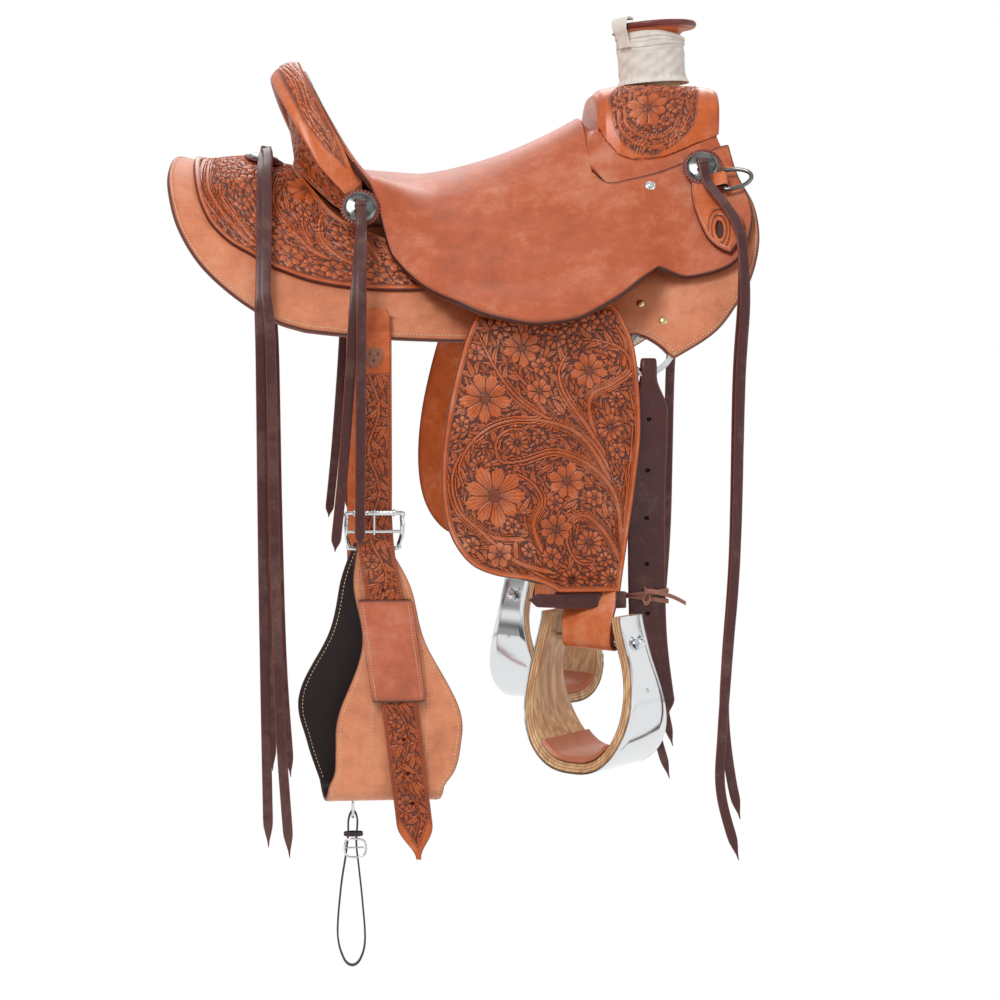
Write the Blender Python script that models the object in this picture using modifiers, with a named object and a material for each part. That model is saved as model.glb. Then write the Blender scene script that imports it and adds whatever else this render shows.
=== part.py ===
"""A slick-fork ranch saddle of the wade kind, built piece by piece as a saddler would.

Units are metres. +X points to the horse's head, +Y to its near (left) side, +Z up.
The origin is on the horse's back line under the rider. The camera side is the off side, at -Y.
Leather pieces are cut flat in (x, s), where s is the way down the horse's side from its spine,
and then laid over the back at their own lift from it.
"""

import math

import bmesh
import bpy
from mathutils import Matrix, Vector

MM = 0.001
GAP = 0.0003

# The horse's back: its spine line along x, and how it leans over down the side
SPINE_LOW = 0.012
SPINE_REAR_RISE = 0.052
SPINE_REAR_REACH = 0.36
SPINE_FRONT_RISE = 0.068
SPINE_FRONT_START = 0.02
SPINE_FRONT_REACH = 0.30
SIDE_LEAN = math.radians(68)
SIDE_REACH = 0.29
SIDE_POWER = 0.75
SIDE_STEP = 0.0025

# Layers, counted outwards from the horse
FLEECE_LIFT = 0.0
FLEECE_THICK = 10.8 * MM
SKIRT_LIFT = 12.2 * MM
SKIRT_THICK = 7.0 * MM
OVER_SKIRT = 20.4 * MM
BAR_THICK = 16 * MM
JOCKEY_THICK = 4.5 * MM
SEAT_THICK = 5.0 * MM
SEAT_OVER_BARS = 7.0 * MM
GROUND_SEAT_THICK = 4.0 * MM

# Seat and cantle
FORK_RISE = 0.072
CANTLE_X = -0.127
CANTLE_DEPTH = 0.083
CANTLE_HALF_WIDTH = 0.138
CANTLE_TOP_RISE = 0.118
CANTLE_END_RISE = 0.040

# Fork and horn
FORK_REAR_X = 0.164
FORK_FRONT_X = 0.302
FORK_TOP_Z = 0.169
FORK_HALF_WIDTH = 0.112
GULLET_HALF_WIDTH = 0.066
GULLET_TOP_Z = 0.118
FORK_SPREAD = 0.006
COVER_THICK = 4.2 * MM
FORK_CLEAR = 3.6 * MM
HORN_X = 0.2415
HORN_FOOT_Z = 0.1752
HORN_FOOT_RADIUS = 0.035
HORN_WRAP_RADIUS = 0.0435
HORN_CAP_RADIUS = 0.0525
HORN_HEIGHT = 0.0700
HORN_CAP_THICK = 0.0095
HORN_CAP_AHEAD = 0.008
HORN_TILT = math.radians(-4)

# Fenders and stirrups
HANG_X = 0.108
FENDER_BEND_Z = -0.121
FENDER_Y = -0.2555
FENDER_THICK = 4.5 * MM
LEATHER_THICK = 3.6 * MM
LEATHER_WIDTH = 0.070
BOLT_Z = -0.502
BOLT_Y = -0.262
STIRRUP_X = 0.131
STIRRUP_TURN = math.radians(-42)
STIRRUP_TOP_HALF = 0.043
STIRRUP_WIDE_HALF = 0.086
STIRRUP_AHEAD = 0.007
STIRRUP_DROP = 0.140
STIRRUP_RISE = 0.030
BOLT_REACH = 0.0670
BOLT_RADIUS = 0.0042
SLEEVE_RADIUS = 0.0080
WOOD_THICK = 0.012
BAND_THICK = 0.0018
TREAD_THICK = 0.005

# Straps and strings
STRING_WIDTH = 0.0125
STRING_THICK = 0.0028
BILLET_WIDTH = 0.045
BILLET_THICK = 0.0045
RIG_X = 0.2045
RIG_S = 0.3205
RIG_LIFT = SKIRT_LIFT + SKIRT_THICK / 2
RIG_RADIUS = 0.0275
RIG_BAND = 0.0076
RIG_THICK = 0.0034
BILLET_X = 0.200
BILLET_FOLD = 0.0080
BILLET_CROWN = 0.0150
BILLET_TAIL = 0.085
REAR_BILLET_X = -0.1255
REAR_BILLET_WIDTH = 0.043
REAR_HANG_Y = -0.2405
REAR_FOOT_Z = -0.768
REAR_LEAN = 0.052
LEAN_START_Z = -0.385
CINCH_THICK = 0.0046
BUCKLE_WIRE = 0.0026
TONGUE_WIRE = 0.0013
BUCKLE_FRONT_Y = REAR_HANG_Y - 0.0084
CINCH_FRONT_Y = REAR_HANG_Y + 0.0080
CINCH_DEPTH = 0.056
CINCH_FOLD_Z = -0.682
BUCKLE_TOP_Z = -0.352
BUCKLE_BAR_Z = -0.374
BUCKLE_HEEL_Z = -0.396
CONNECTOR_X = -0.151
CONNECTOR_Z = -0.6905
CONCHO_RADIUS = 0.0195
CONCHO_FRONT = (0.282, 0.127)
DEE_PLACE = (0.3060, 0.152)
DEE_RISE = 0.0110
CONCHO_CANTLE = (-0.138, -0.166, 0.010)
CONCHO_REAR = (-0.255, 0.036)

COLOURS = {
    "saddle_leather": ((0.55, 0.18, 0.07), 0.55, 0.0),
    "tooled_leather": ((0.47, 0.12, 0.035), 0.45, 0.0),
    "dark_leather": ((0.075, 0.025, 0.025), 0.5, 0.0),
    "black_leather": ((0.03, 0.022, 0.022), 0.5, 0.0),
    "fleece": ((0.72, 0.66, 0.54), 0.95, 0.0),
    "rawhide": ((0.62, 0.48, 0.28), 0.5, 0.0),
    "horn_leather": ((0.17, 0.035, 0.02), 0.4, 0.0),
    "mulehide": ((0.60, 0.56, 0.48), 0.9, 0.0),
    "wood": ((0.62, 0.38, 0.19), 0.5, 0.0),
    "steel": ((0.72, 0.73, 0.74), 0.22, 1.0),
}


def clear_scene():
    for old in list(bpy.data.objects):
        bpy.data.objects.remove(old, do_unlink=True)


def make_collections():
    parts = bpy.data.collections.new("wade_saddle")
    cutters = bpy.data.collections.new("cutters")
    for group in (parts, cutters):
        bpy.context.scene.collection.children.link(group)
    return parts, cutters


def make_material(name):
    colour, roughness, metallic = COLOURS[name]
    material = bpy.data.materials.new(name)
    material.use_nodes = True
    shader = material.node_tree.nodes["Principled BSDF"]
    shader.inputs["Base Color"].default_value = (*colour, 1)
    shader.inputs["Roughness"].default_value = roughness
    shader.inputs["Metallic"].default_value = metallic
    return material


# Small mathematics

def ease(low, high, value):
    """0 below low, 1 above high, and a smooth step between."""
    t = min(1.0, max(0.0, (value - low) / (high - low)))
    return t * t * (3 - 2 * t)


def mix(a, b, t):
    return a + (b - a) * t


def through(points, count):
    """count + 1 points spaced evenly along a smooth curve through the given points."""
    knots = [Vector(p) for p in points]
    ends = [2 * knots[0] - knots[1]] + knots + [2 * knots[-1] - knots[-2]]
    fine = []
    for i in range(1, len(ends) - 2):
        for k in range(12):
            t = k / 12
            a, b, c, d = ends[i - 1:i + 3]
            fine.append(0.5 * (2 * b + (c - a) * t + (2 * a - 5 * b + 4 * c - d) * t ** 2
                               + (3 * b - a - 3 * c + d) * t ** 3))
    fine.append(knots[-1])
    reach = [0.0]
    for a, b in zip(fine, fine[1:]):
        reach.append(reach[-1] + (b - a).length)
    found = []
    j = 0
    for i in range(count + 1):
        goal = reach[-1] * i / count
        while j < len(fine) - 2 and reach[j + 1] < goal:
            j += 1
        span = max(reach[j + 1] - reach[j], 1e-9)
        found.append(fine[j].lerp(fine[j + 1], min(1.0, (goal - reach[j]) / span)))
    return found


def chain(*legs):
    """One edge from several smooth legs that meet in corners; each leg is (points, count)."""
    edge = []
    for points, count in legs:
        leg = through(points, count)
        edge += leg if not edge else leg[1:]
    return edge


# The horse's back as a surface

def side_lean(s):
    return SIDE_LEAN * (abs(s) / SIDE_REACH) ** SIDE_POWER


def walk_section():
    """Half a cross-section, walked down from the spine in small steps: (out, down) at each."""
    out = down = 0.0
    walked = [(0.0, 0.0)]
    for i in range(170):
        lean = side_lean((i + 0.5) * SIDE_STEP)
        out += math.cos(lean) * SIDE_STEP
        down += math.sin(lean) * SIDE_STEP
        walked.append((out, down))
    return walked


SECTION = walk_section()


def spine_z(x):
    rear = max(0.0, -x / SPINE_REAR_REACH)
    front = max(0.0, (x - SPINE_FRONT_START) / SPINE_FRONT_REACH)
    return SPINE_LOW + SPINE_REAR_RISE * rear ** 2 + SPINE_FRONT_RISE * front ** 2


def on_back(x, s, lift=0.0):
    """The point at x along the horse, s down its off side (minus s: near side), lifted off it."""
    place = min(abs(s) / SIDE_STEP, len(SECTION) - 1.001)
    low = int(place)
    part = place - low
    out = mix(SECTION[low][0], SECTION[low + 1][0], part)
    down = mix(SECTION[low][1], SECTION[low + 1][1], part)
    lean = side_lean(s)
    y = out + lift * math.sin(lean)
    return Vector((x, -math.copysign(y, s), spine_z(x) - down + lift * math.cos(lean)))


def bar_hump(x, s):
    """How far the tree's bars raise what lies over them."""
    along = ease(-0.335, -0.27, x) * (1 - ease(0.30, 0.345, x))
    return BAR_THICK * along * (1 - ease(0.095, 0.165, abs(s)))


# Making solids

def new_object(name, mesh, material, group):
    thing = bpy.data.objects.new(name, mesh)
    group.objects.link(thing)
    mesh.materials.clear()
    mesh.materials.append(MATERIALS[material])
    mesh.shade_smooth()
    mesh.set_sharp_from_angle(angle=math.radians(40))
    return thing


def mesh_of(bm, name):
    bmesh.ops.recalc_face_normals(bm, faces=bm.faces)
    if bm.calc_volume(signed=True) < 0:
        bmesh.ops.reverse_faces(bm, faces=bm.faces)
    mesh = bpy.data.meshes.new(name)
    bm.to_mesh(mesh)
    bm.free()
    return mesh


def loft(name, sections, material, ring=False, at=(0, 0, 0)):
    """A solid skinned over sections of equal point counts, capped unless it is a ring."""
    origin = Vector(at)
    bm = bmesh.new()
    rows = [[bm.verts.new(Vector(p) - origin) for p in section] for section in sections]
    pairs = list(zip(rows, rows[1:]))
    if ring:
        pairs.append((rows[-1], rows[0]))
    for low, high in pairs:
        count = len(low)
        for i in range(count):
            j = (i + 1) % count
            bm.faces.new((low[i], low[j], high[j], high[i]))
    if not ring:
        for row in (rows[0], rows[-1]):
            face = bm.faces.new(row)
            bmesh.ops.triangulate(bm, faces=[face])
    thing = new_object(name, mesh_of(bm, name), material, PARTS)
    thing.location = origin
    return thing


def mirror(thing, name):
    """The near-side twin of an off-side piece."""
    bm = bmesh.new()
    bm.from_mesh(thing.data)
    flip = Matrix.Diagonal((1, -1, 1, 1))
    turn = thing.matrix_basis.to_3x3().to_4x4()
    bm.transform(turn)
    bm.transform(flip)
    mesh = mesh_of(bm, name)
    twin = new_object(name, mesh, thing.data.materials[0].name, PARTS)
    twin.location = (thing.location.x, -thing.location.y, thing.location.z)
    return twin


def both_sides(thing):
    """Names an off-side piece and makes its near-side twin."""
    stem = thing.name
    thing.name = stem + "_off"
    return thing, mirror(thing, stem + "_near")


def thicken(bm, thick):
    """Turns an open sheet into a solid by setting a second skin off along its normals."""
    bm.normal_update()
    sheet = list(bm.faces)
    rims = [e for e in bm.edges if e.is_boundary]
    upper = {v: bm.verts.new(v.co + v.normal * thick) for v in list(bm.verts)}
    for face in sheet:
        bm.faces.new([upper[v] for v in face.verts])
    for edge in rims:
        a, b = edge.verts
        bm.faces.new((a, b, upper[b], upper[a]))


def sheet_rows(top, bottom, rows):
    """A grid between two edges of the flat pattern: each column runs from top to bottom."""
    return [[t.lerp(b, k / rows) for k in range(rows + 1)] for t, b in zip(top, bottom)]


def leather(name, top, bottom, rows, lay, thick, material, both=False, sink=0.0):
    """A leather panel cut flat between a top and a bottom edge, laid over the back by lay(x, s)."""
    bm = bmesh.new()
    sides = (1, -1) if both else (1,)
    for side in sides:
        grid = [[bm.verts.new(lay(p.x, p.y * side)) for p in column]
                for column in sheet_rows(top, bottom, rows)]
        for left, right in zip(grid, grid[1:]):
            for k in range(rows):
                quad = (left[k], left[k + 1], right[k + 1], right[k])
                bm.faces.new(quad if side > 0 else quad[::-1])
    bmesh.ops.remove_doubles(bm, verts=bm.verts, dist=0.00005)
    bm.normal_update()
    if sum(f.normal.z for f in bm.faces) < 0:
        bmesh.ops.reverse_faces(bm, faces=bm.faces)
        bm.normal_update()
    for v, down in [(v, v.normal * sink) for v in bm.verts]:
        v.co -= down
    thicken(bm, thick)
    return new_object(name, mesh_of(bm, name), material, PARTS)


def strap(name, stations, material, at=(0, 0, 0)):
    """A flat strap through stations of (centre, width direction, face direction, width, thickness)."""
    sections = []
    for centre, across, out, width, thick in stations:
        a = Vector(across).normalized() * (width / 2)
        o = Vector(out).normalized() * (thick / 2)
        c = Vector(centre)
        sections.append([c - a - o, c + a - o, c + a + o, c - a + o])
    return loft(name, sections, material, at=at)


def turned(name, profile, steps, material, at, turn=None):
    """A turned piece: the profile is (radius, height) from the axis at the top to the bottom."""
    mesh = bpy.data.meshes.new(name)
    points = [(r, 0, h) for r, h in profile]
    mesh.from_pydata(points, [(i, i + 1) for i in range(len(points) - 1)], [])
    blank = bpy.data.objects.new(name + "_profile", mesh)
    PARTS.objects.link(blank)
    spin = blank.modifiers.new("turn", "SCREW")
    spin.steps = steps
    spin.render_steps = steps
    spin.use_merge_vertices = True
    spin.merge_threshold = 0.0001
    spin.use_smooth_shade = True
    graph = bpy.context.evaluated_depsgraph_get()
    done = bpy.data.meshes.new_from_object(blank.evaluated_get(graph))
    bpy.data.objects.remove(blank, do_unlink=True)
    bm = bmesh.new()
    bm.from_mesh(done)
    bmesh.ops.remove_doubles(bm, verts=bm.verts, dist=0.0001)
    if turn is not None:
        bm.transform(turn.to_4x4())
    thing = new_object(name, mesh_of(bm, name), material, PARTS)
    thing.location = at
    return thing


def cut(thing, cutter, keep=False, operation="DIFFERENCE"):
    """Takes the cutter's shape out of a piece with an exact Boolean, applied to its mesh."""
    change = thing.modifiers.new("cut", "BOOLEAN")
    change.operation = operation
    change.solver = "EXACT"
    change.object = cutter
    graph = bpy.context.evaluated_depsgraph_get()
    mesh = bpy.data.meshes.new_from_object(thing.evaluated_get(graph))
    thing.modifiers.remove(change)
    old = thing.data
    material = old.materials[0]
    thing.data = mesh
    mesh.name = thing.name
    mesh.materials.clear()
    mesh.materials.append(material)
    mesh.shade_smooth()
    mesh.set_sharp_from_angle(angle=math.radians(40))
    bpy.data.meshes.remove(old)
    if not keep:
        bpy.data.objects.remove(cutter, do_unlink=True)


def join(thing, other):
    """Fuses another solid of the same piece into it."""
    cut(thing, other, operation="UNION")


def as_cutter(thing):
    for group in list(thing.users_collection):
        group.objects.unlink(thing)
    CUTTERS.objects.link(thing)
    thing.hide_render = True
    thing.display_type = "WIRE"
    return thing


# Skirts, fleece and rear jockeys

SKIRT_TOP = (((-0.345, 0.004), (-0.25, 0.004), (-0.18, 0.016), (-0.05, 0.030), (0.10, 0.036),
              (0.20, 0.046), (0.27, 0.064), (0.320, 0.091)), 22)
SKIRT_REAR = (((-0.345, 0.004), (-0.364, 0.030), (-0.371, 0.090), (-0.368, 0.140), (-0.356, 0.190),
               (-0.330, 0.233), (-0.290, 0.264), (-0.245, 0.284), (-0.205, 0.290)), 8)
SKIRT_FOOT = (((-0.205, 0.290), (-0.07, 0.286), (0.06, 0.287), (0.186, 0.299)), 4)
SKIRT_NOTCH = (((0.186, 0.299), (0.200, 0.307), (0.217, 0.323), (0.229, 0.340)), 3)
SKIRT_FRONT = (((0.229, 0.340), (0.279, 0.327), (0.305, 0.308), (0.328, 0.280), (0.341, 0.240),
                (0.342, 0.195), (0.334, 0.150), (0.320, 0.091)), 7)


def make_skirts():
    top = chain(SKIRT_TOP)
    edge = chain(SKIRT_REAR, SKIRT_FOOT, SKIRT_NOTCH, SKIRT_FRONT)
    skirt = leather("skirt", top, edge, 9, lambda x, s: on_back(x, s, SKIRT_LIFT),
                    SKIRT_THICK, "saddle_leather")
    both_sides(skirt)
    inner_top = [Vector((mix(p.x, 0.0, 0.012), p.y + 0.003)) for p in top]
    inner_edge = [Vector((mix(p.x, 0.0, 0.012), max(p.y - 0.005, 0.0085))) for p in edge]
    inner_top[0] = inner_edge[0]
    inner_top[-1] = inner_edge[-1]
    fleece = leather("fleece", inner_top, inner_edge, 8, lambda x, s: on_back(x, s, FLEECE_LIFT),
                     FLEECE_THICK, "fleece")
    both_sides(fleece)


def over_bars(x, s, extra=0.0):
    return on_back(x, s, OVER_SKIRT + bar_hump(x, s) + extra)


def make_rear_jockeys():
    top = chain((((-0.338, 0.003), (-0.290, 0.003), (-0.236, 0.003)), 5),
                (((-0.236, 0.003), (-0.230, 0.055), (-0.207, 0.098), (-0.178, 0.132)), 7),
                (((-0.178, 0.132), (-0.150, 0.150), (-0.095, 0.178)), 5))
    edge = chain((((-0.338, 0.003), (-0.341, 0.050), (-0.336, 0.120), (-0.322, 0.168),
                   (-0.298, 0.195), (-0.268, 0.209), (-0.240, 0.221)), 9),
                 (((-0.240, 0.221), (-0.200, 0.227), (-0.151, 0.227), (-0.095, 0.219)), 8))
    jockey = leather("rear_jockey", top, edge, 7, over_bars, JOCKEY_THICK, "tooled_leather")
    both_sides(jockey)


# Tree: two bars, fork, cantle and horn

def make_bars():
    sections = []
    for i in range(19):
        t = i / 18
        x = mix(-0.292, 0.300, t)
        round_end = math.sqrt(max(0.0, 1 - (2 * t - 1) ** 6))
        flare = 0.012 * ease(0.75, 1.0, t)
        inner = 0.060 - 0.032 * round_end + flare
        outer = 0.080 + 0.048 * round_end + flare
        low = [on_back(x, mix(inner, outer, k / 4), OVER_SKIRT - 0.1 * MM) for k in range(5)]
        high = []
        for k in range(5):
            s = mix(outer, inner, k / 4)
            rise = max(bar_hump(x, s) - 3.2 * MM, 2.0 * MM)
            high.append(on_back(x, s, OVER_SKIRT - 0.1 * MM + rise))
        sections.append(low + high)
    both_sides(loft("tree_bar", sections, "rawhide"))


def arch(half_width, foot_z, top_z, power, count, spread=0.0):
    """A rounded arch in (y, z), from the off foot over the top to the near foot."""
    found = []
    for i in range(count + 1):
        a = math.pi * i / count
        low = (1 - math.sin(a)) ** 3
        y = -math.copysign(abs(math.cos(a)) ** power, math.cos(a)) * (half_width + spread * low)
        found.append((y, foot_z + (top_z - foot_z) * math.sin(a) ** power))
    return found


def bar_top_z(x, y):
    """The height of what lies on the bars, y out from the middle line."""
    low, high = 0.0, 0.25
    for _ in range(24):
        s = (low + high) / 2
        if -over_bars(x, s).y < y:
            low = s
        else:
            high = s
    return over_bars(x, low).z


def shell(name, outer, inner, material):
    """A closed solid between two grids of points of the same shape."""
    bm = bmesh.new()
    outside = [[bm.verts.new(p) for p in row] for row in outer]
    inside = [[bm.verts.new(p) for p in row] for row in inner]
    last = len(outside[0]) - 1
    for j in range(len(outside) - 1):
        for grid, step in ((outside, 1), (inside, -1)):
            for i in range(last):
                quad = (grid[j][i], grid[j][i + 1], grid[j + 1][i + 1], grid[j + 1][i])
                bm.faces.new(quad[::step])
        for i in (0, last):
            bm.faces.new((outside[j][i], outside[j + 1][i], inside[j + 1][i], inside[j][i]))
    for j in (0, len(outside) - 1):
        for i in range(last):
            bm.faces.new((outside[j][i], outside[j][i + 1], inside[j][i + 1], inside[j][i]))
    return new_object(name, mesh_of(bm, name), material, PARTS)


def fork_solid(name, grow, deeper, material="rawhide"):
    """The fork as a thick arch from its rear face to its front face, standing on the bars."""
    stations = ((0.0, 0.80), (0.05, 0.91), (0.16, 0.975), (0.35, 1.0), (0.70, 1.0),
                (0.88, 0.975), (0.97, 0.92), (1.0, 0.86))
    rear = FORK_REAR_X - grow
    front = FORK_FRONT_X + grow
    grids = ([], [])
    for t, size in stations:
        x = mix(rear, front, t)
        wide = FORK_HALF_WIDTH * mix(1.0, size, 0.8)
        foot = bar_top_z(x, wide + FORK_SPREAD) + FORK_CLEAR
        gullet_foot = bar_top_z(x, GULLET_HALF_WIDTH) + FORK_CLEAR
        top = mix(foot, FORK_TOP_Z, mix(1.0, size, 0.5)) + grow
        lean = 0.008 * t
        rows = (arch(wide + grow, foot, top, 0.62, 16, FORK_SPREAD),
                arch(GULLET_HALF_WIDTH - grow, gullet_foot, GULLET_TOP_Z - grow, 0.62, 16))
        for grid, row in zip(grids, rows):
            row = [(row[0][0], row[0][1] - deeper)] + row + [(row[-1][0], row[-1][1] - deeper)]
            grid.append([(x + lean * (z - foot) / 0.1, y, z) for y, z in row])
    return shell(name, *grids, material)


def make_fork():
    fork = fork_solid("tree_fork", 0.0, 0.6 * MM)
    join(fork, make_horn_post())
    cover = fork_solid("fork_cover", COVER_THICK, 1.0 * MM, "tooled_leather")
    cut(cover, as_cutter(fork_solid("fork_inside", 2 * GAP, 0.012)))
    bore = HORN_FOOT_RADIUS + 2 * GAP
    hole = ((0.0, 0.03), (bore, 0.03), (bore, -0.02), (0.0, -0.02))
    cut(cover, as_cutter(on_horn("horn_hole", hole, 18, "rawhide")))


def dish_direction(phi):
    """The way out from the cantle's middle at angle phi from straight back, off side first."""
    return Vector((-math.cos(phi) * CANTLE_DEPTH, math.sin(phi) * CANTLE_HALF_WIDTH))


def seat_rise(x, s):
    """How far the seat stands above the bars' lay: up the fork, and up the dished cantle."""
    wide = abs(s)
    fork = FORK_RISE * min(1.0, max(0.0, (x + 0.06) / 0.23)) ** 1.3 * (1 - ease(0.03, 0.15, wide))
    back = max(0.0, CANTLE_X - x) / CANTLE_DEPTH
    out = wide / CANTLE_HALF_WIDTH
    reach = math.hypot(back, out)
    share = back / reach if reach > 0 else 0.0
    rim = mix(CANTLE_END_RISE, CANTLE_TOP_RISE, share)
    forward = 1 - ease(CANTLE_X, -0.03, x)
    dish = rim * ease(0.42, 1.02, reach) * forward * (1 - ease(0.148, 0.190, wide))
    return fork + dish


def flap_standoff(x, s):
    """Room left under the seat's side flap for the stirrup leather and fender."""
    along = ease(-0.11, -0.02, x) * (1 - ease(0.185, 0.25, x))
    return along * mix(0.0, 1.0, ease(0.10, 0.165, abs(s))) * (0.014 + 0.014 * ease(0.17, 0.26, abs(s)))


def seat_lay(x, s, extra=0.0):
    lift = OVER_SKIRT + bar_hump(x, s) + SEAT_OVER_BARS + flap_standoff(x, s) + extra
    return on_back(x, s, lift) + Vector((0, 0, seat_rise(x, s)))


def rim_points(reach, count):
    """Points (x, s) round the cantle at a share of its full reach, from back to the off end."""
    found = []
    for i in range(count + 1):
        phi = math.pi / 2 * i / count
        d = dish_direction(phi) * reach
        found.append(Vector((CANTLE_X + d.x, d.y)))
    return found


def make_seat():
    rim = rim_points(0.97, 9)
    centre = [Vector((mix(rim[0].x, CANTLE_X, (i / 9) ** 1.2), 0.0)) for i in range(10)]
    top = centre + chain((((CANTLE_X, 0.0), (0.0, 0.0), (0.146, 0.0)), 9))[1:]
    top += chain((((0.146, 0.0), (0.1465, 0.06), (0.149, 0.100)), 4),
                 (((0.149, 0.100), (0.161, 0.112), (0.210, 0.115), (0.285, 0.113), (0.316, 0.112)), 7))[1:]
    edge = rim + chain((((CANTLE_X, 0.1407), (-0.126, 0.155), (-0.112, 0.165), (-0.100, 0.188),
                         (-0.080, 0.215), (-0.045, 0.242), (0.0, 0.257), (0.060, 0.263)), 9),
                       (((0.060, 0.263), (0.115, 0.262), (0.160, 0.256)), 4),
                       (((0.160, 0.256), (0.190, 0.248), (0.210, 0.240)), 2),
                       (((0.210, 0.240), (0.241, 0.252), (0.272, 0.260), (0.303, 0.260), (0.324, 0.247),
                         (0.333, 0.220), (0.333, 0.180), (0.316, 0.112)), 5))[1:]
    leather("seat_leather", top, edge, 8, seat_lay, SEAT_THICK, "saddle_leather", both=True)


def make_ground_seat():
    rim = rim_points(0.70, 5)
    centre = [Vector((mix(rim[0].x, CANTLE_X, i / 5), 0.0)) for i in range(6)]
    top = centre + chain((((CANTLE_X, 0.0), (0.0, 0.0), (0.140, 0.0)), 7))[1:]
    edge = rim + chain((((CANTLE_X, 0.0966), (-0.02, 0.104), (0.06, 0.102), (0.140, 0.096)), 7))[1:]
    leather("ground_seat", top, edge, 4, seat_lay, GROUND_SEAT_THICK,
            "saddle_leather", both=True, sink=GROUND_SEAT_THICK + 4.4 * MM)


def cantle_station(phi):
    """The rim, the dish and the foot of the cantle at angle phi, on the seat leather's top side."""
    side = math.copysign(1, phi) if phi else 1
    def seat_at(reach, drop):
        d = dish_direction(abs(phi)) * reach
        p = seat_lay(CANTLE_X + d.x, d.y, 0.0)
        return Vector((p.x, p.y * side, p.z - drop))
    def foot_at(reach):
        d = dish_direction(abs(phi)) * reach
        p = over_bars(CANTLE_X + d.x, d.y, 5.6 * MM if reach > 1 else 0.6 * MM)
        return Vector((p.x, p.y * side, p.z))
    return seat_at, foot_at


def make_cantle():
    board = []
    back = []
    roll = []
    count = 22
    for i in range(count + 1):
        phi = math.radians(mix(-84, 84, i / count))
        seat_at, foot_at = cantle_station(phi)
        a = seat_at(0.84, 2.0 * MM)
        b = seat_at(0.92, 3.0 * MM)
        c = seat_at(0.975, 4.5 * MM)
        rim = seat_at(0.97, 0.0)
        out = Vector((-1.0, 0.62 * -math.sin(phi), 0)).normalized()
        d = rim + out * 0.016 + Vector((0, 0, -0.018))
        e = foot_at(0.985)
        e.z = max(e.z, foot_at(0.95).z) + 1.0 * MM
        f = foot_at(0.84)
        f.z = min(f.z + 0.5 * MM, a.z - 4 * MM)
        c.z = max(c.z, d.z + 0.001)
        board.append([a, b, c, d, e, f])
        skin = []
        for k in range(5):
            p = d.lerp(e, k / 4) + out * (1.8 * MM)
            skin.append(p)
        outer = [p + out * (4 * MM) for p in skin[::-1]]
        back.append(skin + outer)
        lip = ((0.0, 0.0105), (0.010, 0.0125), (0.022, 0.008), (0.032, -0.001), (0.036, -0.010),
               (0.031, -0.0155), (0.018, -0.0125), (0.004, -0.0005), (0.0015, 0.004))
        roll.append([rim + out * (o + 2.8 * MM) + Vector((0, 0, h)) for o, h in lip])
    loft("tree_cantle", board, "rawhide")
    loft("cantle_back", back, "tooled_leather")
    loft("cantle_roll", roll, "tooled_leather")


def on_horn(name, profile, steps, material, ahead=0.0):
    """A piece turned about the horn's leaning axis, heights counted from the horn's foot."""
    turn = Matrix.Rotation(HORN_TILT, 3, "Y")
    place = Vector((HORN_X, 0, HORN_FOOT_Z)) + turn @ Vector((ahead, 0, 0))
    return turned(name, profile, steps, material, place, turn)


def make_horn_post():
    top = HORN_HEIGHT - 0.0005
    post = ((0.0, top), (0.030, top), (0.034, top - 0.007), (0.032, 0.040),
            (0.034, 0.012), (HORN_FOOT_RADIUS, 0.0), (HORN_FOOT_RADIUS, -0.020), (0.0, -0.020))
    return on_horn("horn_post", post, 20, "rawhide")


def make_horn():
    bore = HORN_FOOT_RADIUS + 0.8 * MM
    top = HORN_HEIGHT - 0.003
    wrap = [(bore, top)]
    laps = 5
    tall = (top - 0.007) / laps
    for i in range(laps):
        low = top - tall * i
        waist = 0.0013 * math.cos(math.tau * (i + 0.5) / laps)
        wrap.append((HORN_WRAP_RADIUS - 0.0012 + waist, low - 0.0012))
        wrap.append((HORN_WRAP_RADIUS + waist, low - tall * 0.8))
    wrap += [(0.0455, 0.004), (0.0455, 0.0015), (bore, 0.0015), (bore, top)]
    on_horn("horn_wrap", wrap, 20, "mulehide")
    low = HORN_HEIGHT
    high = HORN_HEIGHT + HORN_CAP_THICK
    edge = HORN_CAP_RADIUS - 0.003
    cap = ((0.0, high + 0.0015), (0.030, high + 0.001), (edge, high - 0.001), (HORN_CAP_RADIUS, low + 0.0065),
           (HORN_CAP_RADIUS, low + 0.002), (edge, low), (0.0, low))
    on_horn("horn_cap", cap, 24, "horn_leather", HORN_CAP_AHEAD)


# Fenders, stirrup leathers and stirrups

def fender_half_width(t):
    """Rear and front reach of the fender from its hanging line, at share t of its drop."""
    rear = ((0.0, 0.112), (0.12, 0.129), (0.38, 0.149), (0.60, 0.155), (0.77, 0.147), (0.885, 0.124),
            (0.935, 0.092), (0.96, 0.043), (1.0, 0.016))
    front = ((0.0, 0.070), (0.15, 0.080), (0.40, 0.081), (0.60, 0.075), (0.80, 0.066), (0.93, 0.060),
             (1.0, 0.057))
    found = []
    for line in (rear, front):
        for (t0, a), (t1, b) in zip(line, line[1:]):
            if t <= t1 or t1 == 1.0:
                found.append(mix(a, b, ease(0, 1, (t - t0) / (t1 - t0)) if t1 < 1 else (t - t0) / (t1 - t0)))
                break
    return found


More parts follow.
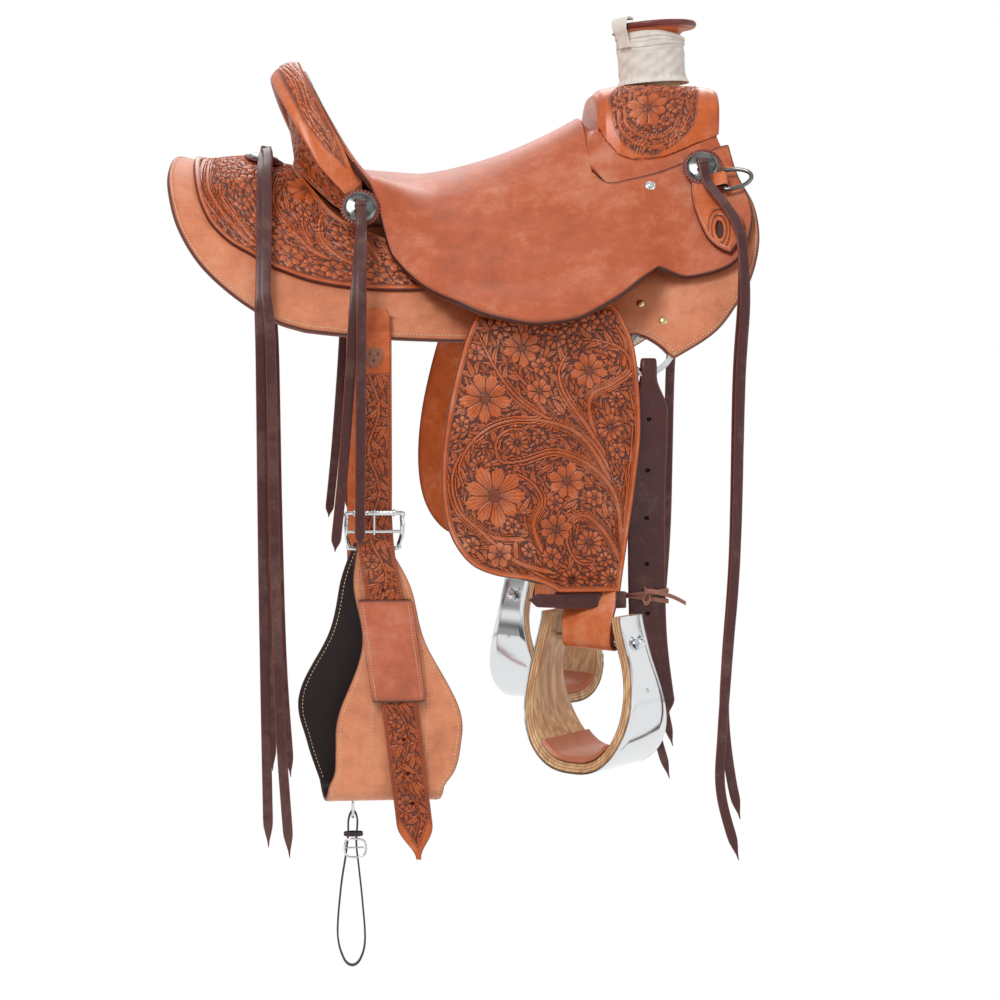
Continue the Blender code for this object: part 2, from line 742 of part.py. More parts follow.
def make_fender():
    """A broad leather with a crowned face, fuller at the rear, hanging below the seat's flap."""
    top_z = FENDER_BEND_Z - 0.003
    foot_z = -0.447
    columns = 8
    rows = 16
    bm = bmesh.new()
    grid = []
    for i in range(rows + 1):
        t = i / rows
        rear, front = fender_half_width(t)
        line = []
        for k in range(columns + 1):
            u = k / columns
            x = HANG_X + mix(-rear, front, u)
            droop = 0.012 * (2 * u - 1) ** 2 * (1 - ease(0.0, 0.3, t))
            crown = 0.0020 * (2 * u - 1) ** 2 * (1 - ease(0.5, 1.0, t))
            bow = 0.004 * math.sin(math.pi * t)
            y = FENDER_Y + crown - bow - 0.006 * t
            line.append(bm.verts.new((x, y, mix(top_z, foot_z, t) - droop)))
        grid.append(line)
    for low, high in zip(grid, grid[1:]):
        for k in range(columns):
            bm.faces.new((low[k], low[k + 1], high[k + 1], high[k]))
    bm.normal_update()
    if sum(f.normal.y for f in bm.faces) > 0:
        bmesh.ops.reverse_faces(bm, faces=bm.faces)
    thicken(bm, FENDER_THICK)
    both_sides(new_object("fender", mesh_of(bm, "fender"), "tooled_leather", PARTS))


def make_stirrup_leathers():
    across = Vector((1, 0, 0))
    upper = []
    for i in range(9):
        s = mix(0.176, 0.262, i / 8)
        lift = OVER_SKIRT + 6.5 * MM
        p = on_back(HANG_X, s, lift)
        out = (on_back(HANG_X, s, lift + 0.01) - p)
        width = 0.030 + 0.034 * ease(0, 2, i)
        upper.append((p, across, out, width, 2 * LEATHER_THICK))
    both_sides(strap("stirrup_leather_upper", upper, "saddle_leather"))
    lower = []
    hang = through(((HANG_X, -0.2420, -0.130), (0.115, -0.2440, -0.30), (0.127, -0.2500, -0.43),
                    (0.130, -0.2525, -0.465)), 11)
    for p in hang:
        lower.append((p, across, (0, -1, 0), LEATHER_WIDTH, LEATHER_THICK))
    wrap_radius = SLEEVE_RADIUS + LEATHER_THICK / 2 + 0.7 * MM
    bolt = Vector((STIRRUP_X, BOLT_Y, BOLT_Z))
    turned_in = [(wrap_radius, 0.020), (wrap_radius, 0.008)]
    turned_in += [(wrap_radius * math.cos(math.pi * k / 8), -wrap_radius * math.sin(math.pi * k / 8))
                  for k in range(9)]
    turned_in += [(-wrap_radius, 0.012), (-wrap_radius, 0.018)]
    for i, (out, up) in enumerate(turned_in):
        twist = STIRRUP_TURN * (0.72 if i == 0 else 1.0)
        wide = Vector((math.cos(twist), math.sin(twist), 0))
        face = Vector((math.sin(twist), -math.cos(twist), 0))
        before = turned_in[max(i - 1, 0)]
        after = turned_in[min(i + 1, len(turned_in) - 1)]
        run = (face * (after[0] - before[0]) + Vector((0, 0, after[1] - before[1]))).normalized()
        centre = bolt + face * out + Vector((0, 0, up))
        lower.append((centre, wide, run.cross(wide), LEATHER_WIDTH, LEATHER_THICK))
    both_sides(strap("stirrup_leather", lower, "saddle_leather"))


def make_hobble():
    """A narrow strap buckled round the leathers just above the stirrup."""
    centre = Vector((0.1305, -0.2519, -0.4570))
    sections = []
    tall = 0.0095
    for i in range(24):
        a = math.tau * i / 24
        reach = 0.0405
        deep = 0.0060
        power = 0.45
        cos_a = math.copysign(abs(math.cos(a)) ** power, math.cos(a))
        sin_a = math.copysign(abs(math.sin(a)) ** power, math.sin(a))
        inner = centre + Vector((reach * cos_a, deep * sin_a, 0))
        outer = centre + Vector(((reach + 2.6 * MM) * cos_a, (deep + 2.6 * MM) * sin_a, 0))
        up = Vector((0, 0, tall))
        sections.append([inner - up, outer - up, outer + up, inner + up])
    both_sides(loft("hobble_strap", sections, "dark_leather", ring=True))


def stirrup_line(grow, count):
    """The stirrup's side-on line in (across, up) about the bolt: open top, round sides, flatter foot."""
    line = []
    for i in range(count + 1):
        a = math.pi * i / count
        side = -math.cos(a)
        deep = math.sin(a)
        wide = mix(STIRRUP_TOP_HALF, STIRRUP_WIDE_HALF, ease(0.0, 0.92, deep))
        across = math.copysign(abs(side) ** 0.72, side) * wide + STIRRUP_AHEAD * ease(0.3, 1.0, deep)
        up = STIRRUP_RISE - (STIRRUP_RISE + STIRRUP_DROP) * deep ** 1.25
        line.append(Vector((across, 0, up)))
    found = []
    for i, p in enumerate(line):
        ahead = line[min(i + 1, count)] - line[max(i - 1, 0)]
        out = Vector((ahead.z, 0, -ahead.x)).normalized()
        if out.dot(Vector((p.x, 0, p.z + 0.06))) < 0:
            out = -out
        found.append((p + out * grow, out, deep_share(i, count)))
    return found


def deep_share(i, count):
    return math.sin(math.pi * i / count)


def stirrup_part(name, inside, thick, material, first, last, count=28):
    turn = Matrix.Rotation(STIRRUP_TURN, 3, "Z")
    bolt = Vector((STIRRUP_X, BOLT_Y, BOLT_Z))
    sections = []
    for i, (p, out, deep) in enumerate(stirrup_line(inside, count)):
        if not first <= i / count <= last:
            continue
        half = mix(0.023, 0.048, ease(0.35, 1.0, deep))
        flare = 0.004 * ease(0.6, 1.0, deep)
        corners = []
        for side, edge in ((-1, 0.0), (1, 0.0), (1, 1.0), (-1, 1.0)):
            q = p + out * (thick * edge) + Vector((0, side * (half + flare * edge), 0))
            corners.append(turn @ q)
        sections.append([bolt + c for c in corners])
    return loft(name, sections, material)


def make_stirrups():
    both_sides(stirrup_part("stirrup_wood", 0.0, WOOD_THICK, "wood", 0.0, 1.0))
    both_sides(stirrup_part("stirrup_band", WOOD_THICK + GAP, BAND_THICK, "steel", 0.0, 1.0))
    tread_in = -TREAD_THICK - GAP
    both_sides(stirrup_part("stirrup_tread", tread_in, TREAD_THICK, "saddle_leather", 0.36, 0.64))
    turn = Matrix.Rotation(STIRRUP_TURN, 3, "Z") @ Matrix.Rotation(math.pi / 2, 3, "Y")
    head = 0.0075
    lip = 0.0042
    sleeve = 0.0372
    half = [(0.0, BOLT_REACH + lip), (head, BOLT_REACH + lip), (head, BOLT_REACH),
            (BOLT_RADIUS, BOLT_REACH), (BOLT_RADIUS, sleeve), (SLEEVE_RADIUS, sleeve)]
    profile = half + [(r, -h) for r, h in half[::-1]]
    both_sides(turned("stirrup_bolt", profile, 12, "steel", Vector((STIRRUP_X, BOLT_Y, BOLT_Z)), turn))


def drill_stirrups():
    """Bolt holes through the wood and the band, and a sleeve hole for the bolt in the leather."""
    for side in ("off", "near"):
        sign = 1 if side == "off" else -1
        turn = Matrix.Rotation(STIRRUP_TURN * sign, 3, "Z") @ Matrix.Rotation(math.pi / 2, 3, "Y")
        bore = BOLT_RADIUS + 2 * GAP
        profile = ((0.0, 0.08), (bore, 0.08), (bore, -0.08), (0.0, -0.08))
        place = Vector((STIRRUP_X, BOLT_Y * sign, BOLT_Z))
        drill = turned("bolt_hole_" + side, profile, 12, "steel", place, turn)
        as_cutter(drill)
        for name in ("stirrup_wood_", "stirrup_band_"):
            cut(bpy.data.objects[name + side], drill, keep=True)
        bpy.data.objects.remove(drill, do_unlink=True)


# Rigging, billets and the flank cinch

def rigging_sections(grow):
    """A flat plate ring, curved to the horse's side and held in a pocket of the skirt."""
    sections = []
    count = 24
    for i in range(count):
        a = math.tau * i / count
        ring = []
        for half, rise in ((-1, -1), (1, -1), (1, 1), (-1, 1)):
            r = RIG_RADIUS + half * (RIG_BAND / 2 + grow)
            lift = RIG_LIFT + rise * (RIG_THICK / 2 + grow)
            ring.append(on_back(RIG_X + r * math.cos(a), RIG_S + r * math.sin(a), lift))
        sections.append(ring)
    return sections


def make_rigging():
    for name in ("skirt_off", "skirt_near"):
        pocket = loft("pocket", rigging_sections(0.45 * MM), "steel", ring=True)
        if name == "skirt_near":
            off = pocket
            pocket = mirror(off, "pocket_near")
            bpy.data.objects.remove(off, do_unlink=True)
        cut(bpy.data.objects[name], as_cutter(pocket))
    both_sides(loft("rigging_ring", rigging_sections(0.0), "steel", ring=True))


def billet_sections(ring_foot):
    """A strap folded over the ring's foot: a short tail inboard, then the long leaf outboard."""
    fold = BILLET_FOLD
    path = [(fold, -BILLET_TAIL, 0.0), (fold, -0.018, 0.0), (fold, 0.0, 0.0)]
    for k in range(1, 6):
        a = math.pi * k / 6
        path.append((fold * math.cos(a), BILLET_CROWN * math.sin(a), 0.0))
    path += [(-fold, 0.0, 0.0), (-fold, -0.018, 0.0), (-0.0040, -0.060, 0.0), (-0.0012, -0.092, 0.0),
             (0.0100, -0.135, 0.0), (0.0170, -0.185, 0.001), (0.0180, -0.260, 0.002),
             (0.0180, -0.320, 0.0045), (0.0180, -0.375, 0.011), (0.0180, -0.4216, 0.0185)]
    sections = []
    last = len(path) - 1
    for i, (out, up, ahead) in enumerate(path):
        before = path[max(i - 1, 0)]
        after = path[min(i + 1, last)]
        run = Vector((0, after[0] - before[0], after[1] - before[1])).normalized()
        face = Vector((0, -run.z, run.y)) * (BILLET_THICK / 2)
        half = BILLET_WIDTH * mix(0.20, 0.5, ease(-0.004, -0.045, up))
        if i == last:
            half *= 0.35
        c = Vector((BILLET_X + ahead, ring_foot.y + out, ring_foot.z + up))
        a = Vector((half, 0, 0))
        sections.append([c - a - face, c + a - face, c + a + face, c - a + face])
    return sections


def make_off_billet():
    ring_foot = on_back(RIG_X, RIG_S + RIG_RADIUS, RIG_LIFT)
    loft("off_billet", billet_sections(ring_foot), "dark_leather")


def strap_lean(z):
    """How far the buckled billet and the cinch lean ahead below the buckle."""
    below = max(0.0, (LEAN_START_Z - z) / (LEAN_START_Z - REAR_FOOT_Z))
    return REAR_LEAN * below ** 0.85


def make_rear_billet(name, lean):
    """A rear billet leaves a slot in the skirt, lies down over it and hangs to its tip."""
    stations = []
    lift = SKIRT_LIFT + SKIRT_THICK + 2.6 * MM + BILLET_THICK / 2
    for k in range(4):
        s = mix(0.256, 0.284, k / 3)
        p = on_back(REAR_BILLET_X, s, lift)
        face = on_back(REAR_BILLET_X, s, lift + 0.01) - p
        width = REAR_BILLET_WIDTH * (0.72 if k == 0 else 1.0)
        stations.append((p, (1, 0, 0), face, width, BILLET_THICK))
    start = stations[-1][0]
    count = 16
    for k in range(1, count + 1):
        z = mix(start.z - 0.012, REAR_FOOT_Z, (k - 1) / (count - 1))
        narrow = 1.0 if k < count else 0.30
        stations.append(((REAR_BILLET_X + lean(z), REAR_HANG_Y, z), (1, 0, 0), (0, -1, 0),
                         REAR_BILLET_WIDTH * narrow, BILLET_THICK))
    return strap(name, stations, "tooled_leather")


def make_rear_billets():
    make_rear_billet("rear_billet_off", strap_lean)
    straight = make_rear_billet("straight_billet", lambda z: 0.0)
    mirror(straight, "rear_billet_near")
    bpy.data.objects.remove(straight, do_unlink=True)


def read_off(line, t):
    """The value at t on a line of (t, value) knots, eased from each to the next."""
    for (t0, a), (t1, b) in zip(line, line[1:]):
        if t <= t1:
            return mix(a, b, ease(t0, t1, t))
    return line[-1][1]


CINCH_HALF = ((0.0, 0.020), (0.16, 0.034), (0.40, 0.038), (0.68, 0.072), (0.84, 0.0745), (1.0, 0.069))
CINCH_FAR_SHIFT = ((0.0, -0.002), (0.20, -0.006), (0.56, -0.024), (0.80, -0.008), (1.0, 0.004))
CINCH_NEAR_SHIFT = ((0.0, 0.0), (0.50, 0.028), (0.88, 0.027), (1.0, 0.014))


def make_flank_cinch():
    """A bell-shaped band folded in a U: its outer leaf lies behind the billet, its inner one hangs back."""
    rows = 10
    loop = 0.0066
    loop_y = CINCH_FRONT_Y + loop
    heel = BUCKLE_HEEL_Z
    path = [(loop_y + loop, heel - 0.022, 0.06, 0.0), (loop_y + loop, heel, 0.0, 0.0)]
    for k in range(1, 6):
        a = math.pi * k / 6
        path.append((loop_y + loop * math.cos(a), heel + loop * math.sin(a), 0.0, 0.0))
    path.append((CINCH_FRONT_Y, heel, 0.0, 0.0))
    for i in range(1, rows + 1):
        t = i / rows
        path.append((CINCH_FRONT_Y, mix(heel, CINCH_FOLD_Z, t), t, read_off(CINCH_NEAR_SHIFT, t)))
    radius = CINCH_DEPTH / 2
    for k in range(1, 8):
        a = math.pi * k / 8
        shift = mix(CINCH_NEAR_SHIFT[-1][1], CINCH_FAR_SHIFT[-1][1], k / 8)
        y = CINCH_FRONT_Y + radius * (1 - math.cos(a))
        path.append((y, CINCH_FOLD_Z - 0.018 * math.sin(a), 1.0, shift))
    for i in range(rows + 1):
        t = 1 - i / rows
        path.append((CINCH_FRONT_Y + CINCH_DEPTH, mix(heel + 0.003, CINCH_FOLD_Z, t), t,
                     read_off(CINCH_FAR_SHIFT, t)))
    rings = []
    for i, (y, z, t, shift) in enumerate(path):
        before = path[max(i - 1, 0)]
        after = path[min(i + 1, len(path) - 1)]
        run = Vector((0, after[0] - before[0], after[1] - before[1])).normalized()
        out = Vector((0, run.z, -run.y)) * (CINCH_THICK / 2)
        c = Vector((REAR_BILLET_X + shift, y, z))
        a = Vector((read_off(CINCH_HALF, t), 0, 0))
        rings.append([c - a - out, c + a - out, c + a + out, c - a + out])
    cinch = loft("flank_cinch", rings, "saddle_leather")
    for side in (-1, 1):
        place = (CONNECTOR_X, CINCH_FRONT_Y + radius + side * 0.0079, CINCH_FOLD_Z - 0.018)
        cut(cinch, as_cutter(box("tie_hole", place, (0.0066, 0.0064, 0.030))))


def box(name, centre, size):
    bm = bmesh.new()
    bmesh.ops.create_cube(bm, size=1.0)
    bmesh.ops.scale(bm, vec=size, verts=bm.verts)
    thing = new_object(name, mesh_of(bm, name), "steel", PARTS)
    thing.location = centre
    return thing


def squared_ring(centre, half_x, half_y, power, count):
    """A rounded rectangle in (x, y) about a centre."""
    found = []
    for i in range(count):
        a = math.tau * i / count
        cos_a = math.copysign(abs(math.cos(a)) ** power, math.cos(a))
        sin_a = math.copysign(abs(math.sin(a)) ** power, math.sin(a))
        found.append(centre + Vector((half_x * cos_a, half_y * sin_a, 0)))
    return found


def make_cinch_keeper():
    """A leather loop box on the cinch's outer leaf, round the billet's tail."""
    count = 20
    sleeves = []
    for z in (-0.5775, -0.4555):
        centre = Vector((REAR_BILLET_X + strap_lean(z), REAR_HANG_Y, z))
        sleeves.append((squared_ring(centre, 0.0285, 0.0028, 0.35, count),
                        squared_ring(centre, 0.0320, 0.0028 + 0.0024, 0.35, count)))
    sections = []
    for i in range(count):
        (in_low, out_low), (in_high, out_high) = sleeves
        sections.append([in_low[i], out_low[i], out_high[i], in_high[i]])
    loft("cinch_keeper", sections, "saddle_leather", ring=True)


def wire(name, path, radius, sides, material, ring=False):
    """A round wire along a path of points."""
    sections = []
    count = len(path)
    side = None
    for i in range(count):
        before = path[i - 1] if ring or i else path[0]
        after = path[(i + 1) % count] if ring or i < count - 1 else path[-1]
        along = (after - before).normalized()
        if side is None:
            side = along.orthogonal().normalized()
        side = (side - along * side.dot(along)).normalized()
        lift = along.cross(side)
        sections.append([path[i] + side * (radius * math.cos(math.tau * k / sides))
                         + lift * (radius * math.sin(math.tau * k / sides)) for k in range(sides)])
    return loft(name, sections, material, ring=ring)


def make_buckle():
    """The cinch's roller buckle: its two bars lie over the billet and its heel bar behind it."""
    half = 0.0290
    heel_y = CINCH_FRONT_Y + 0.0066
    bar_y = BUCKLE_FRONT_Y + 0.0010
    x = REAR_BILLET_X
    side = [(half, BUCKLE_FRONT_Y, BUCKLE_TOP_Z), (half + 0.0035, BUCKLE_FRONT_Y, BUCKLE_TOP_Z - 0.006),
            (half + 0.004, bar_y, BUCKLE_BAR_Z), (half + 0.001, heel_y - 0.003, BUCKLE_HEEL_Z + 0.006),
            (half - 0.004, heel_y, BUCKLE_HEEL_Z)]
    path = [Vector((x + dx, y, z)) for dx, y, z in side]
    path += [Vector((x - dx, y, z)) for dx, y, z in side[::-1]]
    frame = wire("cinch_buckle", path, BUCKLE_WIRE, 8, "steel", ring=True)
    ends = [Vector((x + hand * (half + 0.0038), bar_y, BUCKLE_BAR_Z)) for hand in (-1, 1)]
    join(frame, wire("buckle_bar", ends, 0.0020, 7, "steel"))
    eye = 0.0020 + TONGUE_WIRE + 0.4 * MM
    tongue = []
    for k in range(11):
        a = math.radians(-60 - 27 * k)
        tongue.append(Vector((x, bar_y - eye * math.cos(a), BUCKLE_BAR_Z - eye * math.sin(a))))
    tip_y = BUCKLE_FRONT_Y - BUCKLE_WIRE - TONGUE_WIRE - 0.4 * MM
    tongue += [Vector((x, mix(tongue[-1].y, tip_y, 0.5), BUCKLE_BAR_Z + 0.011)),
               Vector((x, tip_y, BUCKLE_TOP_Z)), Vector((x, tip_y, BUCKLE_TOP_Z + 0.004))]
    wire("buckle_tongue", tongue, TONGUE_WIRE, 6, "steel")


def make_connector():
    """The strap that ties the flank cinch to the front cinch: its snap link, then a doubled strap."""
    top = Vector((CONNECTOR_X, CINCH_FRONT_Y + CINCH_DEPTH / 2, CONNECTOR_Z))
    link = []
    for i in range(16):
        a = math.tau * i / 16
        link.append(top + Vector((0, 0.0085 * math.cos(a), -0.0160 + 0.0165 * math.sin(a))))
    wire("connector_snap", link, 0.0017, 6, "steel", ring=True)
    hang = top + Vector((0, 0, -0.0246))
    reach = ((0.0, 0.0004), (0.0052, -0.010), (0.004, -0.040), (0.007, -0.070), (0.011, -0.110),
             (0.014, -0.158), (0.008, -0.182), (-0.002, -0.189), (-0.012, -0.180), (-0.019, -0.150),
             (-0.015, -0.095), (-0.009, -0.055), (-0.0060, -0.030), (-0.0052, -0.010))
    loop = through([hang + Vector((dx, 0, dz)) for dx, dz in reach], 40)
    sections = []
    count = len(loop)
    for i, p in enumerate(loop):
        along = (loop[(i + 1) % count] - loop[i - 1]).normalized()
        face = along.cross(Vector((0, 1, 0))).normalized() * 0.0011
        a = Vector((0, 0.0040, 0))
        sections.append([p - a - face, p + a - face, p + a + face, p - a + face])
    loft("connector_strap", sections, "black_leather", ring=True)


# Conchos, dees, latigo keepers and saddle strings

def aim(normal):
    return Vector(normal).normalized().to_track_quat("Z", "Y").to_matrix()


def make_concho(name, place, normal, post):
    """A slotted concho: a shallow dome on a screw post, with a slot for the thong on each side."""
    profile = ((0.0, 0.0052), (0.0075, 0.0048), (0.0150, 0.0032), (CONCHO_RADIUS, 0.0010),
               (CONCHO_RADIUS, 0.0), (0.0030, 0.0), (0.0030, -post), (0.0, -post))
    turn = aim(normal)
    disc = turned(name, profile, 16, "steel", place, turn)
    for side in (-1, 1):
        slot = box("slot", Vector(place) + turn @ Vector((0, side * 0.0068, 0.002)), (0.0135, 0.0038, 0.02))
        slot.rotation_euler = turn.to_euler()
        bpy.context.view_layer.update()
        cut(disc, as_cutter(slot))
    both_sides(disc)


def thong(name, fold, out, first, second):
    """One saddle string: two ends that hang from a fold over the bridge of its concho."""
    out = Vector(out).normalized()
    legs = [[Vector(fold) + out * rise] + list(leg) for leg, rise in ((first, 0.0018), (second, 0.0072))]
    back = through(legs[0], 17)[::-1]
    front = through(legs[1], 17)
    bend = (back[-1] + front[0]) / 2
    up = (back[-1] - back[-2]).normalized()
    crown = [bend + out * (-0.0027 * math.cos(math.pi * k / 3)) + up * (0.0027 * math.sin(math.pi * k / 3))
             for k in range(1, 3)]
    path = back + crown + front
    last = len(path) - 1
    stations = []
    for i, p in enumerate(path):
        run = (path[min(i + 1, last)] - path[max(i - 1, 0)]).normalized()
        across = Vector((1, 0, 0))
        across = (across - run * across.dot(run)).normalized()
        width = STRING_WIDTH * (0.25 if i in (0, last) else 1.0)
        stations.append((p, across, run.cross(across), width, STRING_THICK))
    return both_sides(strap(name, stations, "dark_leather"))


def seat_top(x, s):
    return seat_lay(x, s, SEAT_THICK)


def jockey_top(x, s):
    return over_bars(x, s, JOCKEY_THICK)


def facing(lay, x, s):
    """The way out from a laid surface at (x, s)."""
    step = 0.004
    along = lay(x + step, s) - lay(x - step, s)
    down = lay(x, s + step) - lay(x, s - step)
    return down.cross(along).normalized()


def off(lay, x, s, rise):
    return lay(x, s) + facing(lay, x, s) * rise


def make_front_fittings():
    x, s = CONCHO_FRONT
    normal = facing(seat_top, x, s)
    make_concho("concho_front", off(seat_top, x, s, 0.0085), normal, 0.0068)
    left = through(((0.273, 0.117), (0.268, 0.131), (0.266, 0.150), (0.268, 0.182), (0.276, 0.216),
                    (0.288, 0.236), (0.302, 0.249)), 11)
    right = through(((0.291, 0.117), (0.295, 0.131), (0.293, 0.150), (0.304, 0.182), (0.3205, 0.213),
                     (0.320, 0.232), (0.302, 0.249)), 11)
    keeper = leather("latigo_keeper", left, right, 3, lambda x, s: off(seat_top, x, s, 2.8 * MM), 4.2 * MM,
                     "tooled_leather")
    for name, x0, s0, size in (("keeper_slot", 0.2925, 0.214, (0.009, 0.024, 0.03)),
                               ("post_hole", x, s, (0.0072, 0.0072, 0.04))):
        hole = box(name, off(seat_top, x0, s0, 0.003), size)
        hole.rotation_euler = aim(facing(seat_top, x0, s0)).to_euler()
        bpy.context.view_layer.update()
        cut(keeper, as_cutter(hole))
    both_sides(keeper)
    make_dee()
    reach = ((0.287, 0.150, 0.0140), (0.295, 0.172, 0.0125), (0.306, 0.200, 0.0115), (0.3145, 0.228, 0.0120),
             (0.3165, 0.255, 0.0115))
    inner = ((0.3115, -0.2505, -0.105), (0.3060, -0.2520, -0.20), (0.3030, -0.2520, -0.40),
             (0.2950, -0.2520, -0.53), (0.2930, -0.2520, -0.60), (0.3010, -0.2520, -0.67),
             (0.3130, -0.2520, -0.724))
    outer = ((0.3135, -0.2570, -0.105), (0.3080, -0.2600, -0.20), (0.3040, -0.2600, -0.40),
             (0.2950, -0.2600, -0.53), (0.2890, -0.2600, -0.62), (0.2880, -0.2600, -0.69),
             (0.3100, -0.2600, -0.772))
    first = [off(seat_top, x, s, rise) for x, s, rise in reach] + [Vector(p) for p in inner]
    second = [off(seat_top, x, s, rise + 0.0055) for x, s, rise in reach] + [Vector(p) for p in outer]
    x, s = CONCHO_FRONT
    thong("string_front", off(seat_top, x, s, 0.0155), normal, first, second)


def make_dee():
    """The breast-strap dee beside each front concho; its straight side is the hinge."""
    x, s = DEE_PLACE
    bar = off(seat_top, x, s, DEE_RISE)
    face = facing(seat_top, x, s)
    down = (seat_top(x, s + 0.008) - seat_top(x, s - 0.008)).normalized()
    ahead = face.cross(down).normalized()
    half = 0.0150
    line = [bar - down * half]
    for i in range(11):
        a = math.pi * (i / 10 - 0.5)
        line.append(bar + ahead * (0.008 + 0.026 * math.cos(a)) + down * (half * math.sin(a)))
    line.append(bar + down * half)
    both_sides(wire("dee_ring", line, 0.0026, 6, "steel", ring=True))


def make_cantle_fittings():
    place = Vector(CONCHO_CANTLE)
    normal = Vector((0, -0.93, 0.36)).normalized()
    make_concho("concho_cantle", place, normal, 0.0085)
    inner = ((-0.1375, -0.1800, -0.014), (-0.1410, -0.2120, -0.040), (-0.1450, -0.2430, -0.080),
             (-0.1490, -0.2590, -0.125), (-0.1540, -0.2640, -0.20), (-0.1620, -0.2640, -0.30),
             (-0.1720, -0.2640, -0.396))
    outer = ((-0.1370, -0.1870, -0.014), (-0.1380, -0.2210, -0.040), (-0.1395, -0.2520, -0.080),
             (-0.1400, -0.2680, -0.125), (-0.1410, -0.2720, -0.20), (-0.1420, -0.2720, -0.30),
             (-0.1430, -0.2720, -0.391))
    thong("string_cantle", place + normal * 0.0074, normal, inner, outer)


def make_rear_fittings():
    x, s = CONCHO_REAR
    normal = facing(jockey_top, x, s)
    make_concho("concho_rear", off(jockey_top, x, s, 0.0042), normal, 0.0032)
    lays = ((0.065, 0.0110), (0.110, 0.0105), (0.165, 0.0095), (0.215, 0.0085), (0.262, 0.0060))
    inner = ((-0.2580, -0.2360, -0.115), (-0.2570, -0.2440, -0.18), (-0.2560, -0.2450, -0.40),
             (-0.2540, -0.2450, -0.60), (-0.2520, -0.2450, -0.749))
    outer = ((-0.2480, -0.2430, -0.115), (-0.2450, -0.2520, -0.18), (-0.2420, -0.2530, -0.40),
             (-0.2370, -0.2530, -0.60), (-0.2270, -0.2530, -0.760))
    first = [off(jockey_top, -0.2575, a, rise) for a, rise in lays] + [Vector(p) for p in inner]
    second = [off(jockey_top, -0.2520, a, rise + 0.0058) for a, rise in lays] + [Vector(p) for p in outer]
    thong("string_rear", off(jockey_top, x, s, 0.0112), normal, first, second)


def build_saddle():
    make_skirts()
    make_rear_jockeys()
    make_bars()
    make_fork()
    make_seat()
    make_ground_seat()
    make_cantle()
    make_horn()
    make_fender()
    make_stirrup_leathers()
    make_hobble()
    make_stirrups()
    drill_stirrups()
    make_rigging()
    make_off_billet()
    make_rear_billets()
    make_flank_cinch()
    make_cinch_keeper()
    make_buckle()
    make_connector()
    make_front_fittings()
    make_cantle_fittings()
    make_rear_fittings()


clear_scene()
PARTS, CUTTERS = make_collections()
MATERIALS = {name: make_material(name) for name in COLOURS}
build_saddle()
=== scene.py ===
import math

import bpy
import numpy as np
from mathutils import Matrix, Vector


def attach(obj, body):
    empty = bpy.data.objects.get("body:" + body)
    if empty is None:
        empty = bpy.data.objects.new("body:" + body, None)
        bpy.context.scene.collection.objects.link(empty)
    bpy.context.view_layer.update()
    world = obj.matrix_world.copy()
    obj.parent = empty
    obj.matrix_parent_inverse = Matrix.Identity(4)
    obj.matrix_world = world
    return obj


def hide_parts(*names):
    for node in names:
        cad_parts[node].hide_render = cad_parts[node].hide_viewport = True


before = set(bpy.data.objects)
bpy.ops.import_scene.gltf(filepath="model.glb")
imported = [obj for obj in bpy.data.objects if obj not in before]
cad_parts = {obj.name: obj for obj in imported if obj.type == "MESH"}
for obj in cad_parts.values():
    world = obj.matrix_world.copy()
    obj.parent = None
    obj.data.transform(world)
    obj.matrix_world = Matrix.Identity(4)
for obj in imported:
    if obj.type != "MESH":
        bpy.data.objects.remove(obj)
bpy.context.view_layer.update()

mm = 0.001
gap = 0.3 * mm


# Numbers and curves

def ease(low, high, value):
    t = np.clip((np.asarray(value, float) - low) / (high - low), 0, 1)
    return t * t * (3 - 2 * t)


def mix(a, b, t):
    return a + (b - a) * t


def unit(v):
    v = np.asarray(v, float)
    return v / np.maximum(np.linalg.norm(v, axis=-1, keepdims=True), 1e-12)


def vec(*parts):
    return np.stack(np.broadcast_arrays(*[np.asarray(p, float) for p in parts]), -1)


def spline(a, b, c, d, t):
    return 0.5 * (2 * b + (c - a) * t + (2 * a - 5 * b + 4 * c - d) * t ** 2
                  + (3 * b - a - 3 * c + d) * t ** 3)


def refine(points, corners, finer):
    points = np.asarray(points, float)
    t = (np.arange(finer) / finer)[:, None]
    found = []
    for start, end in zip(corners, corners[1:]):
        leg = points[start:end + 1]
        ends = np.vstack([2 * leg[:1] - leg[1:2], leg, 2 * leg[-1:] - leg[-2:-1]])
        found += [spline(*knots, t) for knots in zip(ends, ends[1:], ends[2:], ends[3:])]
    return np.vstack(found + [points[-1:]])


def closedRefine(points, finer):
    points = np.asarray(points, float)
    t = (np.arange(finer) / finer)[:, None]
    return np.vstack([spline(*(points[(i + k) % len(points)] for k in (-1, 0, 1, 2)), t)
                      for i in range(len(points))])


def runAlong(line):
    return np.r_[0, np.cumsum(np.linalg.norm(np.diff(line, axis=0), axis=1))]


def runAcross(grid):
    steps = np.linalg.norm(np.diff(grid, axis=1), axis=2)
    return np.concatenate([np.zeros((len(grid), 1)), np.cumsum(steps, 1)], 1)


def evenly(line, count):
    reach = runAlong(line)
    goal = np.linspace(0, reach[-1], count + 1)
    return np.stack([np.interp(goal, reach, line[:, k]) for k in range(line.shape[1])], 1)


def through(points, count):
    return evenly(refine(points, (0, len(points) - 1), 12), count)


def circle(count):
    return np.linspace(0, 2 * math.pi, count + 1)[:-1]


def squared(a, power):
    return [np.copysign(np.abs(wave) ** power, wave) for wave in (np.cos(a), np.sin(a))]


def chain(*legs):
    runs = [through(points, count) for points, count in legs]
    return np.vstack([runs[0]] + [r[1:] for r in runs[1:]])


def lineLength(line):
    return float(np.linalg.norm(np.diff(np.asarray(line), axis=0), axis=1).sum())


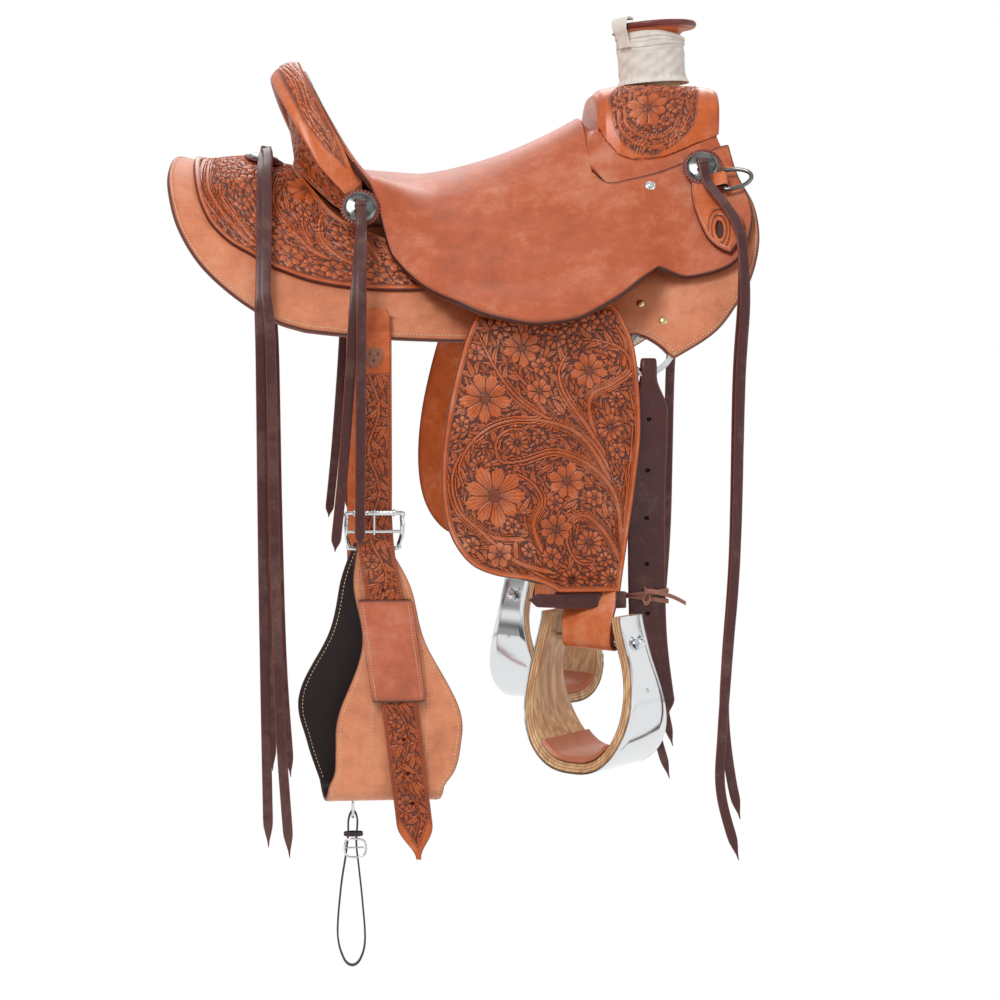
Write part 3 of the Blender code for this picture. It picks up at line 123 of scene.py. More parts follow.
def tangents(line, ring=False):
    if ring:
        return unit(np.roll(line, -1, 0) - np.roll(line, 1, 0))
    return unit(np.gradient(line, axis=0))


# The horse's back and what is laid over it

back = {"low": 0.012, "rearRise": 0.052, "rearReach": 0.36, "frontRise": 0.068, "frontStart": 0.02,
        "frontReach": 0.30, "lean": math.radians(68), "reach": 0.29, "power": 0.75, "step": 0.0025}
layer = {"fleece": 10.8 * mm, "skirtLift": 12.2 * mm, "skirt": 7 * mm, "overSkirt": 20.4 * mm, "bar": 16 * mm,
         "jockey": 4.5 * mm, "seat": 5 * mm, "seatOver": 7 * mm}
cantle = {"x": -0.127, "depth": 0.083, "half": 0.138, "topRise": 0.118, "endRise": 0.040}
forkRise = 0.072


def sideLean(s):
    return back["lean"] * (np.abs(s) / back["reach"]) ** back["power"]


sectionLean = sideLean((np.arange(170) + 0.5) * back["step"])
sectionAt = np.arange(171) * back["step"]
sectionOut = np.r_[0, np.cumsum(np.cos(sectionLean) * back["step"])]
sectionDown = np.r_[0, np.cumsum(np.sin(sectionLean) * back["step"])]


def spineZ(x):
    rear = np.maximum(0, -x / back["rearReach"]) ** 2
    front = np.maximum(0, (x - back["frontStart"]) / back["frontReach"]) ** 2
    return back["low"] + back["rearRise"] * rear + back["frontRise"] * front


def onBack(x, s, lift=0.0):
    wide = np.abs(s)
    out = np.interp(wide, sectionAt, sectionOut)
    down = np.interp(wide, sectionAt, sectionDown)
    lean = sideLean(s)
    return vec(x, -np.copysign(out + lift * np.sin(lean), s), spineZ(x) - down + lift * np.cos(lean))


def barHump(x, s):
    ends = ease(-0.335, -0.27, x) * (1 - ease(0.30, 0.345, x))
    return layer["bar"] * ends * (1 - ease(0.095, 0.165, np.abs(s)))


def overBars(x, s, extra=0.0):
    return onBack(x, s, layer["overSkirt"] + barHump(x, s) + extra)


def seatRise(x, s):
    wide = np.abs(s)
    fork = forkRise * np.clip((x + 0.06) / 0.23, 0, 1) ** 1.3 * (1 - ease(0.03, 0.15, wide))
    rear = np.maximum(0, cantle["x"] - x) / cantle["depth"]
    out = wide / cantle["half"]
    reach = np.hypot(rear, out)
    share = rear / np.maximum(reach, 1e-9)
    rim = mix(cantle["endRise"], cantle["topRise"], share)
    dish = rim * ease(0.42, 1.02, reach) * (1 - ease(cantle["x"], -0.03, x)) * (1 - ease(0.148, 0.190, wide))
    return fork + dish


def flapStandoff(x, s):
    wide = np.abs(s)
    ends = ease(-0.11, -0.02, x) * (1 - ease(0.185, 0.25, x))
    return ends * ease(0.10, 0.165, wide) * (0.014 + 0.014 * ease(0.17, 0.26, wide) + 0.021 * ease(0.23, 0.29, wide))


def seatLay(x, s, extra=0.0):
    x = np.asarray(x, float)
    lift = layer["overSkirt"] + barHump(x, s) + layer["seatOver"] + flapStandoff(x, s) + extra
    return onBack(x, s, lift) + vec(0, 0, seatRise(x, s))


def seatTop(x, s, extra=0.0):
    return seatLay(x, s, layer["seat"] + extra)


def jockeyTop(x, s, extra=0.0):
    return overBars(x, s, layer["jockey"] + extra)


def skirtLay(x, s, extra=0.0):
    return onBack(x, s, layer["skirtLift"] + extra)


def facing(lay, x, s, step=0.004):
    along = lay(x + step, s) - lay(x - step, s)
    down = lay(x, s + step) - lay(x, s - step)
    return unit(np.cross(down, along))


def off(lay, x, s, rise):
    return lay(x, s) + facing(lay, x, s) * rise


# The camera

shot = {"at": (-0.2158, -2.9813, -0.1457), "to": (0.045, 0.0, -0.355), "away": 3.0, "pixel": 0.00129,
        "lens": 83.72, "frame": 1000}
eye = np.array(shot["at"])
look = unit(np.array(shot["to"]) - eye)
lookRight = unit(np.cross(look, (0, 0, 1)))
lookUp = np.cross(lookRight, look)

cameraData = bpy.data.cameras.new("photoCamera")
cameraData.lens = shot["lens"]
cameraData.sensor_width = 36
camera = bpy.data.objects.new("photoCamera", cameraData)
bpy.context.scene.collection.objects.link(camera)
camera.location = shot["at"]
camera.rotation_mode = "QUATERNION"
camera.rotation_quaternion = Vector(look).to_track_quat("-Z", "Y")
bpy.context.scene.camera = camera


def onPhoto(points):
    d = np.asarray(points) - eye
    deep = (d @ look) / shot["away"] * shot["pixel"]
    return np.stack([500 + (d @ lookRight) / deep, 500 - (d @ lookUp) / deep], -1)


# Colours and materials

def tone(r, g, b):
    return tuple((v / 255) ** 2.2 for v in (r, g, b)) + (1.0,)


class Web:
    def __init__(self, tree):
        self.tree = tree

    def add(self, kind, sockets=None, **settings):
        node = self.tree.nodes.new(kind)
        for key, value in settings.items():
            setattr(node, key, value)
        for key, value in (sockets or {}).items():
            if isinstance(value, bpy.types.NodeSocket):
                self.tree.links.new(value, node.inputs[key])
            else:
                node.inputs[key].default_value = value
        return node

    def math(self, operation, a, b=0.0, clamp=False):
        return self.add("ShaderNodeMath", {0: a, 1: b}, operation=operation, use_clamp=clamp).outputs[0]

    def blend(self, factor, a, b, how="MIX"):
        node = self.add("ShaderNodeMix", {0: factor, 6: a, 7: b}, data_type="RGBA", blend_type=how)
        return node.outputs[2]

    def span(self, value, a, b, c, d):
        return self.add("ShaderNodeMapRange", {0: value, 1: a, 2: b, 3: c, 4: d}).outputs[0]

    def noise(self, scale, detail=3.0, rough=0.5, place=None, warp=0.0):
        place = place or self.add("ShaderNodeTexCoord").outputs["Object"]
        return self.add("ShaderNodeTexNoise", {"Vector": place, "Scale": scale, "Detail": detail,
                                               "Roughness": rough, "Distortion": warp}).outputs[0]

    def mark(self, name):
        return self.add("ShaderNodeAttribute", attribute_name=name).outputs["Fac"]


def newGroup(name, inputs, outputs):
    tree = bpy.data.node_groups.new(name, "ShaderNodeTree")
    kinds = {"c": "NodeSocketColor", "f": "NodeSocketFloat", "v": "NodeSocketVector"}
    for key, kind in inputs:
        tree.interface.new_socket(name=key, in_out="INPUT", socket_type=kinds[kind])
    for key, kind in outputs:
        tree.interface.new_socket(name=key, in_out="OUTPUT", socket_type=kinds[kind])
    web = Web(tree)
    given = tree.nodes.new("NodeGroupInput")
    sent = tree.nodes.new("NodeGroupOutput")
    return web, given.outputs, sent.inputs


def makeLeatherGroup():
    web, given, sent = newGroup("leatherLook", (("Base", "c"), ("Recess", "c"), ("Edge", "c"), ("Mottle", "f"),
                                                ("Rough", "f"), ("Grain", "f")),
                                (("Color", "c"), ("Roughness", "f"), ("Height", "f")))
    place = web.add("ShaderNodeTexCoord").outputs["Object"]
    broad = web.noise(9.0, 4.0, 0.62, place, 0.4)
    blotch = web.noise(48.0, 5.0, 0.7, place, 0.2)
    fibre = web.noise(520.0, 4.0, 0.6, place)
    pores = web.add("ShaderNodeTexVoronoi", {"Vector": place, "Scale": 780.0}).outputs[0]
    blend = web.math("ADD", web.math("MULTIPLY", broad, 0.45), web.math("MULTIPLY", blotch, 0.40))
    blend = web.math("ADD", blend, web.math("MULTIPLY", fibre, 0.15))
    swing = web.math("MULTIPLY", web.math("SUBTRACT", blend, 0.5), given["Mottle"])
    worn = web.blend(web.math("MAXIMUM", web.math("MULTIPLY", swing, -2.4), 0.0, True), given["Base"],
                     given["Edge"])
    pale = web.blend(web.math("MULTIPLY", web.math("MAXIMUM", swing, 0.0), 1.5, True), worn,
                     (1.0, 0.62, 0.42, 1.0))
    # recess mark: antique dye in tooled cuts, and painted shade in holes and slots
    cut = web.blend(web.mark("recess"), pale, given["Recess"])
    # edge mark: burnished edges, and painted shade on the cantle roll's underside
    edged = web.blend(web.mark("edge"), cut, given["Edge"])
    web.tree.links.new(edged, sent["Color"])
    dry = web.math("ADD", given["Rough"], web.math("MULTIPLY", web.math("SUBTRACT", blotch, 0.5), 0.30))
    dry = web.math("ADD", dry, web.math("MULTIPLY", web.mark("recess"), 0.12))
    web.tree.links.new(dry, sent["Roughness"])
    height = web.math("ADD", web.math("MULTIPLY", fibre, 0.6), web.math("MULTIPLY", pores, 0.5))
    height = web.math("ADD", web.math("MULTIPLY", height, given["Grain"]), web.math("MULTIPLY", blotch, 0.5))
    web.tree.links.new(height, sent["Height"])
    return web.tree


leatherLook = makeLeatherGroup()


def newMaterial(name):
    material = bpy.data.materials.new(name)
    material.use_nodes = True
    material.node_tree.nodes.clear()
    return material, Web(material.node_tree)


def finishMaterial(web, sockets):
    shader = web.add("ShaderNodeBsdfPrincipled", sockets)
    web.add("ShaderNodeOutputMaterial", {"Surface": shader.outputs[0]})


def leatherMaterial(name, base, recess, edge, mottle=0.9, rough=0.48, grain=1.0, bump=0.25, coat=0.06,
                    gloss=0.4):
    material, web = newMaterial(name)
    look = web.add("ShaderNodeGroup", node_tree=leatherLook)
    for key, value in (("Base", base), ("Recess", recess), ("Edge", edge), ("Mottle", mottle),
                       ("Rough", rough), ("Grain", grain)):
        look.inputs[key].default_value = value
    normal = web.add("ShaderNodeBump", {"Strength": bump, "Distance": 0.6 * mm, "Height": look.outputs["Height"]})
    finishMaterial(web, {"Base Color": look.outputs["Color"], "Roughness": look.outputs["Roughness"],
                         "Normal": normal.outputs[0], "Specular IOR Level": gloss, "Coat Weight": coat,
                         "Coat Roughness": 0.28})
    return material


def metalMaterial(name, colour, rough, scratch=0.08, dull=None):
    material, web = newMaterial(name)
    fine = web.noise(900.0, 3.0, 0.6)
    broad = web.noise(30.0, 4.0, 0.6)
    value = web.math("ADD", rough, web.math("MULTIPLY", web.math("MULTIPLY", broad, fine), scratch))
    tint = web.blend(web.span(broad, 0.35, 0.75, 0.0, 0.5), colour, dull or colour)
    # the recess mark paints recessed slots near black: painted shade inside the slots
    tint = web.blend(web.mark("recess"), tint, (0.02, 0.018, 0.016, 1.0))
    normal = web.add("ShaderNodeBump", {"Strength": 0.05, "Distance": 0.2 * mm, "Height": fine})
    finishMaterial(web, {"Base Color": tint, "Metallic": 1.0, "Roughness": value, "Normal": normal.outputs[0]})
    return material


def woolMaterial(name, pale, deep, scale):
    material, web = newMaterial(name)
    curl = web.noise(scale, 6.0, 0.7, None, 1.2)
    tint = web.blend(web.span(curl, 0.3, 0.7, 0.0, 1.0), deep, pale)
    normal = web.add("ShaderNodeBump", {"Strength": 0.7, "Distance": 1.5 * mm, "Height": curl})
    finishMaterial(web, {"Base Color": tint, "Roughness": 0.95, "Normal": normal.outputs[0],
                         "Sheen Weight": 0.4, "Specular IOR Level": 0.15})
    return material


def suedeMaterial(name, pale, deep):
    material, web = newMaterial(name)
    cloud = web.noise(60.0, 5.0, 0.65)
    nap = web.noise(850.0, 4.0, 0.7)
    shade = web.math("ADD", web.math("MULTIPLY", cloud, 0.6), web.math("MULTIPLY", nap, 0.4))
    tint = web.blend(web.span(shade, 0.36, 0.64, 0.0, 1.0), deep, pale)
    # the recess mark on suede paints shade in the wrap's laps and folds
    tint = web.blend(web.mark("recess"), tint, tone(112, 100, 90))
    normal = web.add("ShaderNodeBump", {"Strength": 0.6, "Distance": 0.7 * mm, "Height": shade})
    finishMaterial(web, {"Base Color": tint, "Roughness": 0.96, "Normal": normal.outputs[0],
                         "Sheen Weight": 0.25, "Specular IOR Level": 0.15})
    return material


def woodMaterial(name):
    material, web = newMaterial(name)
    place = web.add("ShaderNodeTexCoord").outputs["Object"]
    long = web.add("ShaderNodeMapping", {"Vector": place, "Scale": (160.0, 160.0, 9.0)}).outputs[0]
    streak = web.add("ShaderNodeTexNoise", {"Vector": long, "Scale": 1.0, "Detail": 5.0, "Distortion": 0.6}).outputs[0]
    layers = web.mark("layer")
    cut = web.math("SINE", web.math("MULTIPLY", layers, 2 * math.pi * 3.5))
    tint = web.blend(web.span(streak, 0.35, 0.68, 0.0, 1.0), tone(182, 126, 84), tone(236, 196, 146))
    tint = web.blend(web.span(cut, 0.1, 0.5, 0.0, 0.55), tint, tone(120, 70, 40))
    normal = web.add("ShaderNodeBump", {"Strength": 0.25, "Distance": 0.3 * mm, "Height": streak})
    finishMaterial(web, {"Base Color": tint, "Roughness": 0.42, "Normal": normal.outputs[0], "Coat Weight": 0.25,
                         "Coat Roughness": 0.2})
    return material


def plainMaterial(name, pale, deep, scale, rough, gloss=0.3):
    material, web = newMaterial(name)
    speck = web.noise(scale, 5.0, 0.6)
    tint = web.blend(web.span(speck, 0.3, 0.7, 0.0, 1.0), deep, pale)
    normal = web.add("ShaderNodeBump", {"Strength": 0.4, "Distance": 0.3 * mm, "Height": speck})
    finishMaterial(web, {"Base Color": tint, "Roughness": rough, "Normal": normal.outputs[0],
                         "Specular IOR Level": gloss})
    return material


looks = {
    "seat": leatherMaterial("seatLeather", tone(186, 90, 52), tone(110, 52, 36), tone(70, 30, 22), 1.0, 0.44, 1.5,
                            0.5),
    "skirt": leatherMaterial("skirtLeather", tone(212, 128, 90), tone(130, 66, 48), tone(96, 44, 32), 1.1, 0.52, 1.2,
                             0.35),
    "tooled": leatherMaterial("tooledLeather", tone(204, 96, 42), tone(62, 18, 14), tone(84, 32, 22), 1.1, 0.36,
                              0.5, 0.2, 0.22),
    "plain": leatherMaterial("plainLeather", tone(204, 102, 50), tone(104, 38, 30), tone(84, 32, 22), 1.1, 0.42,
                             0.8, 0.25, 0.15),
    "strap": leatherMaterial("strapLeather", tone(72, 34, 34), tone(20, 12, 12), tone(124, 60, 48), 0.4, 0.40,
                             0.8, 0.25, 0.15),
    "black": leatherMaterial("blackLeather", tone(46, 38, 39), tone(14, 12, 12), tone(70, 56, 54), 0.4, 0.5),
    "lining": leatherMaterial("liningLeather", tone(58, 38, 42), tone(20, 14, 16), tone(36, 20, 20), 0.5, 0.62),
    "band": leatherMaterial("bandLeather", tone(226, 142, 102), tone(40, 24, 26), tone(84, 40, 34), 1.0, 0.46),
    "keeper": leatherMaterial("keeperLeather", tone(196, 104, 74), tone(110, 52, 42), tone(58, 28, 28), 1.0, 0.34,
                              0.6, 0.2, 0.2),
    "tread": leatherMaterial("treadLeather", tone(186, 108, 76), tone(110, 52, 42), tone(84, 40, 34), 0.7, 0.42),
    "cap": leatherMaterial("capLeather", tone(112, 44, 40), tone(206, 112, 70), tone(70, 24, 24), 0.6, 0.36,
                           0.5, 0.2, 0.25),
    "rosette": leatherMaterial("rosetteLeather", tone(128, 50, 42), tone(54, 20, 22), tone(70, 28, 26), 0.7, 0.42),
    "lace": leatherMaterial("laceLeather", tone(108, 48, 42), tone(60, 30, 28), tone(184, 132, 108), 0.7, 0.5),
    "rawhide": leatherMaterial("rawhideLook", tone(206, 182, 140), tone(150, 120, 84), tone(150, 120, 84), 0.6, 0.5),
    # rawhide darkened to brown for the tree parts that show in gaps: painted shade, not the rawhide's own colour
    "hide": leatherMaterial("rawhideDarkForShade", tone(128, 66, 40), tone(80, 40, 26), tone(80, 40, 26), 0.8, 0.6),
    "wool": woolMaterial("woolLook", tone(238, 228, 204), tone(196, 178, 144), 170.0),
    "suede": suedeMaterial("suedeLook", tone(242, 238, 230), tone(216, 208, 197)),
    "wood": woodMaterial("woodLook"),
    "steel": metalMaterial("brightSteel", tone(222, 224, 226), 0.07, 0.10),
    "chrome": metalMaterial("chromeSteel", tone(226, 228, 230), 0.10, 0.12, tone(150, 150, 148)),
    "dark": metalMaterial("darkSteel", tone(120, 122, 120), 0.13, 0.15, tone(60, 64, 62)),
    "brass": metalMaterial("brassLook", tone(222, 200, 150), 0.25, 0.2, tone(180, 140, 80)),
    "thread": plainMaterial("threadLook", tone(242, 220, 188), tone(206, 170, 132), 900.0, 0.8),
    "redThread": plainMaterial("redThreadLook", tone(120, 48, 40), tone(84, 30, 28), 900.0, 0.7),
}
print("materials made")


# Shapes: points, faces and marks, then objects

def weld(shape):
    points, faces, marks = shape
    key = np.round(points / 2e-6).astype(np.int64)
    _, first, inverse = np.unique(key, axis=0, return_index=True, return_inverse=True)
    inverse = inverse.reshape(-1)
    kept = []
    for face in faces:
        loop = [int(inverse[i]) for i in face]
        loop = [a for i, a in enumerate(loop) if a != loop[i - 1]]
        if len(set(loop)) == len(loop) and len(loop) > 2:
            kept.append(loop)
    return points[first], kept, {k: v[first] for k, v in marks.items()}


def joined(*shapes):
    points = []
    faces = []
    names = {k for s in shapes for k in s[2]}
    marks = {k: [] for k in names}
    start = 0
    for p, f, m in shapes:
        points.append(p)
        faces += [[i + start for i in face] for face in f]
        for k in names:
            marks[k].append(m.get(k, np.zeros(len(p))))
        start += len(p)
    return np.vstack(points), faces, {k: np.concatenate(v) for k, v in marks.items()}


def mirrored(shape):
    points, faces, marks = shape
    return points * (1, -1, 1), [face[::-1] for face in faces], marks


def put(name, shape, look, body="saddle", nodes=(), sharp=50):
    points, faces, marks = shape
    mesh = bpy.data.meshes.new(name)
    mesh.from_pydata(points.tolist(), [], [list(f) for f in faces])
    for key, values in marks.items():
        held = mesh.attributes.new(key, "FLOAT", "POINT")
        held.data.foreach_set("value", np.asarray(values, np.float32))
    mesh.update(calc_edges=True)
    mesh.shade_smooth()
    mesh.set_sharp_from_angle(angle=math.radians(sharp))
    mesh.materials.append(looks[look])
    thing = bpy.data.objects.new(name, mesh)
    bpy.context.scene.collection.objects.link(thing)
    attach(thing, body)
    if nodes:
        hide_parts(*nodes)
    return thing


def putBoth(stem, shape, look, body="saddle", nodes=(), sharp=50):
    for side, kind in (("off", shape), ("near", mirrored(shape))):
        rides = body if body == "saddle" else body + "_" + side
        put(stem + "_" + side, kind, look, rides, [n + "_" + side for n in nodes], sharp)


def gridFaces(rows, columns, start=0, closed=False, flip=False):
    faces = []
    span = columns if closed else columns - 1
    for j in range(rows - 1):
        for i in range(span):
            a = start + j * columns + i
            b = start + j * columns + (i + 1) % columns
            quad = [a, b, b + columns, a + columns]
            faces.append(quad[::-1] if flip else quad)
    return faces


def loftShape(sections, ring=False, caps=True, marks=None):
    sections = np.asarray(sections, float)
    count, around = sections.shape[:2]
    points = sections.reshape(-1, 3)
    faces = gridFaces(count, around, 0, True)
    if ring:
        last = (count - 1) * around
        faces += [[last + i, last + (i + 1) % around, (i + 1) % around, i] for i in range(around)]
    elif caps:
        faces.append(list(range(around))[::-1])
        faces.append([(count - 1) * around + i for i in range(around)])
    return outward((points, faces, {k: np.asarray(v, float).reshape(-1) for k, v in (marks or {}).items()}))


def volume(shape):
    points, faces, _ = shape
    fans = [(f[0], f[i], f[i + 1]) for f in faces for i in range(1, len(f) - 1)]
    t = points[np.array(fans)]
    return float(np.einsum("ij,ij->", t[:, 0], np.cross(t[:, 1], t[:, 2])))


def outward(shape):
    points, faces, marks = shape
    return shape if volume(shape) > 0 else (points, [face[::-1] for face in faces], marks)


def tubeShape(path, radius, sides=10, ring=False):
    path = np.asarray(path, float)
    along = tangents(path, ring)
    side = np.zeros_like(path)
    side[0] = unit(np.cross(along[0], (0.3, 0.2, 0.9)))
    for i in range(1, len(path)):
        held = side[i - 1] - along[i] * (side[i - 1] @ along[i])
        side[i] = unit(held)
    lift = np.cross(along, side)
    radius = np.broadcast_to(np.asarray(radius, float), (len(path),))
    a = np.arange(sides) * 2 * math.pi / sides
    if ring:
        twist = math.atan2(side[0] @ lift[-1], side[0] @ side[-1])
        turn = (np.arange(len(path)) / len(path) * twist)[:, None] + a[None, :]
    else:
        turn = np.broadcast_to(a, (len(path), sides))
    around = side[:, None] * np.cos(turn)[..., None] + lift[:, None] * np.sin(turn)[..., None]
    return loftShape(path[:, None] + around * radius[:, None, None], ring)


def axes(normal, first=(1, 0, 0)):
    z = unit(normal)
    x = unit(np.asarray(first, float) - z * (np.asarray(first, float) @ z))
    return np.stack([x, np.cross(z, x), z])


def turnedShape(profile, steps, place, frameAxes, marks=None, ripple=None, ring=False):
    profile = np.asarray(profile, float)
    a = np.arange(steps) * 2 * math.pi / steps
    r = np.maximum(profile[:, 0], 1e-6)[:, None] * np.ones(steps)
    h = profile[:, 1][:, None] * np.ones(steps)
    if ripple is not None:
        r, h = ripple(r, h, a[None, :] * np.ones_like(r))
    local = np.stack([r * np.cos(a), r * np.sin(a), h], -1)
    held = {k: np.repeat(np.asarray(v, float)[:, None], steps, 1) for k, v in (marks or {}).items()}
    return loftShape(np.asarray(place) + local @ np.asarray(frameAxes), ring, marks=held)


def strapShape(path, across, out, width, thick, columns=7, relief=None, ring=False, crown=0.0):
    path = np.asarray(path, float)
    count = len(path)
    across = np.broadcast_to(unit(across), path.shape)
    out = np.broadcast_to(unit(out), path.shape)
    width = np.broadcast_to(np.asarray(width, float), (count,))
    half = width[:, None] / 2
    rounding = np.minimum(0.5 * thick, half * 0.5)
    inner = np.linspace(-1, 1, max(columns - 4, 2))
    q = np.concatenate([-half, -half + rounding * 0.3, (half - rounding) * inner[None, :],
                        half - rounding * 0.3, half], 1)
    fall = np.clip((np.abs(q) - (half - rounding)) / rounding, 0, 1)
    level = thick / 2 * (0.35 + 0.65 * np.sqrt(np.clip(1 - fall ** 2, 0, 1)))
    dome = crown * (1 - (q / np.maximum(half, 1e-6)) ** 2)
    run = runAlong(path)
    t = np.broadcast_to(run[:, None], q.shape)
    cut = np.zeros_like(q)
    dark = np.zeros_like(q)
    if relief is not None:
        cut, dark = relief(t, q)
    upper = path[:, None] + across[:, None] * q[..., None] + out[:, None] * (level + dome + cut)[..., None]
    lower = path[:, None] + across[:, None] * q[..., None] - out[:, None] * (level - dome * 0.6)[..., None]
    edge = ease(0.0, 1.0, (np.abs(q) - (half - 1.3 * mm)) / (1.3 * mm))
    around = np.concatenate([upper, lower[:, ::-1]], 1)
    marks = {"edge": np.concatenate([edge, edge[:, ::-1]], 1),
             "recess": np.concatenate([dark, np.zeros_like(dark)], 1)}
    return loftShape(around, ring, marks=marks)


# Lines of stitches and beads, made with Geometry Nodes

def makeRowTree():
    tree = bpy.data.node_groups.new("beadRow", "GeometryNodeTree")
    ids = {}
    for key, kind in (("Geometry", "NodeSocketGeometry"), ("Spacing", "NodeSocketFloat"),
                      ("Size", "NodeSocketVector"), ("Material", "NodeSocketMaterial")):
        ids[key] = tree.interface.new_socket(name=key, in_out="INPUT", socket_type=kind).identifier
    tree.interface.new_socket(name="Geometry", in_out="OUTPUT", socket_type="NodeSocketGeometry")
    web = Web(tree)
    given = tree.nodes.new("NodeGroupInput").outputs
    curve = web.add("GeometryNodeMeshToCurve", {0: given["Geometry"]}).outputs[0]
    spots = web.add("GeometryNodeCurveToPoints", {"Curve": curve, "Length": given["Spacing"]}, mode="LENGTH")
    bead = web.add("GeometryNodeMeshUVSphere", {"Segments": 6, "Rings": 4, "Radius": 0.5}).outputs[0]
    row = web.add("GeometryNodeInstanceOnPoints", {"Points": spots.outputs["Points"], "Instance": bead,
                                                   "Rotation": spots.outputs["Rotation"],
                                                   "Scale": given["Size"]}).outputs[0]
    real = web.add("GeometryNodeRealizeInstances", {0: row}).outputs[0]
    dressed = web.add("GeometryNodeSetMaterial", {"Geometry": real, "Material": given["Material"]}).outputs[0]
    tree.links.new(dressed, tree.nodes.new("NodeGroupOutput").inputs[0])
    return tree, ids


rowTree, rowIds = makeRowTree()


def beadRow(name, lines, spacing, size, look, body="saddle"):
    points = np.vstack(lines)
    edges = []
    start = 0
    for line in lines:
        edges += [(start + i, start + i + 1) for i in range(len(line) - 1)]
        start += len(line)
    mesh = bpy.data.meshes.new(name + "_path")
    mesh.from_pydata(points.tolist(), edges, [])
    source = bpy.data.objects.new(name + "_path", mesh)
    bpy.context.scene.collection.objects.link(source)
    step = source.modifiers.new("row", "NODES")
    step.node_group = rowTree
    step[rowIds["Spacing"]] = spacing
    step[rowIds["Size"]] = size
    step[rowIds["Material"]] = looks[look]
    source.update_tag()
    graph = bpy.context.evaluated_depsgraph_get()
    made = bpy.data.meshes.new_from_object(source.evaluated_get(graph))
    bpy.data.objects.remove(source, do_unlink=True)
    made.name = name
    made.shade_smooth()
    thing = bpy.data.objects.new(name, made)
    bpy.context.scene.collection.objects.link(thing)
    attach(thing, body)


def rowBoth(stem, lines, spacing, size, look, body="saddle"):
    for side, sign in (("off", 1), ("near", -1)):
        rides = body if body == "saddle" else body + "_" + side
        beadRow(stem + "_" + side, [np.asarray(l) * (1, sign, 1) for l in lines], spacing, size, look, rides)


# Panels cut from a flat pattern

def segmentsGap(places, a, b):
    d = b - a
    size = np.maximum((d ** 2).sum(1), 1e-14)
    flat = places.reshape(-1, 2)
    found = np.empty(len(flat))
    for start in range(0, len(flat), 20000):
        p = flat[start:start + 20000, None] - a[None]
        t = np.clip((p * d).sum(2) / size, 0, 1)
        found[start:start + 20000] = np.sqrt(((p - t[..., None] * d) ** 2).sum(2).min(1))
    return found.reshape(places.shape[:-1])


def edgeGap(places, loop):
    return segmentsGap(places, loop[:-1], loop[1:])


def insideOf(places, loop):
    x, y = places[..., 0], places[..., 1]
    found = np.zeros(x.shape, bool)
    for a, b in zip(loop, loop[1:]):
        if a[1] != b[1]:
            found ^= ((a[1] > y) != (b[1] > y)) & (x < a[0] + (y - a[1]) * (b[0] - a[0]) / (b[1] - a[1]))
    return found


def rowShares(top, foot, rows):
    steps = np.array([0, 0.25, 0.7, 1.3, 2.0]) * mm
    size = np.maximum(np.linalg.norm(foot - top, axis=1), 1e-9)[:, None]
    near = np.minimum(steps / size, np.arange(5) / (2 * 5.0) * 0.9)
    inner = np.linspace(0, 1, rows - 8)[None, 1:-1]
    middle = near[:, -1:] + (1 - 2 * near[:, -1:]) * inner
    return np.concatenate([near, middle, 1 - near[:, ::-1]], 1)


def patternGrid(top, foot, rows):
    v = rowShares(top, foot, rows)[..., None]
    return top[:, None] * (1 - v) + foot[:, None] * v


def panelShape(flat, base, normal, thick, relief=None, outline=None, flip=False, coarse=8, seam=False,
               burn=2.4 * mm):
    columns, rows = flat.shape[:2]
    if outline is None:
        outline = np.vstack([flat[:, 0], flat[::-1, -1]])
        outline = np.vstack([outline, outline[:1]])
    if seam:
        keep = ~((np.abs(outline[:-1, 1]) < 1e-6) & (np.abs(outline[1:, 1]) < 1e-6))
        gapTo = segmentsGap(flat, outline[:-1][keep], outline[1:][keep])
    else:
        gapTo = edgeGap(flat, outline)
    rounding = min(0.5 * thick, 2.0 * mm)
    fall = 1 - np.clip(gapTo / rounding, 0, 1)
    level = thick * (0.30 + 0.70 * np.sqrt(np.clip(1 - fall ** 2, 0, 1)))
    cut, dark = relief(flat, gapTo) if relief else (0.0, np.zeros_like(gapTo))
    upper = base + normal * (level + cut)[..., None]
    points = np.concatenate([upper.reshape(-1, 3), base.reshape(-1, 3)])
    half = columns * rows
    faces = gridFaces(columns, rows)
    cs = sorted(set(list(range(0, columns - 1, coarse)) + [columns - 1]))
    rs = sorted(set(list(range(0, rows - 1, coarse)) + [rows - 1]))
    for c0, c1 in zip(cs, cs[1:]):
        for r0, r1 in zip(rs, rs[1:]):
            loop = [(c0, r) for r in (range(r0, r1) if c0 == 0 else (r0,))]
            loop += [(c, r1) for c in (range(c0, c1) if r1 == rows - 1 else (c0,))]
            loop += [(c1, r) for r in (range(r1, r0, -1) if c1 == columns - 1 else (r1,))]
            loop += [(c, r0) for c in (range(c1, c0, -1) if r0 == 0 else (c1,))]
            faces.append([half + c * rows + r for c, r in loop])
    rim = [(c, 0) for c in range(columns - 1)] + [(columns - 1, r) for r in range(rows - 1)]
    rim += [(c, rows - 1) for c in range(columns - 1, 0, -1)] + [(0, r) for r in range(rows - 1, 0, -1)]
    for (c0, r0), (c1, r1) in zip(rim, rim[1:] + rim[:1]):
        a = c0 * rows + r0
        b = c1 * rows + r1
        if seam and abs(flat[c0, r0, 1]) < 1e-6 and abs(flat[c1, r1, 1]) < 1e-6:
            continue
        faces.append([b, a, a + half, b + half])
    edge = 1 - ease(0.25 * burn, burn, gapTo)
    marks = {"edge": np.concatenate([edge.reshape(-1), 0.6 * edge.reshape(-1)]),
             "recess": np.concatenate([np.asarray(dark, float).reshape(-1), np.zeros(half)])}
    if flip:
        faces = [f[::-1] for f in faces]
    return tidy((points, faces, marks))


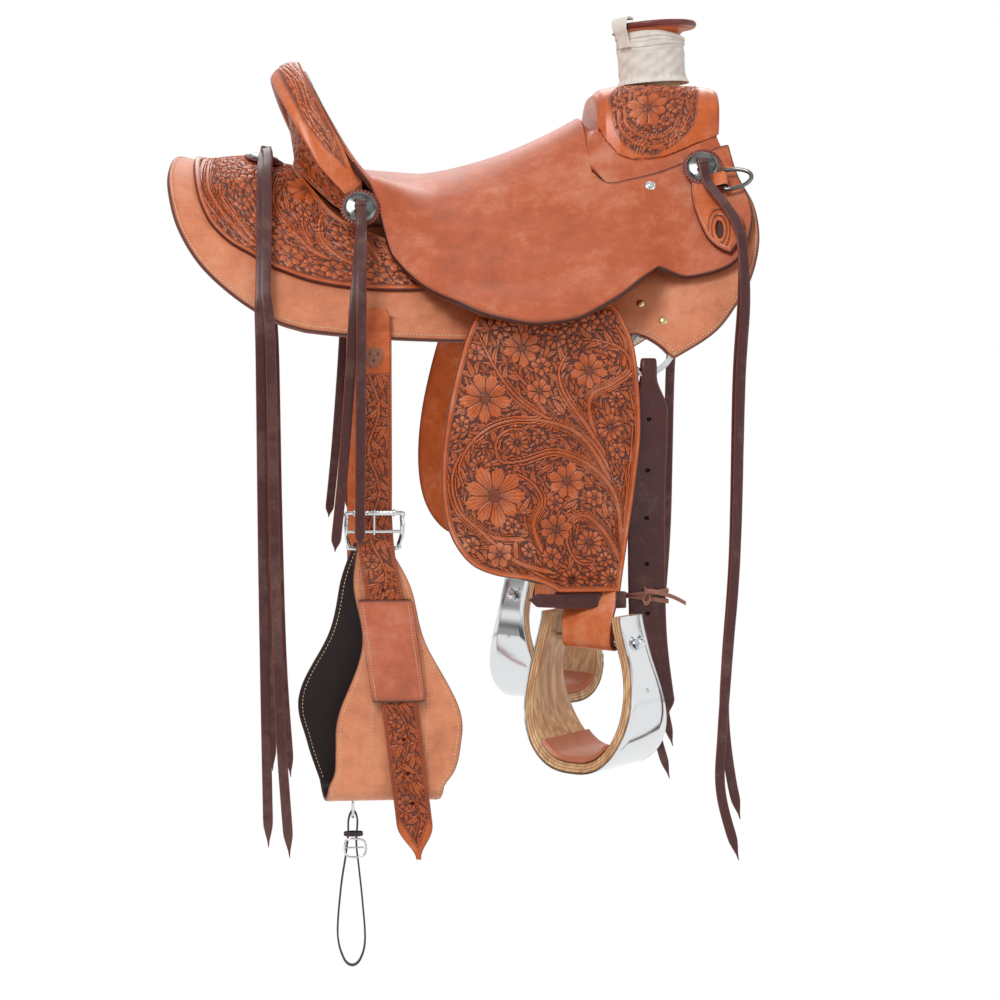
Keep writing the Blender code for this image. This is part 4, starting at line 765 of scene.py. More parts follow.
def tidy(shape):
    points, faces, marks = weld(shape)
    used = np.zeros(len(points), bool)
    for face in faces:
        used[face] = True
    number = np.cumsum(used) - 1
    faces = [[int(number[i]) for i in face] for face in faces]
    return points[used], faces, {k: v[used] for k, v in marks.items()}


def laidPanel(top, foot, rows, lay, thick, **more):
    flat = patternGrid(top, foot, rows)
    base = lay(flat[..., 0], flat[..., 1])
    normal = facing(lay, flat[..., 0], flat[..., 1], 0.002)
    return panelShape(flat, base, normal, thick, **more)


def rimOf(flat):
    return np.vstack([flat[:, 0], flat[-1], flat[::-1, -1], flat[0, ::-1]])


def insetLine(line, inset, spare):
    along = tangents(line)
    side = np.stack([along[:, 1], -along[:, 0]], 1)
    if ((line.mean(0) - line) * side).sum() < 0:
        side = -side
    return (line + side * inset)[spare:-spare]


# Floral tooling: a height field in pattern places

class Tooling:
    def __init__(self, flat, outline, border, pixel=0.4 * mm, ground=0.9 * mm, seed=1):
        low = flat.reshape(-1, 2).min(0) - 2 * mm
        high = flat.reshape(-1, 2).max(0) + 2 * mm
        self.low = low
        self.pixel = pixel
        nx, ny = (np.ceil((high - low) / pixel)).astype(int) + 1
        self.shape = (nx, ny)
        self.u = low[0] + np.arange(nx) * pixel
        self.v = low[1] + np.arange(ny) * pixel
        self.random = np.random.default_rng(seed)
        step = 5
        coarse = np.stack(np.meshgrid(self.u[::step], self.v[::step], indexing="ij"), -1)
        signed = edgeGap(coarse, outline) * np.where(insideOf(coarse, np.asarray(outline)), 1, -1)
        self.gap = self.spread(signed, step)
        self.free = self.gap > border
        self.flow = []
        grit = self.random.random((nx, ny))
        self.high = np.where(self.free, -ground + 0.25 * mm * (grit - 0.5), 0.0)
        self.dark = np.where(self.free, 0.72 + 0.28 * grit, 0.0)
        for at, wide, deep in ((border, 0.7 * mm, 0.9 * mm), (border - 2.0 * mm, 0.5 * mm, 0.5 * mm)):
            line = np.exp(-((self.gap - at) / wide) ** 2)
            self.high -= deep * line * (~self.free)
            self.dark = np.maximum(self.dark, 0.9 * line)
        self.taken = ~self.free

    def spread(self, coarse, step):
        i = np.minimum(np.arange(self.shape[0]) / step, coarse.shape[0] - 1.001)
        j = np.minimum(np.arange(self.shape[1]) / step, coarse.shape[1] - 1.001)
        a, b = i.astype(int)[:, None], j.astype(int)[None]
        s, t = (i % 1)[:, None], (j % 1)[None]
        return ((coarse[a, b] * (1 - s) + coarse[a + 1, b] * s) * (1 - t)
                + (coarse[a, b + 1] * (1 - s) + coarse[a + 1, b + 1] * s) * t)

    def window(self, low, high):
        i0, j0 = np.maximum(((np.asarray(low) - self.low) / self.pixel).astype(int), 0)
        i1, j1 = ((np.asarray(high) - self.low) / self.pixel).astype(int) + 2
        i1, j1 = min(i1, self.shape[0]), min(j1, self.shape[1])
        part = (slice(i0, max(i1, i0)), slice(j0, max(j1, j0)))
        return part, self.u[part[0]][:, None], self.v[part[1]][None]

    def stamp(self, part, inside, rim, high, dark):
        open_ = ~self.taken[part]
        body = open_ & inside
        line = open_ & rim & ~inside
        self.high[part] = np.where(body, high, np.where(line, -1.25 * mm, self.high[part]))
        self.dark[part] = np.where(body, dark, np.where(line, 1.0, self.dark[part]))
        self.taken[part] |= body | line

    def flower(self, at, radius, petals=8, turn=0.2, heart=0.17):
        reach = radius * 1.15
        part, u, v = self.window(np.asarray(at) - reach, np.asarray(at) + reach)
        dx, dy = u - at[0], v - at[1]
        r = np.hypot(dx, dy)
        k = (np.arctan2(dy, dx) + turn) * petals / (2 * math.pi)
        f = k - np.floor(k)
        lobe = np.abs(np.sin(math.pi * f))
        which = np.floor(k) % petals
        size = radius * (0.93 + 0.07 * np.sin(which * 2.4 + turn * 5))
        tooth = np.abs(np.cos(math.pi * 4 * f))
        rim = size * (0.60 + 0.40 * lobe ** 0.6) * (1 - 0.10 * tooth)
        t = r / np.maximum(rim, 1e-6)
        side = np.minimum(f, 1 - f) * 2 * math.pi / petals * r
        vein = np.maximum(0, np.cos(2 * math.pi * 4 * (f - 0.5))) ** 4 * (1 - ease(0.70, 1.0, t))
        tick = np.maximum(0, np.cos(2 * math.pi * 8 * f)) ** 3 * ease(0.78, 0.92, t)
        split = np.exp(-(side / (0.55 * mm)) ** 2)
        high = 0.10 * mm + 0.60 * mm * np.sin(math.pi * np.clip(t, 0, 1) ** 1.4) * lobe ** 0.6
        high = high - 1.0 * mm * split - 0.45 * mm * vein - 0.35 * mm * tick
        dark = np.clip(0.95 * split + 0.75 * vein + 0.6 * tick + 0.7 * (1 - t) ** 2, 0, 1)
        core = radius * heart
        button = r < core
        high = np.where(button, 0.25 * mm + 0.5 * mm * (1 - (r / core) ** 2), high)
        dark = np.where(button, 0.55 + 0.35 * (np.sin(dx / (0.5 * mm)) * np.sin(dy / (0.5 * mm)) > 0), dark)
        ring = np.exp(-((r - core) / (0.5 * mm)) ** 2)
        high = high - 0.8 * mm * ring
        dark = np.maximum(dark, ring)
        self.stamp(part, r < rim, r < rim + 0.9 * mm, high, dark)

    def stroke(self, path, width, kind="stem", side=1):
        path = np.asarray(path, float)
        count = max(8, int(lineLength(path) / (1.2 * mm)))
        line = evenly(path, count)
        wide = width * 1.35 + 1.2 * mm
        part, u, v = self.window(line.min(0) - wide, line.max(0) + wide)
        shape = (u.shape[0], v.shape[1])
        best = np.full(shape, 1e9)
        t = np.zeros(shape)
        q = np.zeros(shape)
        for i in range(count):
            a = line[i]
            d = line[i + 1] - a
            size = max(d @ d, 1e-14)
            pu, pv = u - a[0], v - a[1]
            s = np.clip((pu * d[0] + pv * d[1]) / size, 0, 1)
            du, dv = pu - s * d[0], pv - s * d[1]
            far = du * du + dv * dv
            nearer = far < best
            best = np.where(nearer, far, best)
            t = np.where(nearer, (i + s) / count, t)
            q = np.where(nearer, np.sign(d[0] * pv - d[1] * pu), q)
        away = np.sqrt(best)
        q = q * away * side
        long = lineLength(path)
        if kind == "stem":
            self.flow.append(np.hstack([line, tangents(line)]))
            w = width * mix(1.15, 0.40, t) * (0.3 + 0.7 * ease(0, 0.06, t))
            n = away / np.maximum(w, 1e-6)
            groove = np.exp(-((np.abs(q / w) - 0.42) / 0.15) ** 2) * ease(0.0, 0.10, t) * (1 - ease(0.85, 1.0, t))
            high = 0.45 * mm * (1 - np.clip(n, 0, 1) ** 2) - 0.55 * mm * groove
            dark = 0.8 * groove * ease(1.0 * mm, 1.8 * mm, w)
        elif kind == "leaf":
            w = width * np.sin(math.pi * np.clip(0.06 + 0.94 * t, 0, 1) ** 0.75) + 0.2 * mm
            scallop = np.abs(np.sin(math.pi * t * max(4, round(long / (4.2 * mm)))))
            w = w * np.where(q > 0, 0.88 + 0.22 * scallop, 0.95)
            n = away / np.maximum(w, 1e-6)
            vein = np.sin(2 * math.pi * (t * long + away * 1.1) / (2.3 * mm))
            rib = np.exp(-(away / (0.45 * mm)) ** 2) * (1 - ease(0.85, 1.0, t))
            high = 0.35 * mm * np.sin(math.pi * np.clip(n, 0, 1)) + 0.10 * mm * vein - 0.6 * mm * rib
            dark = np.clip(0.35 * (vein < -0.3) * ease(0.15, 0.5, n) + 0.9 * rib, 0, 1)
        else:
            w = width * np.sin(math.pi * np.clip(0.03 + 0.95 * t, 0, 1) ** 0.6) + 0.15 * mm
            n = away / np.maximum(w, 1e-6)
            hollow = np.exp(-(n / 0.35) ** 2) * ease(0.05, 0.3, t) * (1 - ease(0.6, 0.95, t))
            high = 0.30 * mm * np.sqrt(np.clip(1 - n * n, 0, 1)) - 0.5 * mm * hollow
            dark = 0.7 * hollow
        self.stamp(part, away < w, away < w + 0.8 * mm, high, dark)

    def curl(self, at, heading, length, bendStart, bendEnd, width, kind="stem"):
        n = 26
        step = length / n
        turned = heading + np.cumsum(np.linspace(bendStart, bendEnd, n)) / n
        path = np.vstack([[at], at + np.cumsum(np.stack([np.cos(turned), np.sin(turned)], 1) * step, 0)])
        self.stroke(path, width, kind, 1 if bendEnd > 0 else -1)

    def leaves(self, path, spacing, length, width):
        line = evenly(np.asarray(path, float), max(2, int(lineLength(path) / spacing)))
        along = tangents(line)
        for i in range(1, len(line) - 1):
            heading = math.atan2(along[i, 1], along[i, 0])
            for hand in (1, -1):
                kind = "leaf" if (i + (hand > 0)) % 2 else "drop"
                size = length * (1.0 if kind == "leaf" else 0.7) * self.random.uniform(0.8, 1.15)
                self.curl(line[i], heading + hand * 0.40, size, hand * 0.2, hand * 1.5,
                          width * (1.0 if kind == "leaf" else 0.62), kind)

    def heading(self, at):
        if not self.flow:
            return self.random.uniform(0, 2 * math.pi)
        flow = np.vstack(self.flow)
        found = flow[((flow[:, :2] - at) ** 2).sum(1).argmin()]
        return math.atan2(found[3], found[2])

    def fill(self, smallest, most=260):
        block = 3
        nx, ny = self.shape[0] // block, self.shape[1] // block
        for _ in range(most):
            free = ~self.taken[:nx * block, :ny * block].reshape(nx, block, ny, block).any((1, 3))
            depth = np.zeros(free.shape, int)
            left = free.copy()
            for _ in range(14):
                if not left.any():
                    break
                depth += left
                inner = left.copy()
                inner[1:] &= left[:-1]
                inner[:-1] &= left[1:]
                inner[:, 1:] &= left[:, :-1]
                inner[:, :-1] &= left[:, 1:]
                inner[0] = inner[-1] = False
                inner[:, 0] = inner[:, -1] = False
                left = inner
            deepest = depth.max()
            radius = deepest * block * self.pixel
            if radius < smallest:
                break
            spots = np.argwhere(depth == deepest)
            i, j = spots[self.random.integers(len(spots))]
            at = self.low + (np.array([i, j]) + 0.5) * block * self.pixel
            heading = self.heading(at) + self.random.uniform(-0.25, 0.25)
            ahead = np.array([math.cos(heading), math.sin(heading)])
            bend = self.random.choice((-1.0, 1.0))
            if radius > 9.5 * mm:
                self.flower(at, radius * 1.05, 7, self.random.uniform(0, 1), 0.2)
            elif radius > 4.5 * mm:
                for turn, size in ((0.0, 1.0), (0.55, 0.85), (-0.55, 0.85)):
                    self.curl(at - ahead * radius * 1.2, heading + turn, radius * 3.0 * size, turn * 0.6,
                              (turn or bend * 0.4) * 1.6, radius * 0.34, "leaf")
            else:
                self.curl(at - ahead * radius * 1.9, heading - bend * 0.3, radius * 4.0, bend * 0.3, bend,
                          radius * 0.52, "leaf" if radius > 2.6 * mm else "drop")

    def relief(self, flat, gapTo=None):
        i = np.clip((flat[..., 0] - self.low[0]) / self.pixel, 0, self.shape[0] - 1.001)
        j = np.clip((flat[..., 1] - self.low[1]) / self.pixel, 0, self.shape[1] - 1.001)
        a, b = i.astype(int), j.astype(int)
        s, t = i - a, j - b
        found = []
        for field in (self.high, self.dark):
            found.append((field[a, b] * (1 - s) + field[a + 1, b] * s) * (1 - t)
                         + (field[a, b + 1] * (1 - s) + field[a + 1, b + 1] * s) * t)
        return found


def pixelFinder(flat, base, crop, scale):
    seen = onPhoto(base.reshape(-1, 3))
    places = flat.reshape(-1, 2)

    def find(points):
        found = []
        for x, y in np.atleast_2d(points):
            goal = (crop[0] + x / scale, crop[1] + y / scale)
            found.append(places[((seen - goal) ** 2).sum(1).argmin()])
        return np.array(found)
    return find


# Saddle strings: two free thongs from each concho

string = {"width": 12.5 * mm, "thick": 2.8 * mm, "loopWidth": 12.3 * mm, "loopThick": 2.7 * mm,
          "front": ((0.287, 0.150, 0.0140), (0.295, 0.172, 0.0125), (0.306, 0.200, 0.0115),
                    (0.3145, 0.228, 0.0120), (0.3165, 0.255, 0.0115)),
          "frontInner": ((0.3115, -0.2505, -0.105), (0.3060, -0.2520, -0.20), (0.3030, -0.2520, -0.40),
                         (0.2950, -0.2520, -0.53), (0.2930, -0.2520, -0.60), (0.3010, -0.2520, -0.67),
                         (0.3130, -0.2520, -0.724)),
          "frontOuter": ((0.3135, -0.2570, -0.105), (0.3080, -0.2600, -0.20), (0.3040, -0.2600, -0.40),
                         (0.2950, -0.2600, -0.53), (0.2890, -0.2600, -0.62), (0.2880, -0.2600, -0.69),
                         (0.3100, -0.2600, -0.772)),
          "cantleInner": ((-0.1375, -0.1800, -0.014), (-0.1410, -0.2120, -0.040), (-0.1450, -0.2430, -0.080),
                          (-0.1490, -0.2590, -0.125), (-0.1540, -0.2640, -0.20), (-0.1620, -0.2640, -0.30),
                          (-0.1720, -0.2640, -0.396)),
          "cantleOuter": ((-0.1370, -0.1870, -0.014), (-0.1380, -0.2210, -0.040), (-0.1395, -0.2520, -0.080),
                          (-0.1400, -0.2680, -0.125), (-0.1410, -0.2720, -0.20), (-0.1420, -0.2720, -0.30),
                          (-0.1430, -0.2720, -0.391)),
          "rear": ((0.065, 0.0110), (0.110, 0.0105), (0.165, 0.0095), (0.215, 0.0085), (0.262, 0.0060)),
          "rearX": (-0.2575, -0.2520),
          "rearInner": ((-0.2580, -0.2360, -0.115), (-0.2570, -0.2440, -0.18), (-0.2560, -0.2450, -0.40),
                        (-0.2540, -0.2450, -0.60), (-0.2520, -0.2450, -0.749)),
          "rearOuter": ((-0.2480, -0.2430, -0.115), (-0.2450, -0.2520, -0.18), (-0.2420, -0.2530, -0.40),
                        (-0.2370, -0.2530, -0.60), (-0.2270, -0.2530, -0.760))}
concho = {"radius": 19.5 * mm, "front": (0.282, 0.127), "rear": (-0.255, 0.036),
          "cantle": (-0.138, -0.166, 0.010), "cantleFace": (0, -0.93, 0.36)}


def stringShape(path, twist):
    line = through(path, 110)
    along = tangents(line)
    side = np.array((1.0, 0, 0))
    side = unit(side - along * (along @ side)[:, None])
    out = np.cross(along, side)
    t = np.linspace(0, 1, len(line))
    angle = twist * np.sin(math.pi * np.clip(t * 1.15 - 0.15, 0, 1)) * np.sin(5 * t + twist * 9)
    across = side * np.cos(angle)[:, None] + out * np.sin(angle)[:, None]
    face = np.cross(along, across)
    width = string["width"] * (1 - 0.92 * ease(0.965, 1.0, t) ** 1.2) * (1 - 0.06 * t)
    made = strapShape(line, across, face, width, string["thick"], 9,
                      lambda a, q: (0.25 * mm * np.sin(a / 0.011 + q * 90) * np.cos(a / 0.031), 0.0 * a))
    return line, made


def makeStrings():
    fx, fs = concho["front"]
    rx, rs = concho["rear"]
    cantleOut = unit(concho["cantleFace"])
    over = [[off(seatTop, x, s, r + rise) for x, s, r in string["front"]] for rise in (0.0, 0.0055)]
    behind = [[off(jockeyTop, x, s, r + rise) for s, r in string["rear"]]
              for x, rise in zip(string["rearX"], (0.0, 0.0058))]
    sets = {
        "string_front": (off(seatTop, fx, fs, 0.0155), facing(seatTop, fx, fs),
                         over[0] + list(string["frontInner"]), over[1] + list(string["frontOuter"])),
        "string_cantle": (np.array(concho["cantle"]) + cantleOut * 0.0074, cantleOut,
                          list(string["cantleInner"]), list(string["cantleOuter"])),
        "string_rear": (off(jockeyTop, rx, rs, 0.0112), facing(jockeyTop, rx, rs),
                        behind[0] + list(string["rearInner"]), behind[1] + list(string["rearOuter"]))}
    for name, (fold, out, first, second) in sets.items():
        for leg, (points, rise, twist) in enumerate(((first, 0.0018, 0.10), (second, 0.0072, -0.16))):
            line, made = stringShape([fold + out * rise] + points, twist)
            for side, sign in (("off", 1), ("near", -1)):
                title = f"{name}_{side}_{'ab'[leg]}"
                thing = put(title, made if sign > 0 else mirrored(made), "strap", "saddle", [f"{name}_{side}"])
                path = line * (1, sign, 1)
                tuple(path[0])
                lineLength(path)
        middle = fold + out * 0.0045
        a = np.linspace(-0.5, 0.5, 13) * math.pi
        down = unit(np.asarray(points[0]) - fold)
        arc = middle + out * (np.sin(a) * 0.0027)[:, None] - down * (np.cos(a) * 0.0040)[:, None]
        arc = np.vstack([arc[0] + down * 0.004, arc, arc[-1] + down * 0.004])
        side = unit(np.cross(down, out))
        putBoth(name + "_loop", strapShape(arc, side, np.cross(tangents(arc), side), string["loopWidth"],
                                           string["loopThick"]), "strap")


makeStrings()
print("strings made")


# Skirts and their fleece

skirt = {"top": ((-0.345, 0.004), (-0.25, 0.004), (-0.18, 0.016), (-0.05, 0.030), (0.10, 0.036), (0.20, 0.046),
                 (0.27, 0.064), (0.320, 0.091)),
         "rear": ((-0.345, 0.004), (-0.364, 0.030), (-0.371, 0.090), (-0.368, 0.140), (-0.356, 0.190),
                  (-0.330, 0.233), (-0.290, 0.264), (-0.245, 0.284), (-0.205, 0.290)),
         "foot": ((-0.205, 0.290), (-0.07, 0.286), (0.06, 0.287), (0.186, 0.299)),
         "notch": ((0.186, 0.299), (0.200, 0.307), (0.217, 0.323), (0.229, 0.340)),
         "front": ((0.229, 0.340), (0.279, 0.327), (0.305, 0.308), (0.328, 0.280), (0.341, 0.240),
                   (0.342, 0.195), (0.334, 0.150), (0.320, 0.091)),
         "finer": 10, "rows": 110, "stitch": 5.5 * mm}


def skirtEdges(finer):
    top = through(skirt["top"], 22 * finer)
    edge = chain((skirt["rear"], 8 * finer), (skirt["foot"], 4 * finer), (skirt["notch"], 3 * finer),
                 (skirt["front"], 7 * finer))
    return top, edge


def makeSkirts():
    top, edge = skirtEdges(skirt["finer"])

    def relief(flat, gapTo):
        line = np.exp(-((gapTo - skirt["stitch"]) / (0.9 * mm)) ** 2)
        slot = groove(flat, (-0.1255, 0.262), 0.024, 0.002)
        # the stitch groove carries a darker line in the leather; the slot is darkened as painted shade
        return -0.35 * mm * line - 0.8 * mm * slot, 0.35 * line + slot
    shape = laidPanel(top, edge, skirt["rows"], skirtLay, layer["skirt"], relief=relief)
    putBoth("skirt", shape, "skirt", nodes=["skirt"])
    line = insetLine(edge, skirt["stitch"], 4)
    lay = skirtLay(line[:, 0], line[:, 1], layer["skirt"] + 0.05 * mm)
    rowBoth("skirt_stitches", [lay], 4.2 * mm, (1.5 * mm, 1.5 * mm, 3.0 * mm), "thread")
    top, edge = skirtEdges(6)
    narrow = []
    for line, shift in ((top, 0.003), (edge, -0.005)):
        s = line[:, 1] + shift if shift > 0 else np.maximum(line[:, 1] + shift, 0.0085)
        narrow.append(np.stack([line[:, 0] * 0.988, s], 1))

    def wool(flat, gapTo):
        x, s = flat[..., 0] * 1000, flat[..., 1] * 1000
        curl = np.sin(x * 0.83 + 2.1 * np.sin(s * 0.31)) * np.sin(s * 0.91 + 1.7 * np.sin(x * 0.27))
        fine = np.sin(x * 2.1 + s) * np.sin(s * 1.9 - x * 0.7)
        return (-1.2 * mm + 1.1 * mm * curl + 0.6 * mm * fine) * ease(0, 4 * mm, gapTo), 0 * gapTo
    flat = patternGrid(narrow[0], narrow[1], 130)
    outer = onBack(flat[..., 0], flat[..., 1], layer["fleece"])
    inward = -facing(onBack, flat[..., 0], flat[..., 1], 0.002)
    shape = panelShape(flat, outer, inward, layer["fleece"], relief=wool, flip=True)
    putBoth("fleece", shape, "wool", nodes=["fleece"])


def groove(flat, centre, long, wide):
    dx = np.maximum(np.abs(flat[..., 0] - centre[0]) - long, 0)
    dy = np.abs(flat[..., 1] - centre[1])
    return np.exp(-((np.hypot(dx, dy) / wide) ** 2))


makeSkirts()
print("skirts made")


# Rear jockeys, tooled

jockey = {"finer": 14, "rows": 215, "border": 7.0 * mm, "crop": (165, 60), "scale": 6.149,
          "flowers": (((870, 810), 30, 9), ((730, 1070), 14, 7), ((1075, 1085), 13, 7), ((400, 690), 13, 7),
                      ((1290, 1080), 10, 6), ((680, 640), 12, 7), ((480, 900), 11, 6), ((350, 520), 10, 6)),
          "stems": (((620, 1200), (480, 1090), (330, 920), (262, 760), (300, 610), (400, 570), (480, 640)),
                    ((1010, 1240), (900, 1180), (800, 1080), (700, 960), (660, 850), (690, 740)),
                    ((1250, 1290), (1100, 1240), (970, 1130), (950, 1000), (1020, 930), (1100, 960)),
                    ((560, 1130), (450, 1000), (350, 860), (340, 780)),
                    ((1330, 1260), (1240, 1130), (1160, 1000), (1100, 880), (1010, 780)),
                    ((900, 1160), (850, 1050), (840, 980)),
                    ((300, 560), (240, 640), (215, 760), (240, 860), (330, 1000)))}


def makeRearJockeys():
    k = jockey["finer"]
    phi = np.radians(np.array((0.0, 15.0, 30.0, 45.0, 60.0, 73.0)))
    out = unit(np.stack([-1.0 + 0 * phi, 0.62 * np.sin(phi)], 1)) * 7.3 * mm
    behind = np.stack([cantle["x"] - np.cos(phi) * cantle["depth"] * 0.985,
                       np.maximum(np.sin(phi) * cantle["half"] * 0.985, 0.003)], 1) + out
    side = tuple(tuple(p) for p in behind)
    top = chain((((-0.338, 0.003), (-0.290, 0.003), side[0]), 5 * k), (side, 7 * k),
                ((side[-1], (-0.118, 0.148), (-0.052, 0.176)), 5 * k))
    edge = chain((((-0.338, 0.003), (-0.341, 0.050), (-0.336, 0.120), (-0.322, 0.168), (-0.298, 0.195),
                   (-0.268, 0.209), (-0.240, 0.221)), 9 * k),
                 (((-0.240, 0.221), (-0.200, 0.229), (-0.151, 0.231), (-0.095, 0.228), (-0.045, 0.222)), 8 * k))
    flat = patternGrid(top, edge, jockey["rows"])
    base = overBars(flat[..., 0], flat[..., 1])
    normal = facing(overBars, flat[..., 0], flat[..., 1], 0.002)
    outline = np.vstack([top, edge[::-1]])
    tool = Tooling(flat, np.vstack([outline, outline[:1]]), jockey["border"], seed=4)
    find = pixelFinder(flat, base, jockey["crop"], jockey["scale"])
    drawn(tool, find, jockey["flowers"], jockey["stems"], 11 * mm)
    putBoth("rear_jockey", panelShape(flat, base, normal, layer["jockey"], relief=tool.relief), "tooled",
            nodes=["rear_jockey"])


def drawn(tool, find, flowers, stems, leaf):
    for at, radius, petals in flowers:
        tool.flower(find(at)[0], radius * mm, petals, at[0] * 0.01, 0.18)
    lines = [through(find(stem), 60) for stem in stems]
    for line in lines:
        tool.stroke(line, 2.5 * mm, "stem", 1)
    for line in lines:
        side = tangents(line) @ np.array(((0, 1.0), (-1.0, 0)))
        wide = np.linspace(0.35, 1.25, len(line))[:, None]
        for hand in (1, -1):
            for far, end in ((4.2 * mm, 46), (7.6 * mm, 32)):
                tool.stroke((line + side * wide * hand * far)[3:end], 1.8 * mm, "stem", hand)
    for line in lines:
        tool.leaves(line, leaf, leaf * 1.9, leaf * 0.25)
    tool.fill(1.5 * mm)


makeRearJockeys()
print("rear jockeys made")


# Fenders, tooled all over

hangX = 0.108
fender = {"top": -0.117, "foot": -0.447, "y": -0.2555, "thick": 4.5 * mm, "columns": 330, "rows": 265,
          "rear": ((0.0, 0.112), (0.12, 0.129), (0.38, 0.149), (0.60, 0.155), (0.77, 0.147), (0.885, 0.124),
                   (0.935, 0.092), (0.96, 0.043), (1.0, 0.016)),
          "front": ((0.0, 0.047), (0.05, 0.061), (0.15, 0.075), (0.40, 0.081), (0.60, 0.075), (0.80, 0.066),
                    (0.93, 0.060), (1.0, 0.057)),
          "border": 7.5 * mm, "crop": (435, 310), "scale": 5.315,
          "flowers": (((315, 990), 41, 9), ((265, 470), 33, 9), ((460, 200), 25, 9), ((815, 325), 24, 9),
                      ((700, 910), 25, 8), ((640, 1165), 22, 8), ((550, 435), 17, 8), ((930, 625), 18, 12),
                      ((435, 705), 15, 12), ((820, 1235), 18, 12), ((340, 1300), 18, 7), ((725, 1435), 16, 12),
                      ((930, 1430), 15, 12), ((845, 1000), 12, 6), ((640, 150), 14, 9), ((960, 480), 11, 9),
                      ((215, 230), 12, 7), ((240, 830), 14, 11)),
          "stems": (((1000, 1400), (990, 1200), (950, 980), (830, 830), (640, 755), (470, 800), (345, 800),
                     (330, 690), (420, 630), (500, 660)),
                    ((965, 1060), (900, 850), (760, 660), (560, 590), (360, 600), (210, 690), (130, 830),
                     (150, 940)),
                    ((930, 860), (820, 690), (640, 600), (450, 480), (330, 330), (240, 150)),
                    ((905, 780), (800, 610), (690, 450), (655, 330), (700, 230)),
                    ((880, 760), (822, 560), (835, 450), (935, 395), (1035, 320), (1000, 215), (880, 165),
                     (780, 155)),
                    ((1005, 1230), (1020, 1000), (1050, 800), (1065, 600), (1030, 430)),
                    ((1000, 1360), (900, 1180), (800, 1095), (720, 1130), (700, 1240), (760, 1340), (860, 1350)),
                    ((570, 1290), (520, 1140), (570, 1020), (525, 930), (440, 870)),
                    ((640, 1400), (430, 1335), (250, 1185), (125, 1060), (90, 900), (145, 760), (260, 670)),
                    ((480, 1220), (300, 1205), (170, 1110), (120, 1000)),
                    ((425, 1225), (440, 1330), (530, 1390), (640, 1445)),
                    ((590, 560), (500, 420), (420, 330)), ((1000, 300), (1010, 180), (960, 80)))}


def smoothOff(line, t):
    fine = refine(line, (0, len(line) - 1), 10)
    fine[:, 0] = np.maximum.accumulate(fine[:, 0])
    return np.interp(t, fine[:, 0], fine[:, 1])


def makeFenders():
    t = np.linspace(0, 1, fender["columns"])
    z = mix(fender["top"], fender["foot"], t)
    rear = np.stack([hangX - smoothOff(fender["rear"], t), z], 1)
    front = np.stack([hangX + smoothOff(fender["front"], t), z], 1)
    flat = patternGrid(rear, front, fender["rows"])
    u = (flat[..., 0] - rear[:, None, 0]) / (front - rear)[:, None, 0]
    t = t[:, None]
    droop = -0.011 * ease(0.45, 1.0, u) * (1 - ease(0.0, 0.16, t))
    crown = 0.0020 * (2 * u - 1) ** 2 * (1 - ease(0.5, 1.0, t))
    y = fender["y"] + crown - 0.004 * np.sin(math.pi * t) - 0.006 * t + 0.004 * (1 - ease(0, 0.04, t))
    flat[..., 1] -= droop
    base = vec(flat[..., 0], y, flat[..., 1])
    normal = -unit(np.cross(np.gradient(base, axis=0), np.gradient(base, axis=1)))
    if normal[..., 1].mean() > 0:
        normal = -normal
    outline = rimOf(flat)
    tool = Tooling(flat, outline, fender["border"], seed=7)
    find = pixelFinder(flat, base, fender["crop"], fender["scale"])
    drawn(tool, find, fender["flowers"], fender["stems"], 12 * mm)
    shape = panelShape(flat, base, normal, fender["thick"], relief=tool.relief, outline=outline)
    putBoth("fender", outward(shape), "tooled", "fender", ["fender"])


makeFenders()
print("fenders made")


# The seat leather, with its side flaps and front jockeys

seat = {"finer": 14, "rows": 90, "burn": 3.2 * mm, "underFork": (0.130, 0.312, 0.126),
        "spine": (((cantle["x"], 0.0), (0.0, 0.0), (0.146, 0.0)), 9),
        "hole": ((((0.146, 0.0), (0.1465, 0.06), (0.149, 0.100)), 4),
                 (((0.149, 0.100), (0.161, 0.112), (0.210, 0.115), (0.285, 0.113), (0.316, 0.112)), 7)),
        "flap": ((((cantle["x"], 0.1407), (-0.126, 0.155), (-0.112, 0.165), (-0.100, 0.188), (-0.080, 0.216),
                   (-0.045, 0.253), (0.0, 0.279), (0.060, 0.291)), 9),
                 (((0.060, 0.291), (0.115, 0.289), (0.166, 0.272)), 4),
                 (((0.166, 0.272), (0.193, 0.256), (0.213, 0.240)), 2),
                 (((0.213, 0.240), (0.241, 0.251), (0.272, 0.260), (0.303, 0.260), (0.324, 0.247),
                   (0.333, 0.220), (0.333, 0.180), (0.316, 0.112)), 5))}


def rimPlace(reach, phi):
    return np.stack([cantle["x"] - np.cos(phi) * cantle["depth"] * reach,
                     np.sin(np.abs(phi)) * cantle["half"] * reach], -1)


def seatEdges():
    rim = rimPlace(0.97, np.linspace(0, math.pi / 2, 10))
    share = (np.arange(10) / 9) ** 1.2
    centre = np.stack([mix(rim[0, 0], cantle["x"], share), 0 * share], 1)
    top = np.vstack([centre, chain(seat["spine"])[1:], chain(*seat["hole"])[1:]])
    edge = np.vstack([rim, chain(*seat["flap"])[1:]])
    return refine(top, (0, 18, 22, 29), seat["finer"]), refine(edge, (0, 9, 24, 29), seat["finer"])


def makeSeat():
    top, edge = seatEdges()
    half = laidPanel(top, edge, seat["rows"], seatLay, layer["seat"], seam=True, burn=seat["burn"])
    points, faces, marks = tidy(joined(half, mirrored(half)))
    rear, front, wide = seat["underFork"]
    under = (points[:, 0] > rear) & (points[:, 0] < front) & (np.abs(points[:, 1]) < wide)
    marks["edge"] = np.where(under, 0.0, marks["edge"])
    put("seat_leather", (points, faces, marks), "seat", nodes=["seat_leather"])


makeSeat()


